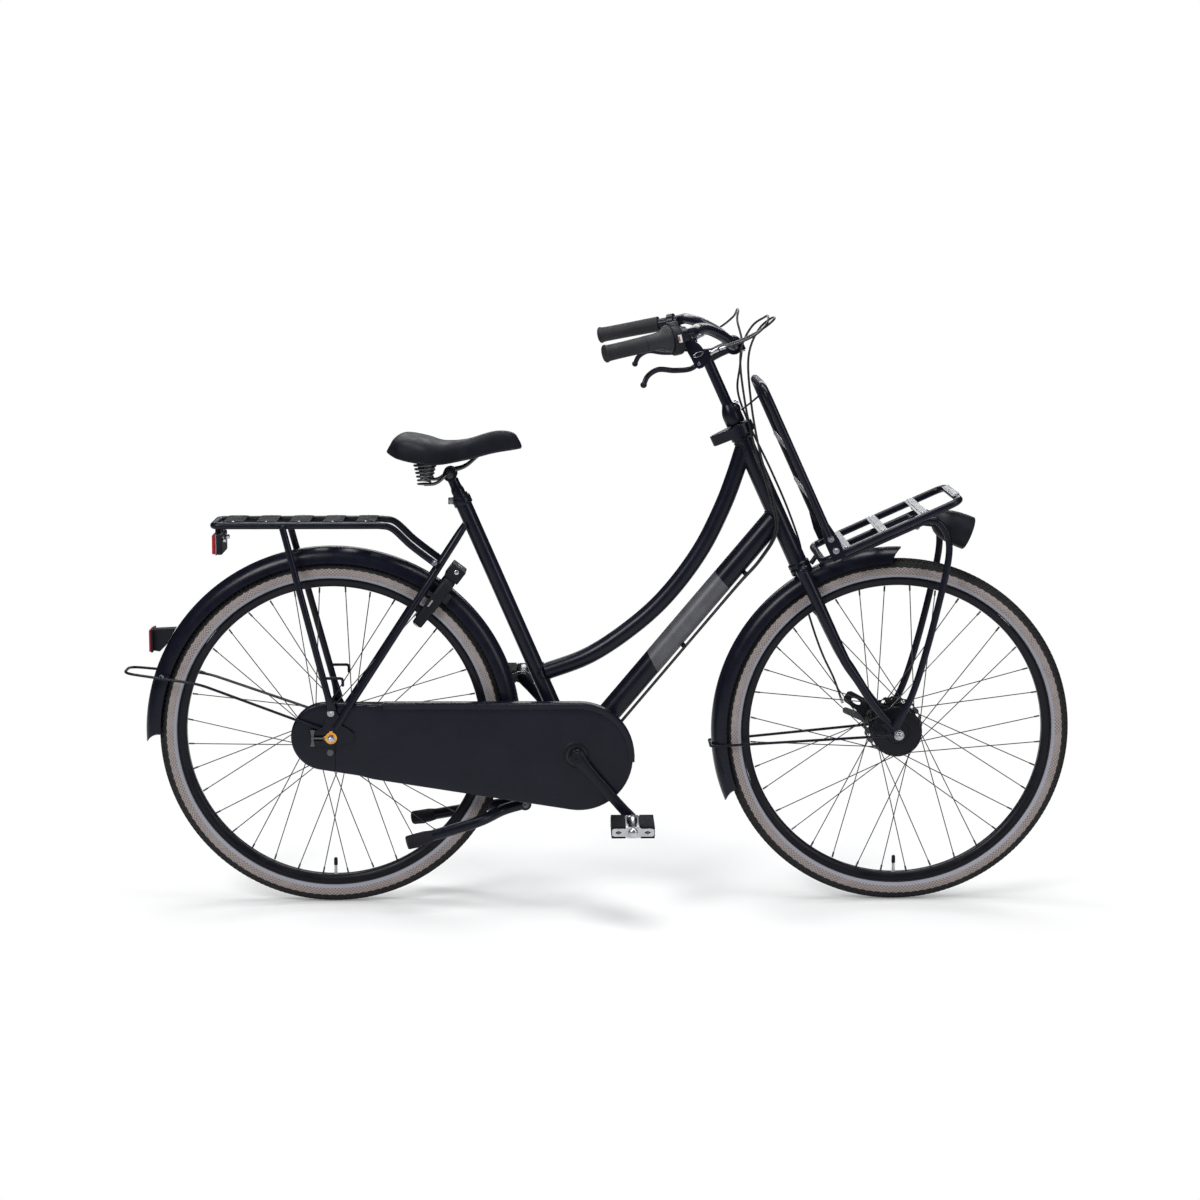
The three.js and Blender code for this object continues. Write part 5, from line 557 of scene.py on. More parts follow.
PAINT = Finish("satin_paint", "frame", (0.0045, 0.005, 0.0108), (0.006, 0.0066, 0.0132), (0.26, 0.33),
               coat=0.03, relief=(200.0, 0.0000005), shine=0.17)
PANEL = Finish("panel_grey", "frame", (0.062, 0.062, 0.07), (0.082, 0.082, 0.09), (0.36, 0.44),
               relief=(500.0, 0.000006), drift=30.0, shine=0.4)
PLASTIC = Finish("moulded_plastic", "rubber", (0.007, 0.0074, 0.011), (0.0105, 0.011, 0.0155), (0.42, 0.55),
                 relief=(900.0, 0.000008), shine=0.14)
RUBBER = Finish("matt_rubber", "rubber", (0.0105, 0.0105, 0.013), (0.016, 0.016, 0.019), (0.6, 0.78),
                relief=(900.0, 0.00002), shine=0.1)
TYRE = TyreSkin("tyre_skin", "tyre", (0.3, 0.262, 0.25), (0.262, 0.228, 0.22), (0.75, 0.9), shine=0.25)
RIM_BLACK = Finish("rim_black", "rim", (0.0055, 0.0058, 0.009), (0.008, 0.0083, 0.012), (0.3, 0.42),
                   coat=0.02, relief=(500.0, 0.0000005), shine=0.14)
SPOKE = Finish("spoke_steel", "dark_steel", (0.045, 0.045, 0.048), (0.07, 0.07, 0.075), (0.3, 0.42),
               metal=0.9)
DARK = Finish("dark_steel", "dark_steel", (0.022, 0.023, 0.027), (0.036, 0.037, 0.042), (0.34, 0.5),
              metal=0.75, relief=(700.0, 0.00001))
SILVER = Brushed("polished_aluminium", "steel", (0.27, 0.275, 0.285), (0.22, 0.225, 0.24), (0.36, 0.44),
                 metal=1.0, relief=(900.0, 0.0000006), lines=(500.0, 12.0, 500.0))
ZINC = Finish("zinc_steel", "steel", (0.5, 0.51, 0.53), (0.38, 0.39, 0.42), (0.24, 0.36), metal=1.0,
              relief=(500.0, 0.000002))
LEATHER = Grained("leatherette", "leather", (0.0065, 0.0068, 0.0105), (0.0095, 0.0099, 0.0145), (0.46, 0.58),
                  relief=(750.0, 0.0001), shine=0.08)
YELLOW = Finish("yellow_zinc", "yellow", (0.85, 0.36, 0.025), (0.72, 0.28, 0.018), (0.3, 0.45), metal=0.3,
                relief=(500.0, 0.00001))
RED = Lens("red_lens", "red", (0.42, 0.006, 0.012), (0.2, 0.003, 0.006), (0.12, 0.2), coat=0.15, shine=0.3)
WHITE = Finish("white_mark", "rubber", (0.6, 0.6, 0.6), (0.5, 0.5, 0.5), (0.4, 0.5))
CABLE = Finish("cable_cover", "cable", (0.0085, 0.0085, 0.0105), (0.013, 0.013, 0.0155), (0.34, 0.48),
               relief=(900.0, 0.00001), shine=0.4)
CLEAR = Lens("lamp_glass", "steel", (0.66, 0.69, 0.72), (0.42, 0.45, 0.48), (0.04, 0.1), coat=1.0, cell=0.006)


# Pieces


class Mould:
    """Gathers the faces of one piece, in design millimetres, and casts them as an object."""

    def __init__(self, place: Matrix | None = None) -> None:
        """Starts an empty piece.

        Args:
            place: carries its own coordinates to the design frame.
        """
        self.place = place or Matrix()
        self.verts: Path = []
        self.faces: list[list[int]] = []

    def skin(self, rings: Sequence[Sequence[Vector]], closed: bool = False, caps: bool = True) -> "Mould":
        """Stretches faces over rings of equal length.

        Args:
            rings: loops of points, in order.
            closed: whether the last ring joins the first.
            caps: whether the first and last ring are filled.

        Returns:
            The mould.
        """
        first, size = len(self.verts), len(rings[0])
        for ring in rings:
            self.verts += [self.place @ point for point in ring]
        for i in range(len(rings) - (not closed)):
            a, b = first + i * size, first + (i + 1) % len(rings) * size
            self.faces += [[a + k, a + (k + 1) % size, b + (k + 1) % size, b + k] for k in range(size)]
        if caps and not closed:
            last = first + (len(rings) - 1) * size
            self.faces += [list(range(first, first + size))[::-1], list(range(last, last + size))]
        return self

    def sweep(self, path: Path, section: Section, scale: Sizes = 1.0, across: Vector | None = None,
              closed: bool = False) -> "Mould":
        """Carries a section along a path.

        Args:
            path: centre line.
            section: outline in units of the scale.
            scale: size, or one per point, each a number or a pair for an oval.
            across: direction the section's first axis keeps to.
            closed: whether the path returns to its start.

        Returns:
            The mould.
        """
        scales = scale if isinstance(scale, list) else [scale] * len(path)
        rings, side = [], None
        for i, here in enumerate(path):
            before = path[i - 1] if i or closed else here
            after = path[(i + 1) % len(path)] if closed or i < len(path) - 1 else here
            line = (after - before).normalized()
            base = across or side or line.orthogonal()
            side = (base - line * base.dot(line)).normalized()
            other = line.cross(side)
            su, sv = scales[i] if isinstance(scales[i], tuple) else (scales[i], scales[i])
            rings.append([here + side * (u * su) + other * (v * sv) for u, v in section])
        return self.skin(rings, closed)

    def tube(self, path: Path, radius: Sizes, sides: int = 16, **more: object) -> "Mould":
        """Round tube along a path."""
        return self.sweep(path, circle(sides), radius, **more)

    def rod(self, start: Vector, end: Vector, radius: float, sides: int = 20) -> "Mould":
        """Cylinder between two points."""
        return self.tube([start, end], radius, sides)

    def lathe(self, profile: Sequence[tuple[float, float]], origin: Vector, axis: Vector, segments: int = 48,
              closed: bool = False) -> "Mould":
        """Turns a profile about an axis.

        Args:
            profile: pairs of radius and height.
            origin: where the height is 0.
            axis: direction of the height.
            segments: sides of the result.
            closed: whether the profile is a ring, as for a piece with a bore.

        Returns:
            The mould.
        """
        axis = axis.normalized()
        side = axis.orthogonal().normalized()
        other = axis.cross(side)
        rings = []
        for radius, along in profile:
            spots = circle(segments, max(radius, 1e-5))
            rings.append([origin + axis * along + side * u + other * v for u, v in spots])
        return self.skin(rings, closed)

    def prism(self, outline: Sequence[tuple[float, float]], low: float, high: float,
              holes: Sequence[Sequence[tuple[float, float]]] = ()) -> "Mould":
        """Plate drawn in X and Z.

        Args:
            outline: its edge.
            low: Y of one face.
            high: Y of the other.
            holes: outlines of the holes through it.

        Returns:
            The mould.
        """
        low, high = sorted((low, high))
        if not holes:
            return self.skin([[at(x, y, z) for x, z in outline] for y in (low, high)])
        loops = [outline, *holes]
        flat = [[at(x, z, 0) for x, z in loop] for loop in loops]
        fills = tessellate_polygon(flat)
        size = sum(map(len, loops))
        first = len(self.verts)
        for y in (low, high):
            self.verts += [self.place @ at(x, y, z) for loop in loops for x, z in loop]
        self.faces += [[first + k for k in fill] for fill in fills]
        self.faces += [[first + size + k for k in fill][::-1] for fill in fills]
        start = first
        for loop in loops:
            count = len(loop)
            for k in range(count):
                n = (k + 1) % count
                self.faces.append([start + k, start + n, start + n + size, start + k + size])
            start += count
        return self

    def block(self, size: tuple, centre: Vector, turn: Matrix | None = None) -> "Mould":
        """Box about a centre.

        Args:
            size: its three lengths.
            centre: its middle.
            turn: rotation about the middle.

        Returns:
            The mould.
        """
        half = [s / 2 for s in size]
        spin = turn or Matrix.Identity(3)
        ring = ((-1, -1), (1, -1), (1, 1), (-1, 1))
        return self.skin([[centre + spin @ at(u * half[0], v * half[1], w * half[2]) for u, v in ring]
                          for w in (-1, 1)])

    def ball(self, centre: Vector, radius: float, axis: Vector = UP, squash: float = 1.0) -> "Mould":
        """Ball, or one flattened along its axis.

        Args:
            centre: its middle.
            radius: its radius square to the axis.
            axis: direction that it is flattened along.
            squash: height as a share of the width.

        Returns:
            The mould.
        """
        turns = [pi * k / 12 for k in range(13)]
        profile = [(radius * sin(t), -radius * squash * cos(t)) for t in turns]
        return self.lathe(profile, centre, axis, 24)

    def bolt(self, foot: Vector, axis: Vector, radius: float, height: float) -> "Mould":
        """Bolt head on a washer, with a socket in its top.

        Args:
            foot: middle of the seat that it is screwed on.
            axis: direction outwards.
            radius: the head's radius.
            height: the head's height.

        Returns:
            The mould.
        """
        axis = axis.normalized()
        washer = [(0, -0.3), (radius * 1.35, -0.3), (radius * 1.35, height * 0.22), (0, height * 0.22)]
        head = [(0, 0), (radius, 0), (radius, height * 0.8), (radius * 0.86, height), (radius * 0.45, height),
                (radius * 0.4, height * 0.5), (0, height * 0.45)]
        return self.lathe(washer, foot, axis, 24).lathe(head, foot, axis, 6)

    def bolt_pair(self, left: Vector, radius: float, height: float) -> "Mould":
        """The same bolt on both sides, heads outwards.

        Args:
            left: the left one's foot.
            radius: the heads' radius.
            height: the heads' height.

        Returns:
            The mould.
        """
        for side in Side:
            self.bolt(at(left.x, side.value * left.y, left.z), side.out, radius, height)
        return self

    def weld(self, start: Vector, line: Vector, radius: float, other: Vector, other_line: Vector,
             other_radius: float, bead: float = 2.2) -> "Mould":
        """Weld bead where a tube runs into another one.

        Args:
            start: a point of the first tube's axis outside the other tube.
            line: direction of travel towards the other tube.
            radius: the first tube's radius.
            other: a point of the other tube's axis.
            other_line: that axis's direction.
            other_radius: that tube's radius.
            bead: the weld's radius.

        Returns:
            The mould.
        """
        line, other_line = line.normalized(), other_line.normalized()
        side = line.orthogonal().normalized()
        over = line.cross(side)
        ring = []
        for u, v in circle(40, radius):
            spot = start + side * u + over * v
            gap = spot - other
            gap -= other_line * gap.dot(other_line)
            flat = line - other_line * line.dot(other_line)
            a, b, c = flat.length_squared, 2 * gap.dot(flat), gap.length_squared - other_radius**2
            root = max(b * b - 4 * a * c, 0.0)
            ring.append(spot + line * ((-b - sqrt(root)) / (2 * a)))
        sizes = [bead * (1 + 0.12 * cos(k * pi)) for k in range(len(ring))]
        return self.tube(ring, sizes, 8, closed=True)

    def cast(self, name: str, finish: Finish, host: str | None = None, bevel: float = 0.0,
             origin: Vector | None = None, sharp: float = 38.0, bends: bool = False) -> bpy.types.Object:
        """Makes the object.

        Args:
            name: piece name.
            finish: its finish.
            host: CAD node that the piece is trim of; without one it stands for the node of its own name.
            bevel: width of its rounded edges.
            origin: point its own coordinates start from.
            sharp: angle from which an edge stays sharp, in degrees.
            bends: whether the piece is kept off the bodies, its place baked into its mesh, instead of being
                attached to its body.

        Returns:
            The object.
        """
        home, body = origin or ORIGIN, BODY_OF[host or name]
        mesh = bpy.data.meshes.new(name)
        mesh.from_pydata([(vert - home) * MM for vert in self.verts], [], self.faces)
        work = bmesh.new()
        work.from_mesh(mesh)
        bmesh.ops.remove_doubles(work, verts=work.verts, dist=0.00002)
        bmesh.ops.recalc_face_normals(work, faces=work.faces)
        work.to_mesh(mesh)
        work.free()
        mesh.polygons.foreach_set("use_smooth", [True] * len(mesh.polygons))
        mesh.set_sharp_from_angle(angle=radians(sharp))
        mesh.materials.append(finish.material())
        piece = bpy.data.objects.new(name, mesh)
        bpy.context.scene.collection.objects.link(piece)
        if origin:
            piece.location = (home + SHIFT) * MM
        else:
            mesh.transform(Matrix.Translation(SHIFT * MM))
        if bevel:
            edges = piece.modifiers.new("edges", "BEVEL")
            edges.width = bevel * MM
            edges.segments = 3
            edges.limit_method = "ANGLE"
            edges.angle_limit = radians(sharp)
            edges.harden_normals = True
        bpy.context.view_layer.update()
        if bends:
            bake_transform(piece)
        else:
            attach(piece, body)
        if not host:
            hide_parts(name)
        LOG.info("%s on %s, %d faces", name, body, len(mesh.polygons))
        return piece


class Assembly:
    """Group of pieces that are built together."""

    def build(self) -> None:
        """Makes the pieces."""
        raise NotImplementedError


@dataclass
class Studio(Assembly):
    """Camera, lamps, floor and backdrop of the photograph."""

    eye: Vector = field(default_factory=lambda: Vector((-0.0717, -5.031, 1.471)))
    pitch: float = 6.72
    yaw: float = 0.85
    lens: float = 74.4
    rise: float = -0.1

    def camera(self) -> None:
        """Places the camera at the photograph's point of view."""
        data = bpy.data.cameras.new("camera")
        data.lens = self.lens
        data.shift_y = self.rise
        data.clip_end = 60
        piece = bpy.data.objects.new("camera", data)
        bpy.context.scene.collection.objects.link(piece)
        piece.location = self.eye
        piece.rotation_euler = (radians(90 - self.pitch), 0, radians(-self.yaw))
        bpy.context.scene.camera = piece

    def lamp(self, name: str, place: tuple, goal: tuple, size: tuple, power: float) -> None:
        """Adds a soft box.

        Args:
            name: lamp name.
            place: where it stands, in metres.
            goal: what it shines at.
            size: its width and height.
            power: its strength in watts.
        """
        data = bpy.data.lights.new(name, "AREA")
        data.shape, data.size, data.size_y, data.energy = "RECTANGLE", *size, power
        piece = bpy.data.objects.new(name, data)
        bpy.context.scene.collection.objects.link(piece)
        piece.location = place
        piece.rotation_euler = (Vector(goal) - Vector(place)).to_track_quat("-Z", "Y").to_euler()

    def floor(self) -> None:
        """Lays the pale floor, which keeps the shadow and runs out into white."""
        mesh = bpy.data.meshes.new("floor")
        mesh.from_pydata([(x, y, 0.0) for x, y in ((-4, -4), (4, -4), (4, 4), (-4, 4))], [], [(0, 1, 2, 3)])
        tree = Tree("floor_white")
        grain = tree.mix(tree.noise(4.0), (0.8, 0.8, 0.8), (0.82, 0.82, 0.82))
        tree.feed(tree.shader.inputs["Base Color"], grain)
        tree.shader.inputs["Roughness"].default_value = 0.9
        tree.shader.inputs["Specular IOR Level"].default_value = 0.1
        seen = tree.node("LightPath").outputs["Is Camera Ray"]
        parts = tree.node("SeparateXYZ", {0: tree.place}).outputs
        wide = tree.math("MULTIPLY", parts[0], 0.72)
        fade = tree.band(tree.length(wide, parts[1]), 0.45, 0.95, 0.2, 1.0)
        glow = tree.node("Emission", {"Color": (1, 1, 1, 1), "Strength": 1.0}).outputs[0]
        share = tree.math("MULTIPLY", seen, fade)
        blend = tree.node("MixShader", {0: share, 1: tree.shader.outputs[0], 2: glow})
        tree.links.new(blend.outputs[0], tree.nodes["Material Output"].inputs["Surface"])
        mesh.materials.append(tree.material)
        piece = bpy.data.objects.new("floor", mesh)
        bpy.context.scene.collection.objects.link(piece)

    def world(self) -> None:
        """Sets a plain pale world that is white to the camera."""
        world = bpy.data.worlds.new("studio")
        world.use_nodes = True
        bpy.context.scene.world = world
        nodes, links = world.node_tree.nodes, world.node_tree.links
        nodes["Background"].inputs[0].default_value = (0.86, 0.92, 1.0, 1)
        white = nodes.new("ShaderNodeBackground")
        white.inputs[0].default_value = (1, 1, 1, 1)
        white.inputs[1].default_value = 1.0
        ray = nodes.new("ShaderNodeLightPath")
        dim = nodes.new("ShaderNodeMath")
        dim.operation = "MULTIPLY_ADD"
        dim.inputs[1].default_value, dim.inputs[2].default_value = -0.11, 0.16
        links.new(ray.outputs["Is Glossy Ray"], dim.inputs[0])
        links.new(dim.outputs[0], nodes["Background"].inputs[1])
        blend = nodes.new("ShaderNodeMixShader")
        links.new(ray.outputs["Is Camera Ray"], blend.inputs[0])
        links.new(nodes["Background"].outputs[0], blend.inputs[1])
        links.new(white.outputs[0], blend.inputs[2])
        links.new(blend.outputs[0], nodes["World Output"].inputs["Surface"])

    def build(self) -> None:
        """Sets up the view and the light."""
        bpy.context.scene.view_settings.view_transform = "Standard"
        self.camera()
        self.floor()
        self.world()
        self.lamp("key", (-2.4, -3.0, 3.4), (0, 0, 0.5), (1.6, 1.6), 135)
        self.lamp("fill", (3.2, -2.6, 2.0), (0.2, 0, 0.6), (1.2, 2.4), 45)
        self.lamp("top", (0.1, 0.1, 3.8), (0, 0, 0.4), (3.6, 1.2), 135)
        self.lamp("back", (0.2, 3.6, 2.6), (0, 0, 0.6), (3.6, 1.0), 55)


@dataclass
class Cables(Assembly):
    """Brake and gear cables along the routes they are held on."""

    radius: float = 2.3
    rear_brake: Sequence[tuple] = (
        (775.4, -252, 1161.4), (812, -246, 1173), (846, -226, 1187), (871, -194, 1207), (877, -152, 1220),
        (874, -108, 1216), (852, -70, 1196), (832, -44, 1146), (841, -31, 1044), (867, -28, 932),
        (893, -28, 850), (906, -26, 778), (876, -10, 716), (837, -6, 670), (760, -6, 578), (683, -6, 486),
        (606, -5, 394), (567, 4, 347), (534, 14, 308), (500, 19, 291), (465, 25, 294), (430, 32, 303),
        (390, 38, 311), (320, 45, 319), (230, 53, 325), (160, 52, 327), (108, 47.1, 328))
    shift: Sequence[tuple] = (
        (727, -232, 1158), (762, -226, 1160), (812, -214, 1174), (862, -186, 1196), (890, -146, 1214),
        (888, -104, 1214), (866, -68, 1190), (848, -46, 1140), (853, -41, 1044), (874, -38, 932),
        (899, -38, 850), (909, -36, 778), (876, -19, 714), (837, -15, 669), (760, -15, 578), (683, -15, 486),
        (606, -15, 394), (567, -16, 347), (534, -18, 308), (500, -20, 291), (465, -24, 298), (430, -29, 309),
        (390, -34, 319), (300, -34.3, 330), (200, -34.3, 342), (130, -34.3, 350), (66, -34.4, 356))
    front_brake: Sequence[tuple] = (
        (775.4, 252, 1161.6), (806, 240, 1176), (833, 204, 1201), (838, 160, 1218), (837, 112, 1218),
        (832, 68, 1200), (840, 40, 1157), (836, 34, 1111), (831, 31, 1060), (855, 30, 990), (901, 32, 894),
        (939, 38, 807), (967, 55, 723), (968, 66, 683), (974, 65, 630), (990, 60, 571), (1013, 52, 506),
        (1037, 47, 455), (1055, 42.8, 404))

    def build(self) -> None:
        """Draws each cable with a ferrule at both ends; the two that run between the frame and the turning
        bar are kept off the bodies.
        """
        routes = {"rear_brake_cable": self.rear_brake, "shift_cable": self.shift,
                  "front_brake_cable": self.front_brake}
        for name, rows in routes.items():
            path = smooth([at(*row) for row in rows], 170)
            bends = name != "front_brake_cable"
            Mould().tube(path, self.radius, 12).cast(name, CABLE, bends=bends)
            ends = Mould()
            for tip, inner in ((path[0], path[3]), (path[-1], path[-4])):
                ends.rod(tip, tip + (inner - tip).normalized() * 12, self.radius + 0.7, 16)
            ends.cast(name + "_ferrules", ZINC, name, bends=bends)


@dataclass
class Wheel(Assembly):
    """Tyre, rim, spokes and hub shell of one wheel."""

    which: Rim
    flange_offset: float
    flange_radius: float
    barrel_radius: float
    spokes: int = 36

    @property
    def axle(self) -> Vector:
        """Middle of the wheel."""
        return at(self.which.value, 0, WHEEL_RADIUS)

    def polar(self, radius: float, turn: float, y: float) -> Vector:
        """Point at a radius and turn about the axle."""
        return around(self.axle, radius, turn, y)

    def tyre(self) -> None:
        """Casing with three rows of tread blocks."""
        middle = 334.5
        casing = [(318.4, 12.2), (320.5, 15.5)]
        casing += [(middle + 21.6 * cos(t), 23.4 * sin(t))
                   for t in (radians(a) for a in range(125, 0, -9))]
        profile = casing + [(356.1, 0.0)] + [(r, -y) for r, y in reversed(casing)]
        mould = Mould().lathe(profile, self.axle, SIDEWAYS, 160, closed=True)
        count = 210
        for k in range(count):
            for lean, half_lean, shift, long in ((0, 9.5, 0, 3.9), (22, 8.5, 0.5, 3.6), (-22, 8.5, 0.5, 3.6),
                                                (43, 9, 0, 3.3), (-43, 9, 0, 3.3)):
                turn = 2 * pi * (k + shift) / count
                half = radians(half_lean)
                rings = []
                for grow, shrink in ((20.8, 1.0), (23.2, 0.97), (23.5, 0.86)):
                    ring = []
                    for sign_turn, sign_lean in ((-1, -1), (1, -1), (1, 1), (-1, 1)):
                        angle = radians(lean) + sign_lean * half * shrink
                        skew = 0.35 * sign_lean if lean == 0 else 0
                        step = (sign_turn + skew) * long * shrink / WHEEL_RADIUS
                        ring.append(self.polar(middle + grow * cos(angle), turn + step,
                                               (grow + 0.4) * sin(angle)))
                    rings.append(ring)
                mould.skin(rings)
        name = self.which.label + "_tyre"
        mould.cast(name, TYRE, origin=self.axle, sharp=32)

    def rim(self) -> None:
        """Hollow-section rim, its nipples and its valve."""
        name = self.which.label + "_rim"
        half = [(302.5, 6.5), (303.2, 8.2), (307, 10.8), (313, 12.8), (317, 13.5), (318, 13.0), (317.8, 12.2)]
        ring = Mould().lathe(mirrored(half), self.axle, SIDEWAYS, 180, closed=True)
        ring.cast(name, RIM_BLACK, origin=self.axle)
        foot = self.axle - UPWARD * 302.4
        stem = [(0, 0), (5.5, 0), (5.5, 1.6), (3.1, 2.2), (3.1, 18), (2.6, 18.3), (2.6, 24), (0, 24)]
        Mould().lathe(stem, foot, UPWARD, 20).cast(name + "_valve", ZINC, name, origin=self.axle)
        cap = [(0, 19), (3.9, 19), (4.0, 24), (3.8, 32), (2.6, 34.5), (0, 34.8)]
        Mould().lathe(cap, foot, UPWARD, 16).cast(name + "_valve_cap", PLASTIC, name, origin=self.axle)

    def lacing(self) -> None:
        """Crossed spokes with their nipples."""
        name = self.which.label + "_spokes"
        per_side = self.spokes // 2
        pitch = 2 * pi / per_side
        wires = Mould()
        for side in Side:
            for i in range(per_side):
                lead = 1 if i % 2 else -1
                turn = pitch * (i + side.value / 4)
                reach = side.value * (self.flange_offset + lead * 2.7)
                foot = self.polar(self.flange_radius - 4, turn, reach)
                end = self.polar(301.0, turn + lead * 3 * pitch, side.value * (3 + lead * 1.3))
                line = (end - foot).normalized()
                wires.rod(foot, end, 1.05, 8)
                wires.rod(end - line * 11, end, 1.9, 6)
                head = at(0, side.value * lead, 0)
                wires.lathe([(0, -4.4), (1.1, -4.4), (1.3, 0), (0.8, 1.1), (0, 1.3)], foot, head, 8)
        wires.cast(name, SPOKE, origin=self.axle)

    def hub(self) -> None:
        """Hub shell with drilled flanges."""
        name = self.which.label + "_hub"
        offset, flange, barrel = self.flange_offset, self.flange_radius, self.barrel_radius
        half = [(9, offset + 7.4), (22.5, offset + 7.4), (23.6, offset + 6.2), (24, offset + 1.8),
                (flange - 9, offset + 1.8), (flange - 8, offset + 1.5), (flange - 0.6, offset + 1.5),
                (flange, offset + 0.8), (flange, offset - 0.8), (flange - 0.6, offset - 1.5),
                (barrel + 3, offset - 1.6), (barrel + 1.2, offset - 2.6), (barrel, offset - 6),
                (barrel, offset - 13), (barrel - 0.8, offset - 13.6)]
        shell = Mould().lathe(mirrored(half), self.axle, SIDEWAYS, 72, closed=True)
        shell.cast(name, RIM_BLACK, origin=self.axle)
        if self.which is Rim.FRONT:
            holes = []
            for ring, size, count, start in ((53, 4.4, 16, 0.0), (40, 3.2, 12, 0.1)):
                for k in range(count):
                    spot = self.polar(ring, 2 * pi * k / count + start, 0)
                    holes.append(hole(spot.x, spot.z, size, 14))
            outline = cog(self.axle.x, self.axle.z, (61.6, 61.6, 59.6, 59.6), 24)
            Mould().prism(outline, 34.9, 37.6, holes).cast("front_cooling_disc", DARK, name,
                                                         bevel=0.4, origin=self.axle)

    def build(self) -> None:
        """Makes the whole wheel."""
        self.tyre()
        self.rim()
        self.lacing()
        self.hub()


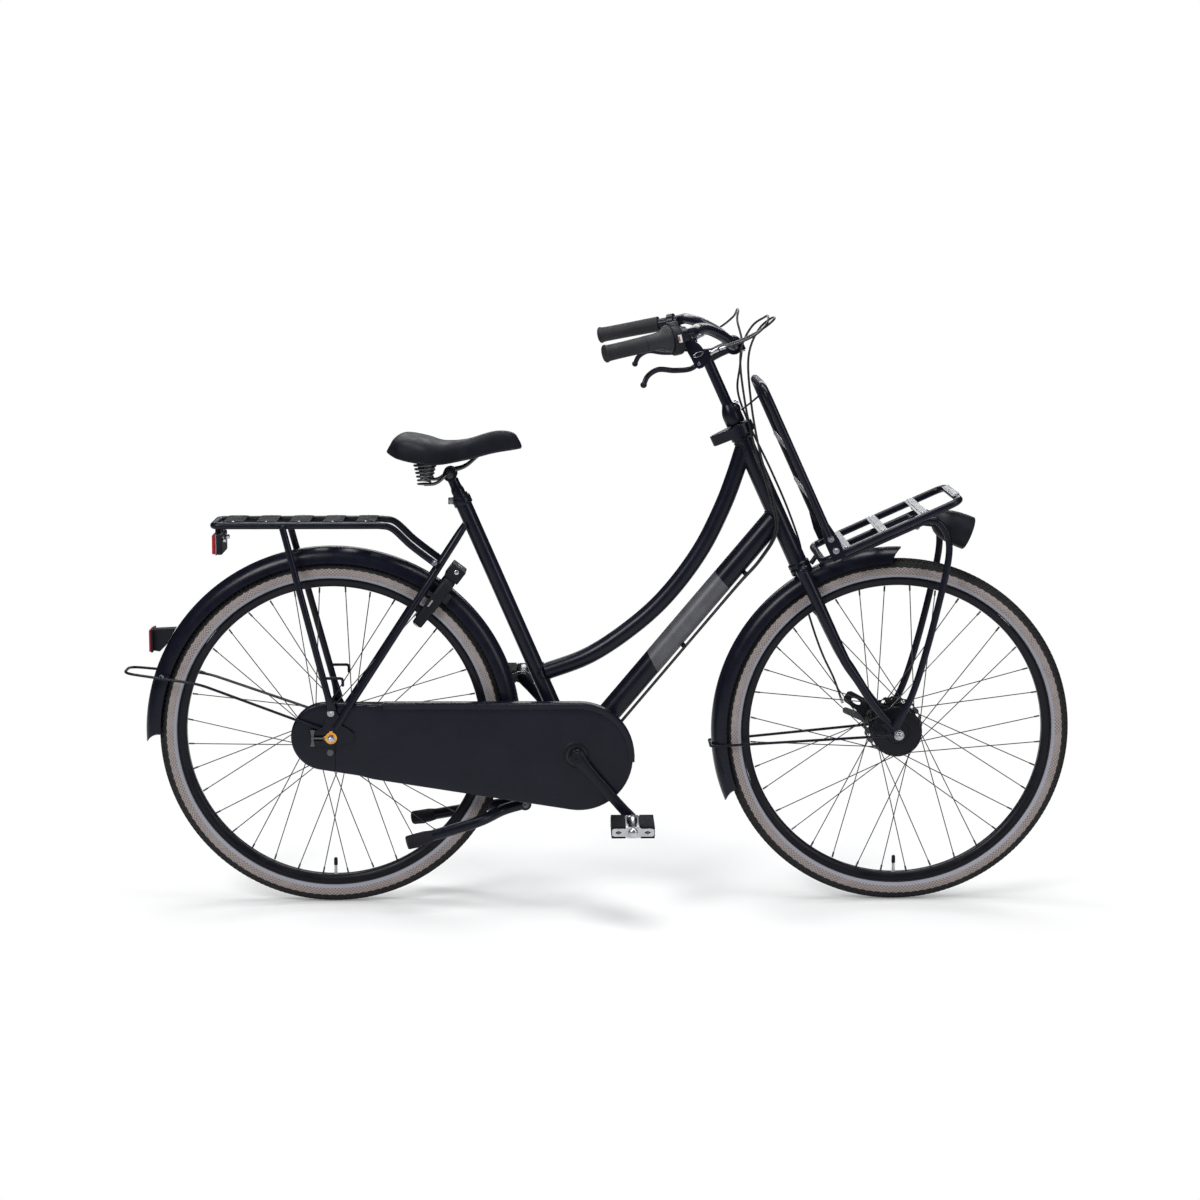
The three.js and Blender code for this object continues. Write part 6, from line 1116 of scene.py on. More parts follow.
@dataclass
class HubFittings(Assembly):
    """Axles, drums, brake arms, sprocket, washer and chain."""

    clamp_rear: float = 72.1
    clamp_front: float = 59.6

    def nut(self, mould: Mould, centre: Vector, side: Side, clamp: float, dome: bool) -> None:
        """Adds a nut and washer on one end of an axle.

        Args:
            mould: the axle's own mould.
            centre: middle of the wheel.
            side: which end.
            clamp: distance of the washer from the middle.
            dome: whether the nut is a cap nut.
        """
        foot = centre + side.out * clamp
        bulk = 0.76 if centre == REAR_AXLE and dome else 1.0
        top = [(5.2, 8.2), (5.2, 12.6), (4.4, 13), (0, 13)]
        if dome:
            top = [(6.5, 8.5), (5.5, 11.5), (3, 13), (0, 13.2)]
        hexagon = [(0, 1.5), (9, 1.5), (9, 7.2), (8, 8.2), *top]
        for profile, segments in ((slug(10.5, 0, 1.6), 32), (hexagon, 6), ([(0, 7), *top], 24)):
            mould.lathe([(bulk * radius, height) for radius, height in profile], foot, side.out, segments)

    def arm(self, name: str, pivot: Vector, reach: Vector, low: float) -> None:
        """Brake arm with its clevis bolt.

        Args:
            name: CAD node.
            pivot: its pivot's place in X and Z.
            reach: from the pivot to the bolt.
            low: Y of its inner face.
        """
        end = pivot + reach
        line, right = atan2(reach.z, reach.x), pi / 2
        outline = arc(pivot, 9, line + right, line + 3 * right, 12)
        outline += arc(end, 6.5, line - right, line + right, 12)
        Mould().prism(outline, low, low + 4, [hole(pivot.x, pivot.z, 4.6)]).cast(name, DARK, bevel=0.6)
        bolt = Mould().bolt(at(end.x, low + 3.9, end.z), SIDEWAYS, 3.4, 3.4)
        bolt.cast(name + "_bolt", ZINC, name)

    def build(self) -> None:
        """Makes the fittings of both hubs."""
        rear = Mould().rod(REAR_AXLE - at(0, 84, 0), REAR_AXLE + at(0, 84, 0), 4.9, 24)
        for side in Side:
            self.nut(rear, REAR_AXLE, side, self.clamp_rear, side is Side.RIGHT)
        rear.cast("rear_axle", ZINC)
        cover = [(0, 36.9), (36, 36.9), (37.6, 38), (37.6, 42.6), (36, 44.4), (30, 44.8), (0, 44.8)]
        drum = Mould().lathe(cover, REAR_AXLE, SIDEWAYS, 56)
        drum.rod(REAR_AXLE + at(26, 44, 0), REAR_AXLE + at(26, 52.4, 0), 3.9)
        drum.cast("rear_brake_drum", RIM_BLACK, "rear_axle", bevel=0.4)
        self.arm("rear_brake_arm", REAR_AXLE + at(26, 0, 0), at(72, 0, -30), 45.1)

        front = Mould().rod(FRONT_AXLE - at(0, 72, 0), FRONT_AXLE + at(0, 72, 0), 4.4, 24)
        for side in Side:
            self.nut(front, FRONT_AXLE, side, self.clamp_front, True)
        front.cast("front_axle", ZINC)
        plate = Mould().lathe([(0, 38.1), (36, 38.1), (37.6, 38.8), (37.6, 41), (36, 41.7), (0, 41.7)],
                              FRONT_AXLE, SIDEWAYS, 56)
        lean = radians(90 - 65.7 + 65.7 / 2)
        up = at(-sin(lean), 0, cos(lean))
        over = at(up.z, 0, -up.x)
        shape = [(-36, 0), (-30, 26), (-15, 84), (-13, 112), (-8, 118), (8, 118), (13, 112), (15, 84),
                 (30, 26), (36, 0)]
        spots = [FRONT_AXLE + over * u + up * v for u, v in shape]
        slots = [[(spot.x, spot.z) for spot in (FRONT_AXLE + over * (u * 5) + up * (92 + v * 11)
                                                for u, v in circle(20))]]
        plate.prism([(spot.x, spot.z) for spot in spots], 38.8, 41.6, slots)
        plate.rod(FRONT_AXLE + at(-26, 38.2, 0), FRONT_AXLE + at(-26, 45.8, 0), 3.9)
        plate.cast("front_brake_plate", RIM_BLACK, "front_axle", bevel=0.4)
        self.arm("front_brake_arm", FRONT_AXLE + at(-26, 0, 0), at(-72, 0, 30), 42.1)
        self.drive()

    def drive(self) -> None:
        """Makes the washer, sprocket and chain."""
        ring = [(6, -72.1), (12, -72.1), (12, -71.7), (11.6, -69.6), (6, -69.6)]
        washer = Mould().lathe(ring, REAR_AXLE, SIDEWAYS, 40, closed=True)
        washer.prism([(-2, 368.5), (2.6, 368.5), (3.4, 372.4), (-3.4, 372.4)], -72.0, -69.7)
        washer.block((9, 2.3, 8), at(-10, -70.9, 358))
        washer.cast("axle_washer", YELLOW, bevel=0.3)
        tug = Mould().rod(at(-12, -71.2, 358), at(-38, -71.2, 358), 2.2, 16)
        waist = [(-35, 352), (-33, 341), (-42.5, 341), (-40, 352), (-40, 364), (-42.5, 375), (-33, 375),
                 (-35, 364)]
        tug.prism(waist, -72.0, -68.4)
        tug.lathe([(0, 0), (4.5, 0), (4.5, 4), (0, 4)], at(-40, -71.2, 358), FORWARD, 6)
        tug.cast("chain_tug", DARK, "axle_washer", bevel=0.4)
        teeth = cog(0, WHEEL_RADIUS, (32.4, 35.2, 35.2, 32.4), 18)
        wheel = Mould().prism(teeth, -48.3, -45.7, [hole(0, WHEEL_RADIUS, 7, 24)])
        boss = [(7, -45.7), (23.5, -45.7), (23.5, -38.2), (7, -38.2)]
        wheel.lathe(boss, REAR_AXLE, SIDEWAYS, 40, closed=True)
        wheel.cast("rear_sprocket", DARK, origin=REAR_AXLE)
        line = belt(REAR_AXLE, 40.5, BRACKET, 80.5, 24, 30)
        loop = even([at(x, -47, z) for x, z in [*line, line[0]]], 110)[:-1]
        links = Mould()
        for k, here in enumerate(loop):
            after = loop[(k + 1) % len(loop)]
            run = (after - here).normalized()
            turn = Matrix((run, SIDEWAYS, run.cross(SIDEWAYS))).transposed()
            wide = 3.4 if k % 2 else 2.4
            plate = ((after - here).length + 4, 0.9, 7.0)
            for side in Side:
                links.block(plate, (here + after) / 2 + side.out * wide, turn)
            links.rod(here + at(0, -3.4, 0), here + at(0, 3.4, 0), 2.6, 10)
        links.cast("chain", DARK)


def belt(rear: Vector, rear_radius: float, front: Vector, front_radius: float, arc_steps: int,
         run_steps: int) -> list[tuple[float, float]]:
    """Outline round two circles and their outer tangents.

    Args:
        rear: middle of the rear circle.
        rear_radius: its radius.
        front: middle of the front circle.
        front_radius: its radius.
        arc_steps: steps round each end.
        run_steps: steps along each straight run.

    Returns:
        Pairs of X and Z, in one order for any radius.
    """
    gap = front - rear
    line = atan2(gap.z, gap.x)
    lean = acos((rear_radius - front_radius) / hypot(gap.x, gap.z))

    nose = arc(front, front_radius, line - lean, line + lean, arc_steps)
    tail = arc(rear, rear_radius, line + lean, line + 2 * pi - lean, arc_steps)

    def run(start: tuple[float, float], end: tuple[float, float]) -> Section:
        """Points of a straight run, without its ends."""
        return [between(start, end, k / run_steps) for k in range(1, run_steps)]

    return nose + run(nose[-1], tail[0]) + tail + run(tail[-1], nose[0])


@dataclass
class ChainCase(Assembly):
    """Closed chain case with its end cap, top strip and crank opening."""

    rear: Vector = field(default_factory=lambda: REAR_AXLE - at(14, 0, 0))
    front: Vector = field(default_factory=lambda: BRACKET + at(5, 0, -5))
    rear_radius: float = 69.0
    front_radius: float = 110.0
    split: float = 8.0
    inner: float = -37.3
    edge: float = 4.5
    face_behind: float = -62.0
    face_ahead: float = -74.0
    arc_steps: int = 30
    run_steps: int = 56

    def outline(self, grow: float) -> list[tuple[float, float]]:
        """The case's outline, grown all round."""
        return belt(self.rear, self.rear_radius + grow, self.front, self.front_radius + grow, self.arc_steps,
                    self.run_steps)

    def face(self, x: float) -> float:
        """Outer face's Y at a place along X, with its slope towards the rear."""
        share = min(1.0, max(0.0, (x - 50) / 40))
        return lerp(self.face_behind, self.face_ahead, share * share * (3 - 2 * share))

    def shell(self) -> Mould:
        """The whole case as one rounded shell.

        Returns:
            Its mould.
        """
        rings = [[at(x, self.inner, z) for x, z in self.outline(-1.2)],
                 [at(x, self.inner - 1.2, z) for x, z in self.outline(0)]]
        for k in range(7):
            turn = pi / 2 * k / 6
            grow, sink = -self.edge * (1 - cos(turn)), self.edge * (1 - sin(turn))
            rings.append([at(x, self.face(x) + sink, z) for x, z in self.outline(grow)])
        mould = Mould().skin(rings, caps=False)
        size = len(rings[-1])
        mould.faces.append(list(range(size))[::-1])
        self.fill(mould, rings[-1])
        return mould

    def fill(self, mould: Mould, ring: Path) -> None:
        """Closes the outer face with columns that follow its slope.

        Args:
            mould: the case so far.
            ring: the outer face's edge.
        """
        half = self.arc_steps // 2
        tops = list(range(half, self.arc_steps + self.run_steps + half + 1))
        lows = [(self.arc_steps - k) % len(ring) for k in tops]
        rows = 10
        grid = []
        for top, low in zip(tops, lows):
            column = []
            for k in range(rows + 1):
                spot = ring[top % len(ring)].lerp(ring[low], k / rows)
                column.append(at(spot.x, self.face(spot.x), spot.z))
            grid.append(column)
        first = len(mould.verts)
        for column in grid:
            mould.verts += column
        wide = rows + 1
        for i in range(len(grid) - 1):
            for k in range(rows):
                a = first + i * wide + k
                mould.faces.append([a, a + 1, a + 1 + wide, a + wide])

    def cut(self, piece: bpy.types.Object, x: float, ahead: bool) -> None:
        """Cuts a piece across and turns the cut edge inwards.

        Args:
            piece: the piece.
            x: place of the cut.
            ahead: whether the part ahead of the cut is kept, or else the part behind it.

        The vertices and faces are put in order of place, so that each run gives the same mesh.
        """
        work = bmesh.new()
        work.from_mesh(piece.data)
        geometry = [*work.verts, *work.edges, *work.faces]
        bmesh.ops.bisect_plane(work, geom=geometry, plane_co=at((x + SHIFT.x) * MM, 0, 0), plane_no=FORWARD,
                               clear_inner=ahead, clear_outer=not ahead)
        rims = [edge for edge in work.edges if edge.is_boundary]
        made = bmesh.ops.extrude_edge_only(work, edges=rims)["geom"]
        inward = [item for item in made if isinstance(item, bmesh.types.BMVert)]
        centre = sum((vert.co for vert in inward), Vector()) / max(len(inward), 1)
        for vert in inward:
            reach = vert.co - centre
            reach.x = 0
            vert.co -= reach.normalized() * 0.002
        places = {vert: tuple(vert.co) for vert in work.verts}
        places.update({face: tuple(face.calc_center_median()) for face in work.faces})
        for items in (work.verts, work.faces):
            rank = {item: k for k, item in enumerate(sorted(items, key=places.get))}
            items.sort(key=rank.get)
        work.to_mesh(piece.data)
        work.free()

    def strip(self) -> None:
        """Raised strip along the top and round the nose."""
        outline = self.outline(0)
        spots = [i for i in range(len(outline)) if outline[i][0] >= 98 and outline[i][1] >= 300]
        high, low = self.outline(3.6), self.outline(-10)
        mould = Mould()
        rings = []
        for i in spots:
            depth = self.face(outline[i][0])
            row = ((high[i], 22), (high[i], 1.2), (between(high[i], low[i], 0.12), -1.3),
                   (between(outline[i], low[i], 0.86), -1.6), (low[i], -0.3), (low[i], 2),
                   (between(high[i], low[i], 0.3), 22))
            rings.append([at(x, depth + proud, z) for (x, z), proud in row])
        mould.skin(rings).cast("chain_case_strip", PAINT, "chain_case", sharp=50)

    def build(self) -> None:
        """Makes the case, its cap and its trim."""
        case = self.shell().cast("chain_case", PAINT, sharp=50)
        self.cut(case, self.split, True)
        cap = self.shell().cast("chain_case_cap", PAINT, sharp=50)
        self.cut(cap, self.split - 0.6, False)
        self.strip()
        lip = [(22, -73.2), (22.2, -74.9), (24, -75.6), (27.5, -75.2), (29.2, -73.9), (29, -73.2)]
        ring = Mould().lathe(lip, BRACKET, SIDEWAYS, 56, closed=True)
        ring.cast("chain_case_lip", PLASTIC, "chain_case")
        well = Mould().lathe(slug(23.6, -73.6, -74.25), BRACKET, SIDEWAYS, 48)
        well.cast("chain_case_well", CABLE, "chain_case")
        button = [(0, -61.5), (7, -61.5), (7, -62.4), (6, -63.4), (2.2, -63.5), (2.0, -62.8), (0, -62.8)]
        plug = Mould().lathe(button, REAR_AXLE + at(-3, 0, -32), SIDEWAYS, 32)
        plug.cast("chain_case_plug", DARK, "chain_case_cap")
        pocket = Mould().lathe(slug(12.5, -61.6, -62.5), REAR_AXLE, SIDEWAYS, 40)
        pocket.cast("chain_case_axle_slot", CABLE, "chain_case_cap", bevel=0.3)


@dataclass
class Cranks(Assembly):
    """Cranks, their spindle and chainring, and both pedals."""

    length: float = 170.0
    turn: float = radians(-48.8)
    pedal_start: float = 103.0
    pedal_width: float = 98.0

    def end(self, side: Side) -> Vector:
        """Pedal eye of one crank."""
        turn = self.turn if side is Side.RIGHT else self.turn + pi
        return around(BRACKET, self.length, turn)

    def crank(self, side: Side) -> None:
        """Tapered crank arm, bowed out from its boss to its eye.

        Args:
            side: which crank.
        """
        name = "crank_" + side.label
        end = self.end(side)
        stations = [(-0.085, 0.2, 9, 11), (-0.07, 0.2, 13.5, 13), (-0.03, 0.2, 16.4, 13.4),
                    (0.0, 0.2, 16.8, 13.4), (0.06, 0.3, 15, 12.6), (0.14, 0.5, 12.2, 11),
                    (0.3, 0.8, 10.8, 9.6), (0.6, 1, 10.2, 9.2), (0.85, 1, 10.6, 9.4), (0.95, 1, 11.6, 10),
                    (1.0, 1, 12, 10), (1.045, 1, 10, 9.6), (1.062, 1, 5, 8)]
        path, sizes = [], []
        for along, out, wide, thick in stations:
            path.append(BRACKET.lerp(end, along) + side.out * lerp(88.5, 90.5, out))
            sizes.append((thick / 2 * 1.05, wide))
        arm = Mould().sweep(path, squarish(0.6, 0.75), sizes, across=SIDEWAYS)
        if side is Side.RIGHT:
            arm.rod(BRACKET + at(0, -84, 0), BRACKET + at(0, -46, 0), 16, 32)
        arm.cast(name, PAINT, origin=BRACKET, bevel=0.8, sharp=50)
        cap = Mould().lathe([(0, 94), (12, 94), (12, 95.8), (10.8, 97), (3.4, 97.3), (3.2, 95.9), (0, 95.9)],
                            BRACKET, side.out, 40)
        cap.cast(name + "_cap", PLASTIC, name, origin=BRACKET)

    def ring(self) -> None:
        """Chainring with teeth and windows, and the spindle."""
        teeth = cog(BRACKET.x, BRACKET.z, (72.4, 75.4, 75.4, 72.4), 38)
        holes = [hole(x, z, 13, 24) for x, z in hole(BRACKET.x, BRACKET.z, 44, 5)]
        wheel = Mould().prism(teeth, -48.3, -45.7, holes)
        wheel.rod(BRACKET + at(0, -95, 0), BRACKET + at(0, 95, 0), 8.4, 32)
        wheel.cast("chainring", DARK, "crank_right", origin=BRACKET)

    def pedal(self, side: Side) -> None:
        """Block pedal: rubber treads between bright end plates.

        Args:
            side: which pedal.
        """
        name = "pedal_" + side.label
        end = self.end(side)
        sign = side.value
        near, wide = self.pedal_start, self.pedal_width
        middle = sign * (near + wide / 2)
        treads = Mould()
        for x in (-29, 29):
            treads.block((27, wide - 8, 23), at(end.x + x, middle, end.z))
            for k in range(9):
                y = middle + (k - 4) * 10
                for z in (-11.6, 11.6):
                    treads.block((28.5, 6.4, 3.6), at(end.x + x, y, end.z + z))
            for z in (-7, 0, 7):
                treads.block((29.6, wide - 10, 3.6), at(end.x + x, middle, end.z + z))
        treads.cast(name, RUBBER, bevel=0.8, origin=end)
        plates = Mould()
        half = [(-42, -6), (-42, 6), (-38, 8), (-17, 8), (-11, 11.5), (11, 11.5), (17, 8), (38, 8), (42, 6),
                (42, -6), (38, -8), (17, -8), (11, -11.5), (-11, -11.5), (-17, -8), (-38, -8)]
        outline = [(end.x + u, end.z + v) for u, v in half]
        slots = [[(end.x + c + 6 * u, end.z + 2.2 * v) for u, v in circle(16)] for c in (-29, 29)]
        for y in (near + 1.4, near + wide - 1.4):
            plates.prism(outline, sign * (y - 1.2), sign * (y + 1.2), slots)
        plates.cast(name + "_plates", ZINC, name, bevel=0.4, origin=end)
        core = [(0, 0.5), (8, 0.5), (10.4, 4), (10.4, 12), (8.6, 17), (8.4, 78), (9.6, 84), (10, 98),
                (9.8, 101), (8.4, 103.6), (5, 105.6), (0, 106.4)]
        body = Mould().lathe(core, end + side.out * near, side.out, 32)
        body.cast(name + "_core", ZINC, name, origin=end)
        pin = Mould().rod(end + side.out * 96, end + side.out * 103.4, 5)
        pin.lathe(slug(8.4, 97.2, 101.2), end, side.out, 6)
        pin.cast(name + "_pin", ZINC, "crank_" + side.label, origin=BRACKET)
        studs = Mould()
        for x in (-29, 29):
            studs.bolt(at(end.x + x, sign * (near + wide - 0.4), end.z), side.out, 2.6, 1.6)
        studs.cast(name + "_studs", DARK, name, origin=end)

    def build(self) -> None:
        """Makes the drive's outer pieces."""
        self.ring()
        for side in Side:
            self.crank(side)
            self.pedal(side)


@dataclass
class FrameTubes(Assembly):
    """Head, down, top and seat tubes, stays and dropouts."""

    head_radius: float = 19.0
    down_radius: float = 23.5
    top_radius: float = 17.5
    seat_radius: float = 16.5
    shell_radius: float = 21.0
    bore: float = 13.6
    panel: tuple = ((0.373, 9.8), (0.7245, 4.0))
    neck: tuple = ((0, 0), (0.155, 0.08), (0.328, 0.123), (0.47, 0.135), (0.652, 0.1175), (0.81, 0.073),
                   (0.907, 0.0346), (1, -0.008))

    def head(self) -> None:
        """Head tube with its cups and the flat lock ring under the stem."""
        top, low = HEAD_TOP, HEAD_LOW
        wide = self.head_radius
        profile = [(self.bore, low - 9.9), (22, low - 9.9), (22.5, low - 9), (22.5, low - 2.2),
                   (21, low - 0.6), (wide + 0.1, low + 0.4), (wide, low + 3), (wide, top - 3),
                   (wide + 0.1, top - 0.4), (21, top + 0.6), (22.5, top + 2.2), (22.5, top + 10.2),
                   (self.bore, top + 10.2)]
        ring = Mould(STEER).lathe(profile, ORIGIN, UPWARD, 64, closed=True)
        loops = []
        for grow, up in ((-1.4, 10.1), (0, 11.4), (0, 30.6), (-1.4, 31.9)):
            outline = belt(at(-46, 0, 0), 14 + grow, at(0, 0, 0), 31.8 + grow, 16, 4)
            loops.append([at(x, y, top + up) for x, y in outline])
        for up in (31.9, 10.1):
            loops.append([at(x, y, 0).normalized() * self.bore + at(0, 0, top + up) for x, y in outline])
        ring.skin(loops, closed=True)
        ring.cast("frame_head_tube", PAINT, bevel=0.5)

    def down(self) -> None:
        """Down tube with its bare grey panel and cable clips."""
        line = (DOWN_TOP - DOWN_FOOT).normalized()
        under = at(line.z, 0, -line.x)
        tube = Mould().rod(DOWN_FOOT + line * 19, DOWN_TOP - line * 8, self.down_radius, 64)
        tube.weld(DOWN_TOP - line * 60, line, self.down_radius, STEER_FOOT, UP, self.head_radius)
        tube.weld(DOWN_FOOT + line * 80, -line, self.down_radius, BRACKET, SIDEWAYS, self.shell_radius)
        tube.cast("frame_down_tube", PAINT)
        length = (DOWN_TOP - DOWN_FOOT).length
        skin = self.down_radius + 0.25
        rings = []
        for share, slant in self.panel:
            rings.append([DOWN_FOOT + line * (length * share - slant * u / skin) + under * u + SIDEWAYS * v
                          for u, v in circle(64, skin)])
        Mould().skin(rings, caps=False).cast("down_tube_panel", PANEL, "frame_down_tube")
        clips = Mould()
        turn = Matrix((line, SIDEWAYS, line.cross(SIDEWAYS))).transposed()
        for share in (0.48, 0.79):
            spot = DOWN_FOOT.lerp(DOWN_TOP, share)
            clips.block((9, 17.5, 5.5), spot + under * 25.5 + at(0, -9, 0), turn)
            clips.tube([spot + under * 24.5 + at(0, -9 + 9 * cos(t), 0) + under * 5 * sin(t)
                        for t in (pi * k / 10 for k in range(11))], 1.3, 8)
        clips.cast("cable_clips", PLASTIC, "frame_down_tube", bevel=0.6)

    def top(self) -> None:
        """Swan-neck top tube."""
        start, end = on_seat(169), STEER @ at(0, 0, HEAD_LOW + HEAD_LENGTH * 0.939)
        chord = end - start
        sag = at(chord.z, 0, -chord.x)
        path = smooth([start + chord * along + sag * bow for along, bow in self.neck], 90)
        tube = Mould().tube(path[2:-1], self.top_radius, 48)
        tube.weld(path[12], path[0] - path[8], self.top_radius, SEAT_FOOT, SEAT_UP, self.seat_radius)
        tube.weld(path[-14], path[-1] - path[-10], self.top_radius, STEER_FOOT, UP, self.head_radius)
        tube.cast("frame_top_tube", PAINT)

    def seat(self) -> None:
        """Seat tube, bottom bracket shell, seat collar and stand bracket."""
        tube = Mould().sweep([on_seat(18), on_seat(575.4)], circle(48), self.seat_radius)
        wide, pivot = self.shell_radius, STAND_PIVOT
        shell = [(9.4, -36.5), (26, -36.5), (27, -35.6), (27, -34.4), (wide, -34), (wide, 33),
                 (wide - 0.8, 34), (9.4, 34)]
        tube.lathe(shell, BRACKET, SIDEWAYS, 56, closed=True)
        tube.weld(on_seat(70), -SEAT_UP, self.seat_radius, BRACKET, SIDEWAYS, self.shell_radius)
        collar = [(16.4, 553), (19, 553), (19.6, 554), (19.6, 569), (19, 570), (16.4, 570)]
        tube.lathe(collar, SEAT_FOOT, SEAT_UP, 48, closed=True)
        web = [(498, 321), (498, 300), (420, 214), (pivot.x + 13, pivot.z - 2), (pivot.x, pivot.z + 13),
               (447, 321)]
        tube.prism(web, -8.6, 8.6)
        tube.rod(pivot - at(0, 8.8, 0), pivot + at(0, 8.8, 0), 13, 40)
        tube.cast("frame_seat_tube", PAINT, bevel=0.8)
        clamp = Mould()
        ear = on_seat(561) - at(22, 0, 0)
        for side in Side:
            clamp.block((19, 3.4, 13), ear + at(3, side.value * 5, 0))
        clamp.cast("seat_collar_ears", PAINT, "frame_seat_tube", bevel=1.2)
        pin = Mould().rod(ear - at(0, 10, 0), ear + at(0, 10, 0), 2.8, 16)
        pin.bolt_pair(ear + at(0, 7, 0), 4.6, 4)
        pin.cast("seat_collar_bolt", ZINC, "frame_seat_tube")

    def rear(self, side: Side) -> None:
        """Chain stay, seat stay and dropout of one side.

        Args:
            side: which one.
        """
        name = "frame_rear_" + side.label
        sign = side.value
        foot, middle, top = seat_stay(side)
        stay = smooth([foot, middle, top], 40)
        sizes = [(5.2 + 2.3 * min(1, k / 4), 9 - 1.5 * min(1, k / 4)) for k in range(38)]
        mould = Mould().sweep(stay[:38], circle(24), sizes, across=SIDEWAYS)
        tip = stay[37:] + [top + (stay[-1] - stay[-2]).normalized() * 4]
        mould.sweep(tip, circle(24), [(7.5, 7.5), (7, 7.3), (6, 7), (4.5, 6.4), (2.4, 5)], across=SIDEWAYS)
        start = at(493, sign * 31, 321)
        end = at(38.5, sign * 66.5, 358)
        run = [start.lerp(end, t) for t in (0.0, 0.4, 0.9, 0.96, 1.0)]
        if side is Side.RIGHT:
            run = [start, at(280, -40, 338), at(92, -48, 353.6), at(50, -56, 357), at(35, -66.4, 358)]
        mould.sweep(run, circle(24), [(8.6, 9.4), (8.2, 9), (7.2, 7.5), (5, 8.6), (3, 9)], across=SIDEWAYS)
        plate = [(-46, 349), (-30, 342), (0, 339.5), (24, 345), (46, 350), (46, 367), (34, 377), (20, 384),
                 (17, 402), (8, 419), (0, 421), (-8, 418), (-11, 410), (-12, 390), (-20, 378), (-46, 368)]
        slot = [(5, 352.6), (7, 358), (5, 363.4), (-34, 363.4), (-37, 358), (-34, 352.6)]
        mould.prism(plate, sign * 64, sign * 69, [slot, hole(0, 410, 4.2)])
        if side is Side.RIGHT:
            span = foot.lerp(top, 0.785)
            mould.rod(at(span.x, -39, span.z), at(span.x, 39, span.z), 6, 24)
        mould.cast(name, PAINT, bevel=0.5)

    def build(self) -> None:
        """Makes the frame."""
        self.head()
        self.down()
        self.top()
        self.seat()
        for side in Side:
            self.rear(side)


@dataclass
class Stand(Assembly):
    """Folded double-leg stand with rubber feet."""

    pivot: Vector = field(default_factory=lambda: STAND_PIVOT)
    reach: float = 232.0
    drop: float = 60.0
    leg_radius: float = 11.4
    narrow: float = 22.0
    wide: float = 100.0

    def build(self) -> None:
        """Makes both legs and their shared hinge."""
        mould = Mould()
        feet = Mould()
        shares = ((0, 0, 0), (0.19, 0.2, 0.06), (0.4, 0.45, 0.5), (1, 1, 1))
        for side in Side:
            sign = side.value
            path = smooth([self.pivot + at(-self.reach * back, sign * lerp(self.narrow, self.wide, out),
                                           -self.drop * down) for back, down, out in shares], 40)
            mould.tube(path, self.leg_radius, 32)
            tip, inward = path[-1], (path[-8] - path[-1]).normalized()
            feet.tube([tip - inward * 8, tip - inward * 5, tip + inward * 30, tip + inward * 44],
                      [12.8, 14.2, 13.8, self.leg_radius], 32)
            heel = [tip - inward * 4 - UPWARD * 3, tip + inward * 18 - UPWARD * 6]
            feet.tube(heel, [(11, 11), (10.4, 9)], 24)
            low, high = sorted((sign * 9.4, sign * 32))
            eye = [(6.2, low), (12.4, low), (13, low + 0.7), (13, high - 0.7), (12.4, high), (6.2, high)]
            mould.lathe(eye, self.pivot, SIDEWAYS, 40, closed=True)
        mould.rod(self.pivot - at(0, 24, 0), self.pivot + at(0, 24, 0), 5.9, 24)
        mould.cast("stand", PAINT, bevel=0.4)
        feet.cast("stand_feet", RUBBER, "stand")
        Mould().bolt_pair(self.pivot + at(0, 31.6, 0), 6, 3.6).cast("stand_bolts", DARK, "stand")


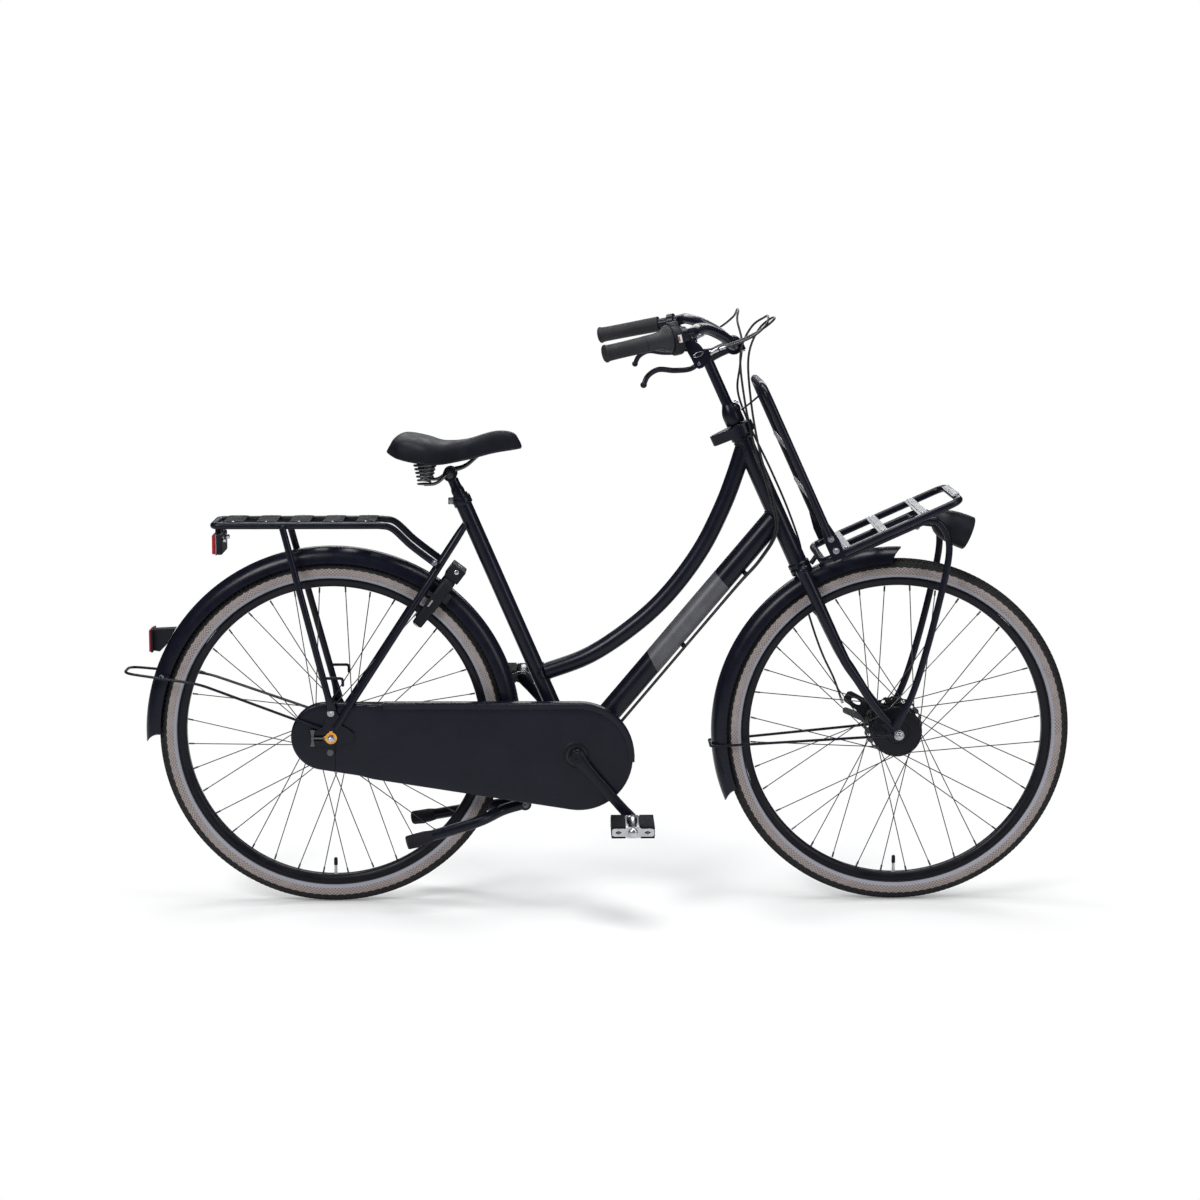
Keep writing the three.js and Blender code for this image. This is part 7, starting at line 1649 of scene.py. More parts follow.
@dataclass
class Fenders(Assembly):
    """Both fenders, their stays and the rear reflector."""

    half: float = 28.0
    sheet: float = 1.6
    stay_radius: float = 2.8
    rear_edge: float = 354.0
    rear_crown: float = 386.0
    front_edge: float = 352.0
    front_crown: float = 382.0
    tab: float = 0.525

    def fender(self, name: str, centre: Vector, edge: float, crown: float, start: float, end: float) -> None:
        """Arched fender with rolled lips and slanted ends.

        Args:
            name: CAD node.
            centre: the wheel's axle.
            edge: radius of its lips.
            crown: radius over its ridge.
            start: angle of its forward end, in degrees.
            end: angle of its rear end.
        """
        def arch(half: float, rise: float, lip: float) -> Section:
            """Arched line over the width, raised by its lip."""
            turns = [pi * k / 20 for k in range(21)]
            return [(half * cos(t), rise * sin(t) ** 0.8 + lip) for t in turns]

        rise = crown - edge
        half, lip = self.half, self.half - 1.8
        outer = [(half, -0.8), *arch(half, rise, 0), (-half, -0.8)]
        inner = [(lip, -0.8), (25.8, 0.3), *arch(lip, rise - self.sheet, 0.2)[1:-1], (-25.8, 0.3),
                 (-lip, -0.8)]
        ring = outer + inner[::-1]
        steps = 160
        rings = []
        for k in range(steps + 1):
            ease = (1 - cos(pi * k / steps)) / 2
            angle = lerp(start, end, lerp(k / steps, ease, 0.5))
            row = []
            for y, v in ring:
                share = (y / half) ** 2
                tuck = 0.0
                for tip, sign in ((start, 1), (end, -1)):
                    reach = abs(angle - tip)
                    if reach < 9:
                        tuck += sign * 3.2 * share * (1 - reach / 9)
                turn = radians(angle + tuck)
                row.append(around(centre, edge + v, turn, y))
            rings.append(row)
        Mould().skin(rings).cast(name, PAINT, sharp=55)

    def bumper(self, side: Side) -> Path:
        """Foot, knee and corner of one side of the rear loop."""
        spots = ((-19, 72.4, 19), (-268, 58, 110), (-424, 36, 129))
        return [REAR_AXLE + at(x, side.value * y, z) for x, y, z in spots]

    def stays(self) -> None:
        """Wire stays of both fenders."""
        right, left = self.bumper(Side.RIGHT), self.bumper(Side.LEFT)
        rear = Mould().tube(rounded(right + left[::-1], 24), self.stay_radius, 16)
        tab = left[1].lerp(left[2], self.tab)
        for side in Side:
            rear.rod(at(tab.x, side.value * tab.y, tab.z), at(tab.x, side.value * 24.4, tab.z), 2.6, 16)
        rear.cast("rear_fender_stay", PAINT)
        reach, drop = 364.0, 28.0
        rim = self.front_crown + 0.3 + self.stay_radius
        spots = [(-9.3, 62.4, 0), (-reach, 31.1, -drop), (-sqrt(rim * rim - drop * drop), 31.1, -drop)]
        arch = [FRONT_AXLE + at(x, -y, z) for x, y, z in spots]
        arch += [FRONT_AXLE + at(*spot) for spot in spots[::-1]]
        Mould().tube(rounded(arch, 5, 5), self.stay_radius, 16).cast("front_fender_stay", PAINT)
        studs = Mould().bolt_pair(at(tab.x + 1, 28.6, tab.z), 3.4, 3)
        studs.cast("fender_bolts", ZINC, "rear_fender_stay")

    def reflector(self) -> None:
        """Rear reflector on its wedge."""
        seat = around(REAR_AXLE, self.rear_crown, radians(150))
        back, low = seat.x - 34, seat.z - 24
        crown = self.rear_crown + 0.6
        face = [(REAR_AXLE.x - sqrt(crown**2 - (z - REAR_AXLE.z) ** 2), z)
                for z in (low, low + 12, low + 24, low + 36, low + 48)]
        outline = [(back + 2, low + 2), (back + 2, low + 46), (face[4][0] - 1, low + 48), *face[3:0:-1],
                   (face[0][0] - 6, low)]
        Mould().prism(outline, -12, 12).cast("reflector_wedge", PLASTIC, "rear_reflector", bevel=1.0)
        shell = Mould().block((4, 50, 48), at(back + 0.4, 0, seat.z))
        shell.cast("reflector_shell", PLASTIC, "rear_reflector", bevel=1.4)
        lens = Mould().block((4.4, 47, 45), at(back - 3, 0, seat.z))
        lens.cast("rear_reflector", RED, bevel=1.0)

    def build(self) -> None:
        """Makes the fenders."""
        self.fender("rear_fender", REAR_AXLE, self.rear_edge, self.rear_crown, -8, 183)
        self.fender("front_fender", FRONT_AXLE, self.front_edge, self.front_crown, 89, 203)
        self.stays()
        self.reflector()


@dataclass
class Saddle(Assembly):
    """Seat post, rails, springs and padded top."""

    clamp: Vector = field(default_factory=lambda: on_seat(POST_TOP + 8))
    tail: float = -128.0
    length: float = 274.0
    half_width: float = 102.0
    skirt: float = 24.0
    height: float = 88.0
    spring_back: float = -50.0
    spring_out: float = 48.0
    coils: int = 5
    post_radius: float = 13.4
    widths: Sequence[tuple] = ((0, 0.72), (0.12, 0.95), (0.25, 1), (0.4, 0.78), (0.55, 0.42), (0.75, 0.25),
                               (1, 0.19))
    tops: Sequence[tuple] = ((0, 0.66), (0.07, 0.86), (0.14, 0.94), (0.3, 0.86), (0.43, 0.76), (0.58, 0.8),
                             (0.84, 1), (0.93, 0.96), (1, 0.82))
    rims: Sequence[tuple] = ((0, 0.34), (0.18, 0.14), (0.4, 0.02), (0.6, 0.12), (0.8, 0.32), (1, 0.45))

    def rim(self, along: float) -> float:
        """Height of the pad's lower edge at a share of its length."""
        return self.skirt + (self.height - self.skirt) * table(self.rims, along)

    def surface(self, along: float, turn: float, shrink: float = 1.0) -> Vector:
        """Point of the pad.

        Args:
            along: share of its length from the tail.
            turn: turn about its middle line, 0 on the left.
            shrink: share of the full width.

        Returns:
            The point.
        """
        axial = 2 * along - 1
        swell = min(1.0, max(0.0, 1 - axial * axial) / 0.3) ** 0.5
        blunt = min(1.0, max(0.0, 1 - axial * axial) / 0.16) ** 0.5
        dy, dz = cos(turn), sin(turn)
        half = self.half_width * table(self.widths, along) * swell * shrink
        top, rim = self.height * table(self.tops, along), self.rim(along)
        crown = max(top, rim)
        middle = lerp(rim, crown, 0.12)
        y = copysign(abs(dy) ** 0.62, dy) * half
        if dz >= 0:
            z = middle + (crown - middle) * dz**0.62 * blunt
        else:
            z = middle - (middle - rim) * abs(dz) ** 0.5 * blunt
        return self.clamp + at(self.tail + self.length * along, y, z)

    def pad(self) -> None:
        """Padded top with a seam round its skirt."""
        count = 64
        stations = [(1 - cos(pi * i / count)) / 2 for i in range(count)]
        rings = [[self.surface(along, 2 * pi * k / 72) for k in range(72)] for along in stations[1:]]
        pad = Mould().skin(rings).cast("saddle_pad", LEATHER, sharp=75)
        seam = [self.surface(along, radians(-8)) for along in stations[2:-1]]
        seam += [at(p.x, -p.y, p.z) for p in reversed(seam)]
        Mould().tube(seam, 1.3, 8, closed=True).cast("saddle_piping", PLASTIC, "saddle_pad")
        base = []
        for along in stations[3:-2]:
            edge = self.surface(along, radians(-20), 0.97)
            wide, rim = abs(edge.y), self.clamp.z + self.rim(along)
            row = [(wide, 3), (wide * 0.98, 0.4), (wide * 0.8, -0.8), (0, -1.6)]
            half = [at(edge.x, w, rim + h) for w, h in row]
            base.append(half + [at(p.x, -p.y, p.z) for p in reversed(half[:-1])])
        Mould().skin(base).cast("saddle_base", PLASTIC, "saddle_pad")

    def spring_foot(self, side: Side) -> Vector:
        """Seat of one spring."""
        return self.clamp + at(self.spring_back, side.value * self.spring_out, -14)

    def springs(self) -> None:
        """Conical coil springs under the tail."""
        for side in Side:
            foot = self.spring_foot(side)
            path = []
            for k in range(201):
                t = k / 200
                turn, radius = 2 * pi * self.coils * t, lerp(12, 21, t)
                path.append(foot + at(radius * cos(turn), radius * sin(turn), 2.2 + 37.6 * t))
            name = "saddle_spring_" + side.label
            Mould().tube(path, 2.3, 12).cast(name, DARK)

    def rails(self) -> None:
        """Wire rails, spring cups and the seat clamp."""
        mould = Mould()
        for side in Side:
            sign = side.value
            foot = self.spring_foot(side)
            rear = foot - at(0, 0, 2.5)
            clear = rear + at(24.5, -sign * 7.5, 0)
            middle = self.clamp + at(0, sign * 22, 7)
            front = self.clamp + at(30, sign * 14, 14)
            nose = self.clamp + at(60, sign * 7, 40)
            mould.tube(rounded([rear, clear, middle, front, nose], 14, 8), 3.4, 20)
            mould.lathe([(0, -2.6), (14.4, -2.6), (15, -1.8), (15, -0.2), (12, 0), (0, 0)], foot, UPWARD, 32)
        mould.cast("saddle_rails", DARK)
        clamp = Mould().rod(self.clamp - at(0, 27, 0), self.clamp + at(0, 27, 0), 13.6, 36)
        for y in (-15, 15):
            collar = [(13.4, y - 5), (14.4, y - 4), (14.4, y + 4), (13.4, y + 5)]
            clamp.lathe(collar, self.clamp, SIDEWAYS, 36, closed=True)
        clamp.cast("saddle_clamp", PAINT, "saddle_rails", bevel=1.0)
        nuts = Mould().bolt_pair(self.clamp + at(0, 26.8, 0), 5.6, 4.6)
        nuts.cast("saddle_clamp_nuts", DARK, "saddle_rails")

    def build(self) -> None:
        """Makes the saddle and its post."""
        shoulder, wide = POST_TOP - 26, self.post_radius
        profile = [(0, 386.5), (wide, 386.5), (wide, shoulder - 3), (12.8, shoulder), (11.2, shoulder + 5),
                   (10.9, shoulder + 9), (10.9, POST_TOP - 5), (0, POST_TOP - 5)]
        Mould().lathe(profile, SEAT_FOOT, SEAT_UP, 40).cast("seat_post", PAINT)
        self.rails()
        self.springs()
        self.pad()


@dataclass
class RearCarrier(Assembly):
    """Rear carrier with its slats, legs and lamp, and the ring lock."""

    deck: float = 792.0
    back: float = -235.0
    front: float = 100.0
    half: float = 52.0
    rail_radius: float = 7.0
    slats: int = 5
    slat_pitch: float = 67.0
    eye: float = 410.0
    lock_turn: float = radians(52.6)
    lock_inner: float = 278.0
    lock_slot: float = 390.0
    lock_top: float = 403.0

    def rail(self, side: Side) -> Path:
        """One side of the carrier's loop.

        Args:
            side: which one.

        Returns:
            Its path from the slope's foot to the rear end.
        """
        sign = side.value
        shares = ((0, 0), (0.2, 0.05), (0.55, 0.5), (1, 1))
        slope = [at(self.front + 118 * x, sign * (self.half - 3 * x), self.deck - 82 * z) for x, z in shares]
        corner = at(self.back, sign * self.half, self.deck)
        bend = rounded([corner + FORWARD * 31, corner, at(self.back, sign * 21, self.deck)], 30, 10)
        return smooth(slope, 24)[::-1] + bend

    def carrier(self) -> None:
        """Loop, slats, legs and strap hooks."""
        loop = self.rail(Side.RIGHT) + self.rail(Side.LEFT)[::-1]
        mould = Mould().tube(loop, self.rail_radius, 24)
        slats, rivets = Mould(), Mould()
        for k in range(self.slats):
            spot = at(self.back + 40 + self.slat_pitch * k, 0, self.deck + self.rail_radius)
            slats.block((40, 100, 2.4), spot)
            slats.block((30, 92, 1.2), spot + at(0, 0, 1.4))
            for side in Side:
                rivets.ball(spot + at(0, side.value * 47, 1.2), 2.6, UPWARD, 0.5)
        for side in Side:
            sign = side.value
            foot = at(-1.5, sign * 76.3, 432)
            top = at(-94, sign * 58, self.deck - 3.5)
            line = (top - foot).normalized()
            path = [foot + line * reach for reach in (-18, -10, 2, 16)] + [top - line * 12, top]
            flat = [(3, 9.4), (3.2, 9.2), (5.6, 7.8), (7, 7), (7, 7), (6.4, 7)]
            path[0].y = path[1].y = sign * 71.2
            mould.sweep(path, circle(24), flat, across=SIDEWAYS)
            mould.prism(hole(0, self.eye, 10.8, 28), sign * 69.4, sign * 72.3)
            hook = foot.lerp(top, 54 / (self.deck - self.eye))
            out = hook + at(40, 0, 0)
            mould.tube(rounded([hook, out, out - at(0, 0, 14)], 6, 6), 3, 16)
            mould.ball(out - at(0, 0, 14), 3.2)
            mould.ball(top + line, self.rail_radius, line, 0.7)
        mould.cast("rear_carrier", PAINT, bevel=0.4)
        slats.cast("rear_carrier_slats", RUBBER, "rear_carrier", bevel=0.7)
        rivets.cast("rear_carrier_rivets", ZINC, "rear_carrier")
        bolts = Mould()
        for side in Side:
            bolts.bolt(at(0, side.value * 72.2, self.eye), side.out, 5.2, 3.6)
            spot = self.rail(side)[0]
            bolts.bolt(spot + at(-6, side.value * 6.4, 6), side.out, 4, 3)
        bolts.cast("rear_carrier_bolts", ZINC, "rear_carrier")

    def lamp(self) -> None:
        """Rear lamp with its red lens and mounting studs."""
        z = self.deck - 40.3
        x = self.back + 5.5
        Mould().block((12, 82, 42), at(x + 5, 0, z)).cast("rear_lamp_body", PLASTIC, "rear_lamp",
                                                        bevel=3.0)
        lens = Mould().block((7, 80, 40), at(x - 6.6, 0, z))
        lens.cast("rear_lamp", RED, bevel=2.4)
        rim = Mould().block((3, 84, 44), at(x - 1.8, 0, z))
        rim.cast("rear_lamp_rim", ZINC, "rear_lamp", bevel=1.2)
        studs = Mould()
        for side in Side:
            studs.bolt(at(x + 10.6, side.value * 25, z + 8), FORWARD, 5, 7)
        studs.cast("rear_lamp_studs", ZINC, "rear_lamp")
        tab = Mould().block((11, 40, 13), at(x, 0, z + 26.6))
        tab.cast("rear_lamp_tab", PLASTIC, "rear_lamp", bevel=1.0)

    def lock(self) -> None:
        """Ring lock round the rear tyre, with its sliding knob."""
        turn = self.lock_turn
        out = at(cos(turn), 0, sin(turn))
        along = at(-sin(turn), 0, cos(turn))
        place = Matrix(((out.x, 0, along.x, REAR_AXLE.x), (0, 1, 0, 0), (out.z, 0, along.z, REAR_AXLE.z),
                        (0, 0, 0, 1)))
        inner, slot, top = self.lock_inner, self.lock_slot, self.lock_top
        half = mirrored([(inner + 9, -37.5), (slot - 22, -37.5), (slot + 4, -34), (slot + 6.4, -18)])
        arch = [at(reach, y, 0) for reach, y in half]
        body = Mould(place)
        path = rounded(arch, 16, 8)
        sizes = [(13, 6.3)] * len(path)
        sizes[0] = sizes[-1] = (11, 5)
        body.sweep(path, squarish(0.7, 0.7), sizes, across=UPWARD)
        body.block((31, 60, 33), at(top + 13, 0, 0))
        body.block((60, 4, 16), at(inner + 46, -41, 0))
        body.cast("ring_lock", PLASTIC, bevel=3.2, sharp=50)
        plate = Mould(place)
        for along in (16.6, -16.6):
            plate.block((15, 34, 0.8), at(top + 14, 0, along))
        plate.lathe([(0, 30), (5, 30), (5, 31), (3.4, 32), (0, 32)], at(top + 18, 0, 0), -SIDEWAYS, 24)
        plate.lathe([(0, 0), (9.4, 0), (9.4, 1.4), (7, 3), (0, 3.6)], at(inner + 10, -37.5, 0), -FORWARD, 28)
        plate.block((16, 0.8, 3.4), at(inner + 62, -44, 5))
        key = [(0, 0), (6.4, 0), (6.4, 1.6), (2.4, 1.8), (2.2, 0.6), (0, 0.6)]
        plate.lathe(key, at(top + 28.4, 0, 0), FORWARD, 28)
        plate.cast("ring_lock_cylinder", ZINC, "ring_lock", bevel=0.3)
        ties = Mould()
        for side in Side:
            start = place @ at(lerp(inner, slot, 0.7), side.value * 37.5, 0)
            foot, middle, _ = seat_stay(side)
            run = middle - foot
            goal = foot + run * ((start - foot).dot(run) / run.length_squared)
            ties.rod(start, goal + (start - goal).normalized() * 7.9, 5, 20)
        ties.cast("ring_lock_ties", PAINT, "ring_lock", bevel=0.6)
        spot = lerp(slot, inner, 0.2)
        knob = Mould(place).block((21, 8.4, 11), at(spot, -39.5, -16.3))
        for k in range(4):
            knob.block((2, 9, 1.4), at(spot - 7.5 + 5 * k, -39.5, -21.8))
        knob.cast("ring_lock_knob", RUBBER, bevel=1.2)

    def build(self) -> None:
        """Makes the carrier, lamp and lock."""
        self.carrier()
        self.lamp()
        self.lock()


@dataclass
class Cockpit(Assembly):
    """Fork, stem, handlebar, grips, shifter and brake levers."""

    shares: Sequence[tuple] = (
        (0, 0, 0), (0.005, 0.095, 0.015), (0.06, 0.235, 0.27), (0.155, 0.4, 0.53), (0.232, 0.58, 0.65),
        (0.262, 0.72, 0.672), (0.3, 0.812, 0.668))
    clamp: Vector = field(default_factory=lambda: at(60, 0, 866))
    sweep: float = 241.0
    half: float = 303.0
    rise: float = 111.0
    bar_radius: float = 11.0
    grip: float = 84.0
    sleeve: float = 50.0
    drum: float = 20.0
    gap: float = 0.3

    def bar_point(self, back: float, out: float, up: float, side: Side) -> Vector:
        """Point of the handlebar's centre line in the steering frame, by shares of its sizes."""
        return self.clamp + at(-self.sweep * back, side.value * self.half * out, self.rise * up)

    def grip_line(self, side: Side) -> tuple[Vector, Vector]:
        """Outer end of the bar and its direction outwards."""
        end = self.bar_point(1, 1, 1, side)
        return end, (end - self.bar_point(*self.shares[-1], side)).normalized()

    def ribbed(self, name: str, side: Side, rough: tuple, pitch: float) -> Ribbed:
        """Ribbed rubber round one side's grip.

        Args:
            name: material name.
            side: which grip's axis the ribs go round.
            rough: lowest and highest roughness.
            pitch: distance of the ribs.

        Returns:
            The finish.
        """
        axis = STEER.to_3x3() @ self.grip_line(side)[1]
        return Ribbed(name, "rubber", (0.0105, 0.011, 0.014), (0.016, 0.0165, 0.02), rough,
                      relief=(900.0, 0.00003), shine=0.3, axis=tuple(axis), pitch=pitch)

    def fork(self) -> None:
        """Curved fork blades, crown and ends."""
        rows = ((-0.01, 0, 0), (0.101, 0.035, 0.35), (0.278, 0.056, 0.75), (0.452, 0.086, 0.95),
                (0.542, 0.13, 1), (0.641, 0.29, 1), (0.778, 0.474, 1), (0.968, 0.926, 1))
        mould = Mould(STEER)
        for side in Side:
            sign = side.value
            path = smooth([at(43 * ahead, sign * lerp(45, 53, out), 387 * (1 - down))
                           for down, ahead, out in rows], 60)
            sizes = [(lerp(12.2, 6.6, k / 60), lerp(13.8, 7.4, k / 60)) for k in range(61)]
            mould.sweep(path, circle(32), sizes, across=SIDEWAYS)
            mould.ball(path[0], 13.6, UPWARD, 0.75)
            outline = [(31.5, -10), (43, -12), (54, -10), (55, 4), (53, 11), (38, 34), (20, 34), (24, 20),
                       (31, 6)]
            mould.prism(outline, sign * 50, sign * 56, [hole(43, 0, 4.8)])
        seat = [(0, 380), (21, 380), (22.4, 382), (22.4, 391), (20, 393.6), (0, 393.6)]
        mould.lathe(seat, ORIGIN, UPWARD, 48)
        crown = [at(0, y, z) for y, z in ((-44, 387), (-30, 389), (0, 390), (30, 389), (44, 387))]
        mould.sweep(crown, circle(24), [(11, 5.6), (11.8, 6.4), (12, 7), (11.8, 6.4), (11, 5.6)],
                    across=FORWARD)
        mould.rod(at(0, 0, 392), at(0, 0, 712), 12.7, 32)
        mould.cast("fork", PAINT, bevel=0.6)

    def bar(self) -> None:
        """Swept handlebar, stem and quill collar."""
        rows = [self.bar_point(*row, Side.RIGHT) for row in reversed(self.shares)]
        rows += [self.bar_point(*row, Side.LEFT) for row in self.shares[1:]]
        right, left = [self.bar_point(1, 1, 1, side) for side in Side]
        Mould(STEER).tube([right, *smooth(rows, 80), left], self.bar_radius, 40).cast("handlebar", PAINT)
        low = HEAD_TOP + 34.8
        profile = [(0, low), (19, low), (20, low + 1.5), (20, low + 20), (19, low + 27), (16, low + 35),
                   (13, low + 41), (11.6, low + 44), (11.1, low + 46), (11.1, 858), (10, 866), (0, 868)]
        stem = Mould(STEER).lathe(profile, ORIGIN, UPWARD, 48)
        stem.ball(at(9, 0, low + 29), 13.5, at(1, 0, 1), 0.95)
        stem.tube(smooth([at(-8, 0, 860), at(6, 0, 864), at(26, 0, 866), at(48, 0, 866)], 12), 12.6, 32)
        collar = mirrored([(11.4, -20), (17.4, -20), (19, -18.4)])
        stem.lathe(collar, self.clamp, SIDEWAYS, 48, closed=True)
        stem.block((12, 26, 14), at(74, 0, 856))
        stem.ball(at(-1, 0, 866), 12.4, UPWARD, 0.8)
        stem.cast("stem", PAINT, bevel=0.8)
        trim = Mould(STEER).bolt(at(74, 0, 849), -UPWARD, 4.4, 4)
        trim.bolt(at(18, 0, low + 40), at(1, 0, 1), 4.6, 3.4)
        trim.cast("stem_bolts", ZINC, "stem")

    def controls(self) -> None:
        """Grips, twist sleeve and shifter body."""
        for side in Side:
            end, along = self.grip_line(side)
            reach = self.grip if side is Side.RIGHT else self.grip + self.gap + self.sleeve
            profile = [(0, 2), (7, 2), (8, 1.6), (15.4, 1.8), (16.9, 0.6), (17.6, -1), (17.2, -3.4),
                       (16.2, -5), (15.6, -14), (15.6, -reach * 0.5), (16.2, 4 - reach), (16.5, 0.6 - reach),
                       (15.6, -reach), (11.4, -reach)]
            skin = self.ribbed("grip_rubber_" + side.label, side, (0.55, 0.7), 3.0)
            Mould(STEER).lathe(profile, end, along, 48).cast("grip_" + side.label, skin)
        end, along = self.grip_line(Side.RIGHT)
        start, far = -self.grip - self.gap, -self.grip - self.gap - self.sleeve
        sleeve = [(12, start), (15.6, start), (16.4, start - 1), (16.6, start - 14), (17.6, start - 26),
                  (20.6, start - 36), (25, start - 43), (26.8, start - 46.5), (27, far + 1), (26, far),
                  (12, far)]
        skin = self.ribbed("sleeve_rubber", Side.RIGHT, (0.5, 0.66), 4.2)
        Mould(STEER).lathe(sleeve, end, along, 56, closed=True).cast("shifter_sleeve", skin)
        body = far - 0.8
        upright = (UPWARD - along * along.z).normalized()
        shape = Mould(STEER)
        drum = [(6, body), (27.5, body), (29.4, body - 1.6), (30, body - 4), (30, body - 16),
                (28.6, body - 19), (26, body - 20), (6, body - 20)]
        shape.lathe(drum, end - upright * 5, along, 56)
        bump = [(6, body), (13.6, body), (15, body - 2), (15, body - 18), (13.6, body - 20), (6, body - 20)]
        shape.lathe(bump, end + upright * 16, along, 36)
        shape.cast("shifter_body", PLASTIC, bevel=0.5)
        facing = along.cross(upright).normalized()
        if (STEER.to_3x3() @ facing).y > 0:
            facing = -facing
        spot = end + along * (body - 10) - upright * 5 + facing * 30
        turn = Matrix((along, upright, facing)).transposed()
        window = Mould(STEER).block((7, 15, 1.4), spot, turn)
        window.cast("shifter_window", WHITE, "shifter_body", bevel=0.3)
        mark = Mould(STEER).block((2.4, 10, 1.8), spot + along * 2, turn)
        mark.cast("shifter_mark", RED, "shifter_body", bevel=0.2)

    def lever(self, side: Side) -> None:
        """Brake perch and lever of one side.

        Args:
            side: which one.
        """
        end, along = self.grip_line(side)
        centre = end - along * (self.grip + self.gap + self.sleeve + 0.8 + self.drum + self.gap + 7)
        pivot = centre + at(6, 0, -62)

        def shift(ahead: float, y: float, up: float) -> Vector:
            """Point by its distance from the lever's pivot."""
            return pivot + at(ahead, y, up)

        perch = Mould(STEER)
        collar = mirrored([(11.5, -7), (16.2, -7), (17, -6)])
        perch.lathe(collar, centre, along, 40, closed=True)
        neck = smooth([centre - at(0, 0, 12), shift(8, 0, 28), shift(12, 0, 13), shift(20, 0, 9)], 16)
        perch.sweep(neck, circle(24), [(lerp(7.5, 8.6, k / 16), lerp(10.5, 8.8, k / 16)) for k in range(17)],
                    across=SIDEWAYS)
        perch.rod(shift(0, 0, 9), shift(26, 0, 9), 8.6, 28)
        ear = [(-9, -4), (-4, -9.4), (4, -10), (16, -5), (27, 0.5), (28, 17), (18, 21), (11, 34), (4, 49),
               (-10, 49), (-11, 30), (-9.4, 12)]
        crest = [(-9.4, 12), (27.4, 12), (28, 17), (18, 21), (11, 34), (4, 49), (-10, 49), (-11, 30)]
        for shape, low, high in ((ear, -9.6, -5.4), (ear, 5.4, 9.6), (crest, -10.6, 10.6)):
            perch.prism([(pivot.x + x, pivot.z + z) for x, z in shape], pivot.y + low, pivot.y + high)
        perch.cast("brake_perch_" + side.label, PAINT, bevel=1.6)
        trim = Mould(STEER).rod(shift(-0.2, -9.6, 0), shift(-0.2, 9.6, 0), 2.2, 16)
        for out in (-SIDEWAYS, SIDEWAYS):
            trim.bolt(pivot + out * 9, out, 3.4, 2)
        trim.bolt(centre + at(14.5, 0, -9), at(1, 0, -1), 3.6, 3)
        oval = [pivot + at(6 + 10 * u, -10.7, 17 + 4 * v) for u, v in circle(28)]
        trim.tube(oval, 0.6, 8, closed=True)
        screw = [(0, 25), (5.4, 25), (5.4, 31), (4.2, 31.6), (4.4, 33), (4.2, 45), (3.2, 46), (0, 46)]
        trim.lathe(screw, shift(0, 0, 9), FORWARD, 14)
        trim.cast("brake_perch_trim_" + side.label, ZINC, "brake_perch_" + side.label)
        rows = ((0, 0, 0), (0.16, 0, -0.1), (0.42, 0.28, 0.25), (0.68, 0.6, 0.78), (0.88, 0.85, 0.68),
                (1, 1, 0.3))
        path = smooth([shift(-114 * back, side.value * 35 * out, 30 * arch) for back, out, arch in rows], 40)
        sizes = [(lerp(7.6, 3.8, min(1, k / 18)), lerp(4.9, 5.4, sin(pi * k / 40)))
                 for k in range(41)]
        blade = Mould(STEER).sweep(path, circle(20), sizes, across=SIDEWAYS)
        blade.ball(path[-1], 6.4)
        hub = mirrored([(2.6, -4.9), (7, -4.9), (7.4, -4.4)])
        blade.lathe(hub, pivot, SIDEWAYS, 32, closed=True)
        blade.cast("brake_lever_" + side.label, PAINT)

    def build(self) -> None:
        """Makes the steering's upper pieces and the fork."""
        self.fork()
        self.bar()
        self.controls()
        for side in Side:
            self.lever(side)


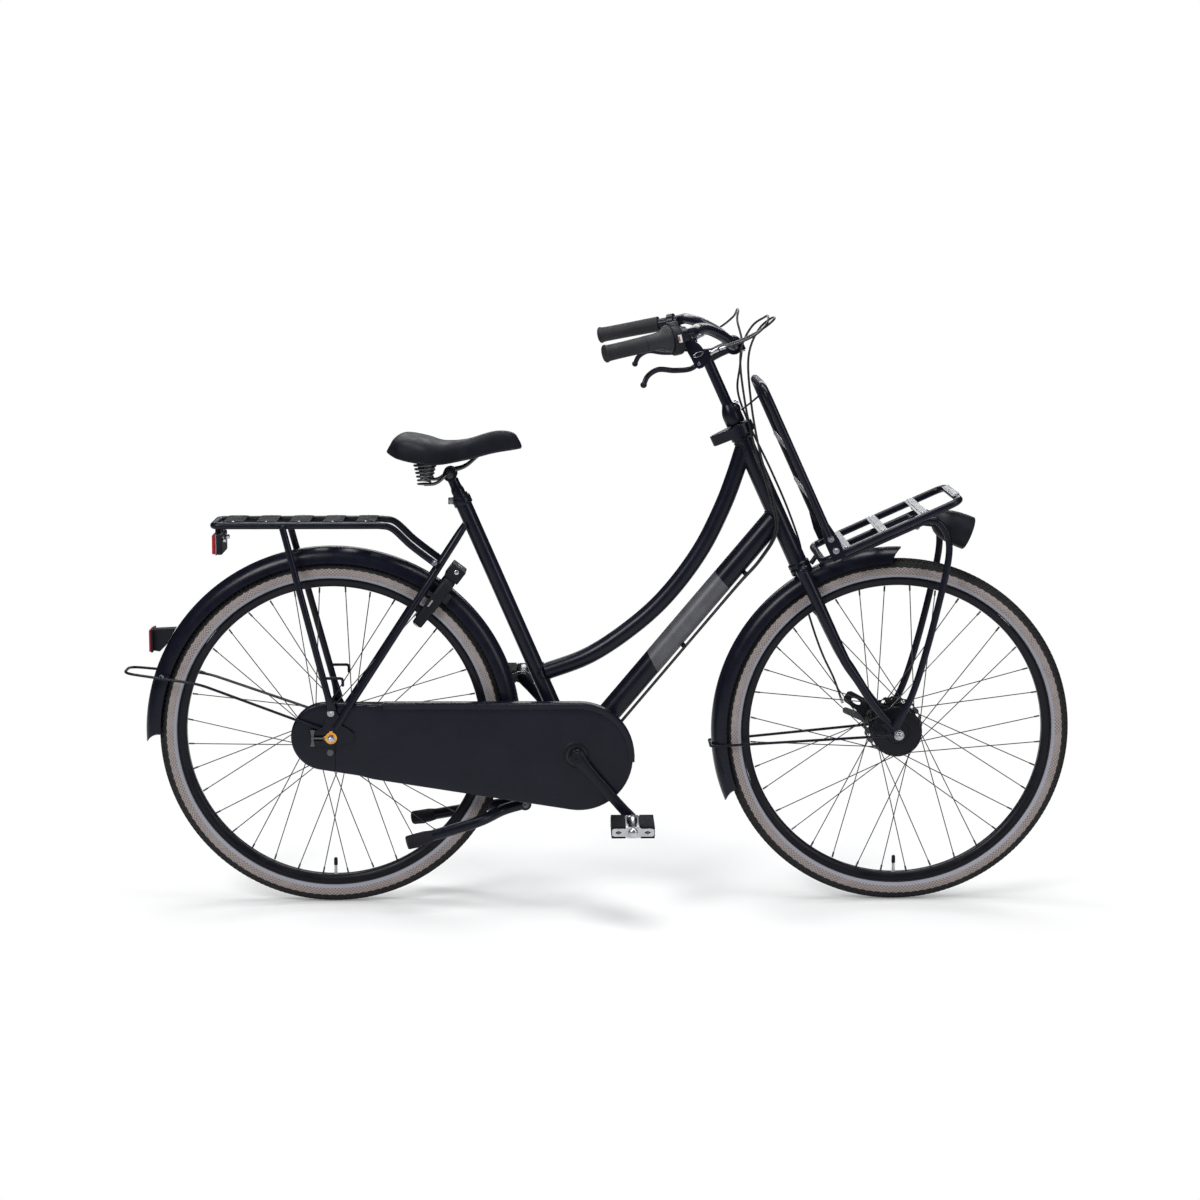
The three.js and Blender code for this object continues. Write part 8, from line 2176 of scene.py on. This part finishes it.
@dataclass
class FrontCarrier(Assembly):
    """Front carrier deck, back, legs and headlamp."""

    height: float = 402.0
    start: float = 44.0
    stop: float = 345.0
    half: float = 112.0
    tube: float = 7.5
    back_half: float = 121.8
    back_ahead: float = 76.0
    back_foot: float = 446.0
    back_top: float = 776.0
    cross: float = 250.0

    def deck(self) -> None:
        """Deck loop with ribbed bright slats."""
        mould = Mould(STEER)
        near, far, half = self.start, self.stop, self.half
        corners = [at(x, y, self.height) for x, y in
                   ((near, 0), (near, -half), (far, -half), (far, half), (near, half), (near, 0))]
        mould.tube(rounded(corners, 26)[:-1], self.tube, 24, closed=True)
        mould.tube([at(self.start, 0, self.height), at(23.4, 0, self.height - 12.6)], 5, 20)
        slats, rivets = Mould(STEER), Mould(STEER)
        for share in (0.18, 0.45, 0.74):
            ahead = lerp(near, far, share)
            slats.block((19, 222, 1.8), at(ahead, 0, self.height + 6.9))
            slats.block((9, 214, 1.6), at(ahead, 0, self.height + 8.2))
            for side in Side:
                rivets.ball(at(ahead, side.value * 107, self.height + 8.4), 3.4, UPWARD, 0.5)
                mould.block((11, 8, 13.5), at(ahead, side.value * 65, self.height - 1.2))
        slats.block((15, 148, 2.2), at(self.stop, 0, self.height + 7))
        slats.block((9, 138, 1.4), at(self.stop, 0, self.height + 8.4))
        mould.cast("front_carrier_deck", PAINT, bevel=0.5)
        slats.cast("front_carrier_slats", SILVER, "front_carrier_deck", bevel=0.5)
        rivets.cast("front_carrier_rivets", ZINC, "front_carrier_deck")

    def back(self) -> None:
        """Upright hoop with its slats, plates and stay wire."""
        y, ahead, foot, top = self.back_half, self.back_ahead, self.back_foot, self.back_top
        route = [at(ahead, -y, foot), at(ahead, -y, top), at(ahead, y, top), at(ahead, y, foot)]
        hoop = Mould(STEER).tube(rounded(route, 40, 12), 8.4, 24)
        slats, bolts = Mould(STEER), Mould(STEER)
        for share in (0.3, 0.62):
            up = lerp(foot, top, share)
            slats.block((2.6, 2 * y - 6, 20), at(ahead - 7.6, 0, up))
            slats.block((1.6, 2 * y - 18, 9), at(ahead - 8.8, 0, up))
            for side in Side:
                bolts.ball(at(ahead - 8.8, side.value * (y - 8), up), 3.2, FORWARD, 0.5)
        half = ((-14, -7), (14, -7), (14.6, 30), (9, 66), (-9, 66), (-14.6, 30))
        outline = [(ahead + x, self.height + z) for x, z in half]
        for side in Side:
            hoop.prism(outline, side.value * (y - 1.9), side.value * (y + 1.9))
            for up in (self.height + 12, self.height + 38):
                bolts.bolt(at(ahead, side.value * (y + 1.8), up), side.out, 5, 3.6)
        hoop.tube([at(22.6, 0, 738), at(50, 52, 738.6), at(ahead, y - 3, 738)], 2.1, 16)
        hoop.cast("front_carrier_back", PAINT, bevel=0.5)
        slats.cast("front_carrier_back_slats", SILVER, "front_carrier_back", bevel=0.5)
        bolts.cast("front_carrier_back_bolts", ZINC, "front_carrier_back")

    def legs(self) -> None:
        """Bent legs from the axle to under the deck."""
        rows = ((0, 0), (0.228, 0.174), (0.715, 0.563), (0.965, 0.805), (1, 0.89), (0.975, 0.965), (0.9, 1))
        knee = self.height - 17
        mould = Mould(STEER)
        for side in Side:
            sign = side.value
            route = [at(lerp(43, 297, ahead), sign * lerp(63.3, 66.5, up), knee * up) for ahead, up in rows]
            route[0].z = 19
            path = smooth(route, 50) + [at(84, sign * 65, knee)]
            sizes = [(lerp(3.4, 7, min(1, k / 4)), lerp(9, 7, min(1, k / 4))) for k in range(len(path))]
            mould.sweep(path, circle(24), sizes, across=SIDEWAYS)
            mould.prism(hole(43, 0, 12, 32), sign * 56.4, sign * 59.3, [hole(43, 0, 5)])
            tab = [at(43, sign * 58, 6), at(46, sign * 59.5, 20)]
            mould.sweep(tab, circle(20), [(1.6, 10), (3, 9)], across=SIDEWAYS)
        for ahead in (self.cross, 91):
            mould.rod(at(ahead, -65, knee), at(ahead, 65, knee), 5.4, 24)
        mould.cast("front_carrier_legs", PAINT, bevel=0.4)

    def lamp(self) -> None:
        """Round headlamp on its bracket."""
        tilt = radians(-46)
        line = at(cos(tilt), 0, sin(tilt))
        lens = at(344, 0, 312)
        tail = lens - line * 80
        shell = [(0, 0), (8, 0.4), (16, 3.4), (23, 10), (28, 19), (32, 32), (34.2, 48), (35, 64), (35, 78),
                 (33.6, 79.4), (32.4, 78), (32.4, 76), (0, 76)]
        body = Mould(STEER).lathe(shell, tail, line, 64)
        body.rod(lens - line * 40, at(self.cross, 0, self.height - 22), 4.9)
        sleeve = mirrored([(5.8, -6), (9, -6)])
        body.lathe(sleeve, at(self.cross, 0, self.height - 17), SIDEWAYS, 28, closed=True)
        body.cast("headlamp", PLASTIC, bevel=0.4)
        glass = [(0, 79.6), (12, 79.2), (24, 78), (31.8, 76.6), (31.8, 75.6), (0, 75.6)]
        Mould(STEER).lathe(glass, tail, line, 56).cast("headlamp_glass", CLEAR, "headlamp")
        bolts = Mould(STEER).bolt_pair(at(self.cross + 2, 6, self.height - 33), 4, 3)
        bolts.cast("headlamp_bolts", ZINC, "headlamp")

    def build(self) -> None:
        """Makes the carrier and the lamp."""
        self.deck()
        self.back()
        self.legs()
        self.lamp()


def main() -> None:
    """Dresses the bicycle."""
    logging.basicConfig(level=logging.INFO, format="%(message)s")
    assemblies: list[Assembly] = [Studio(), Cables(), Wheel(Rim.REAR, 29, 44, 33),
                                  Wheel(Rim.FRONT, 27, 52, 45), HubFittings(), ChainCase(), Cranks(),
                                  FrameTubes(), Stand(), Fenders(), Saddle(), RearCarrier(), Cockpit(),
                                  FrontCarrier()]
    for assembly in assemblies:
        LOG.info("building %s", type(assembly).__name__)
        assembly.build()


if __name__ == "__main__":
    main()
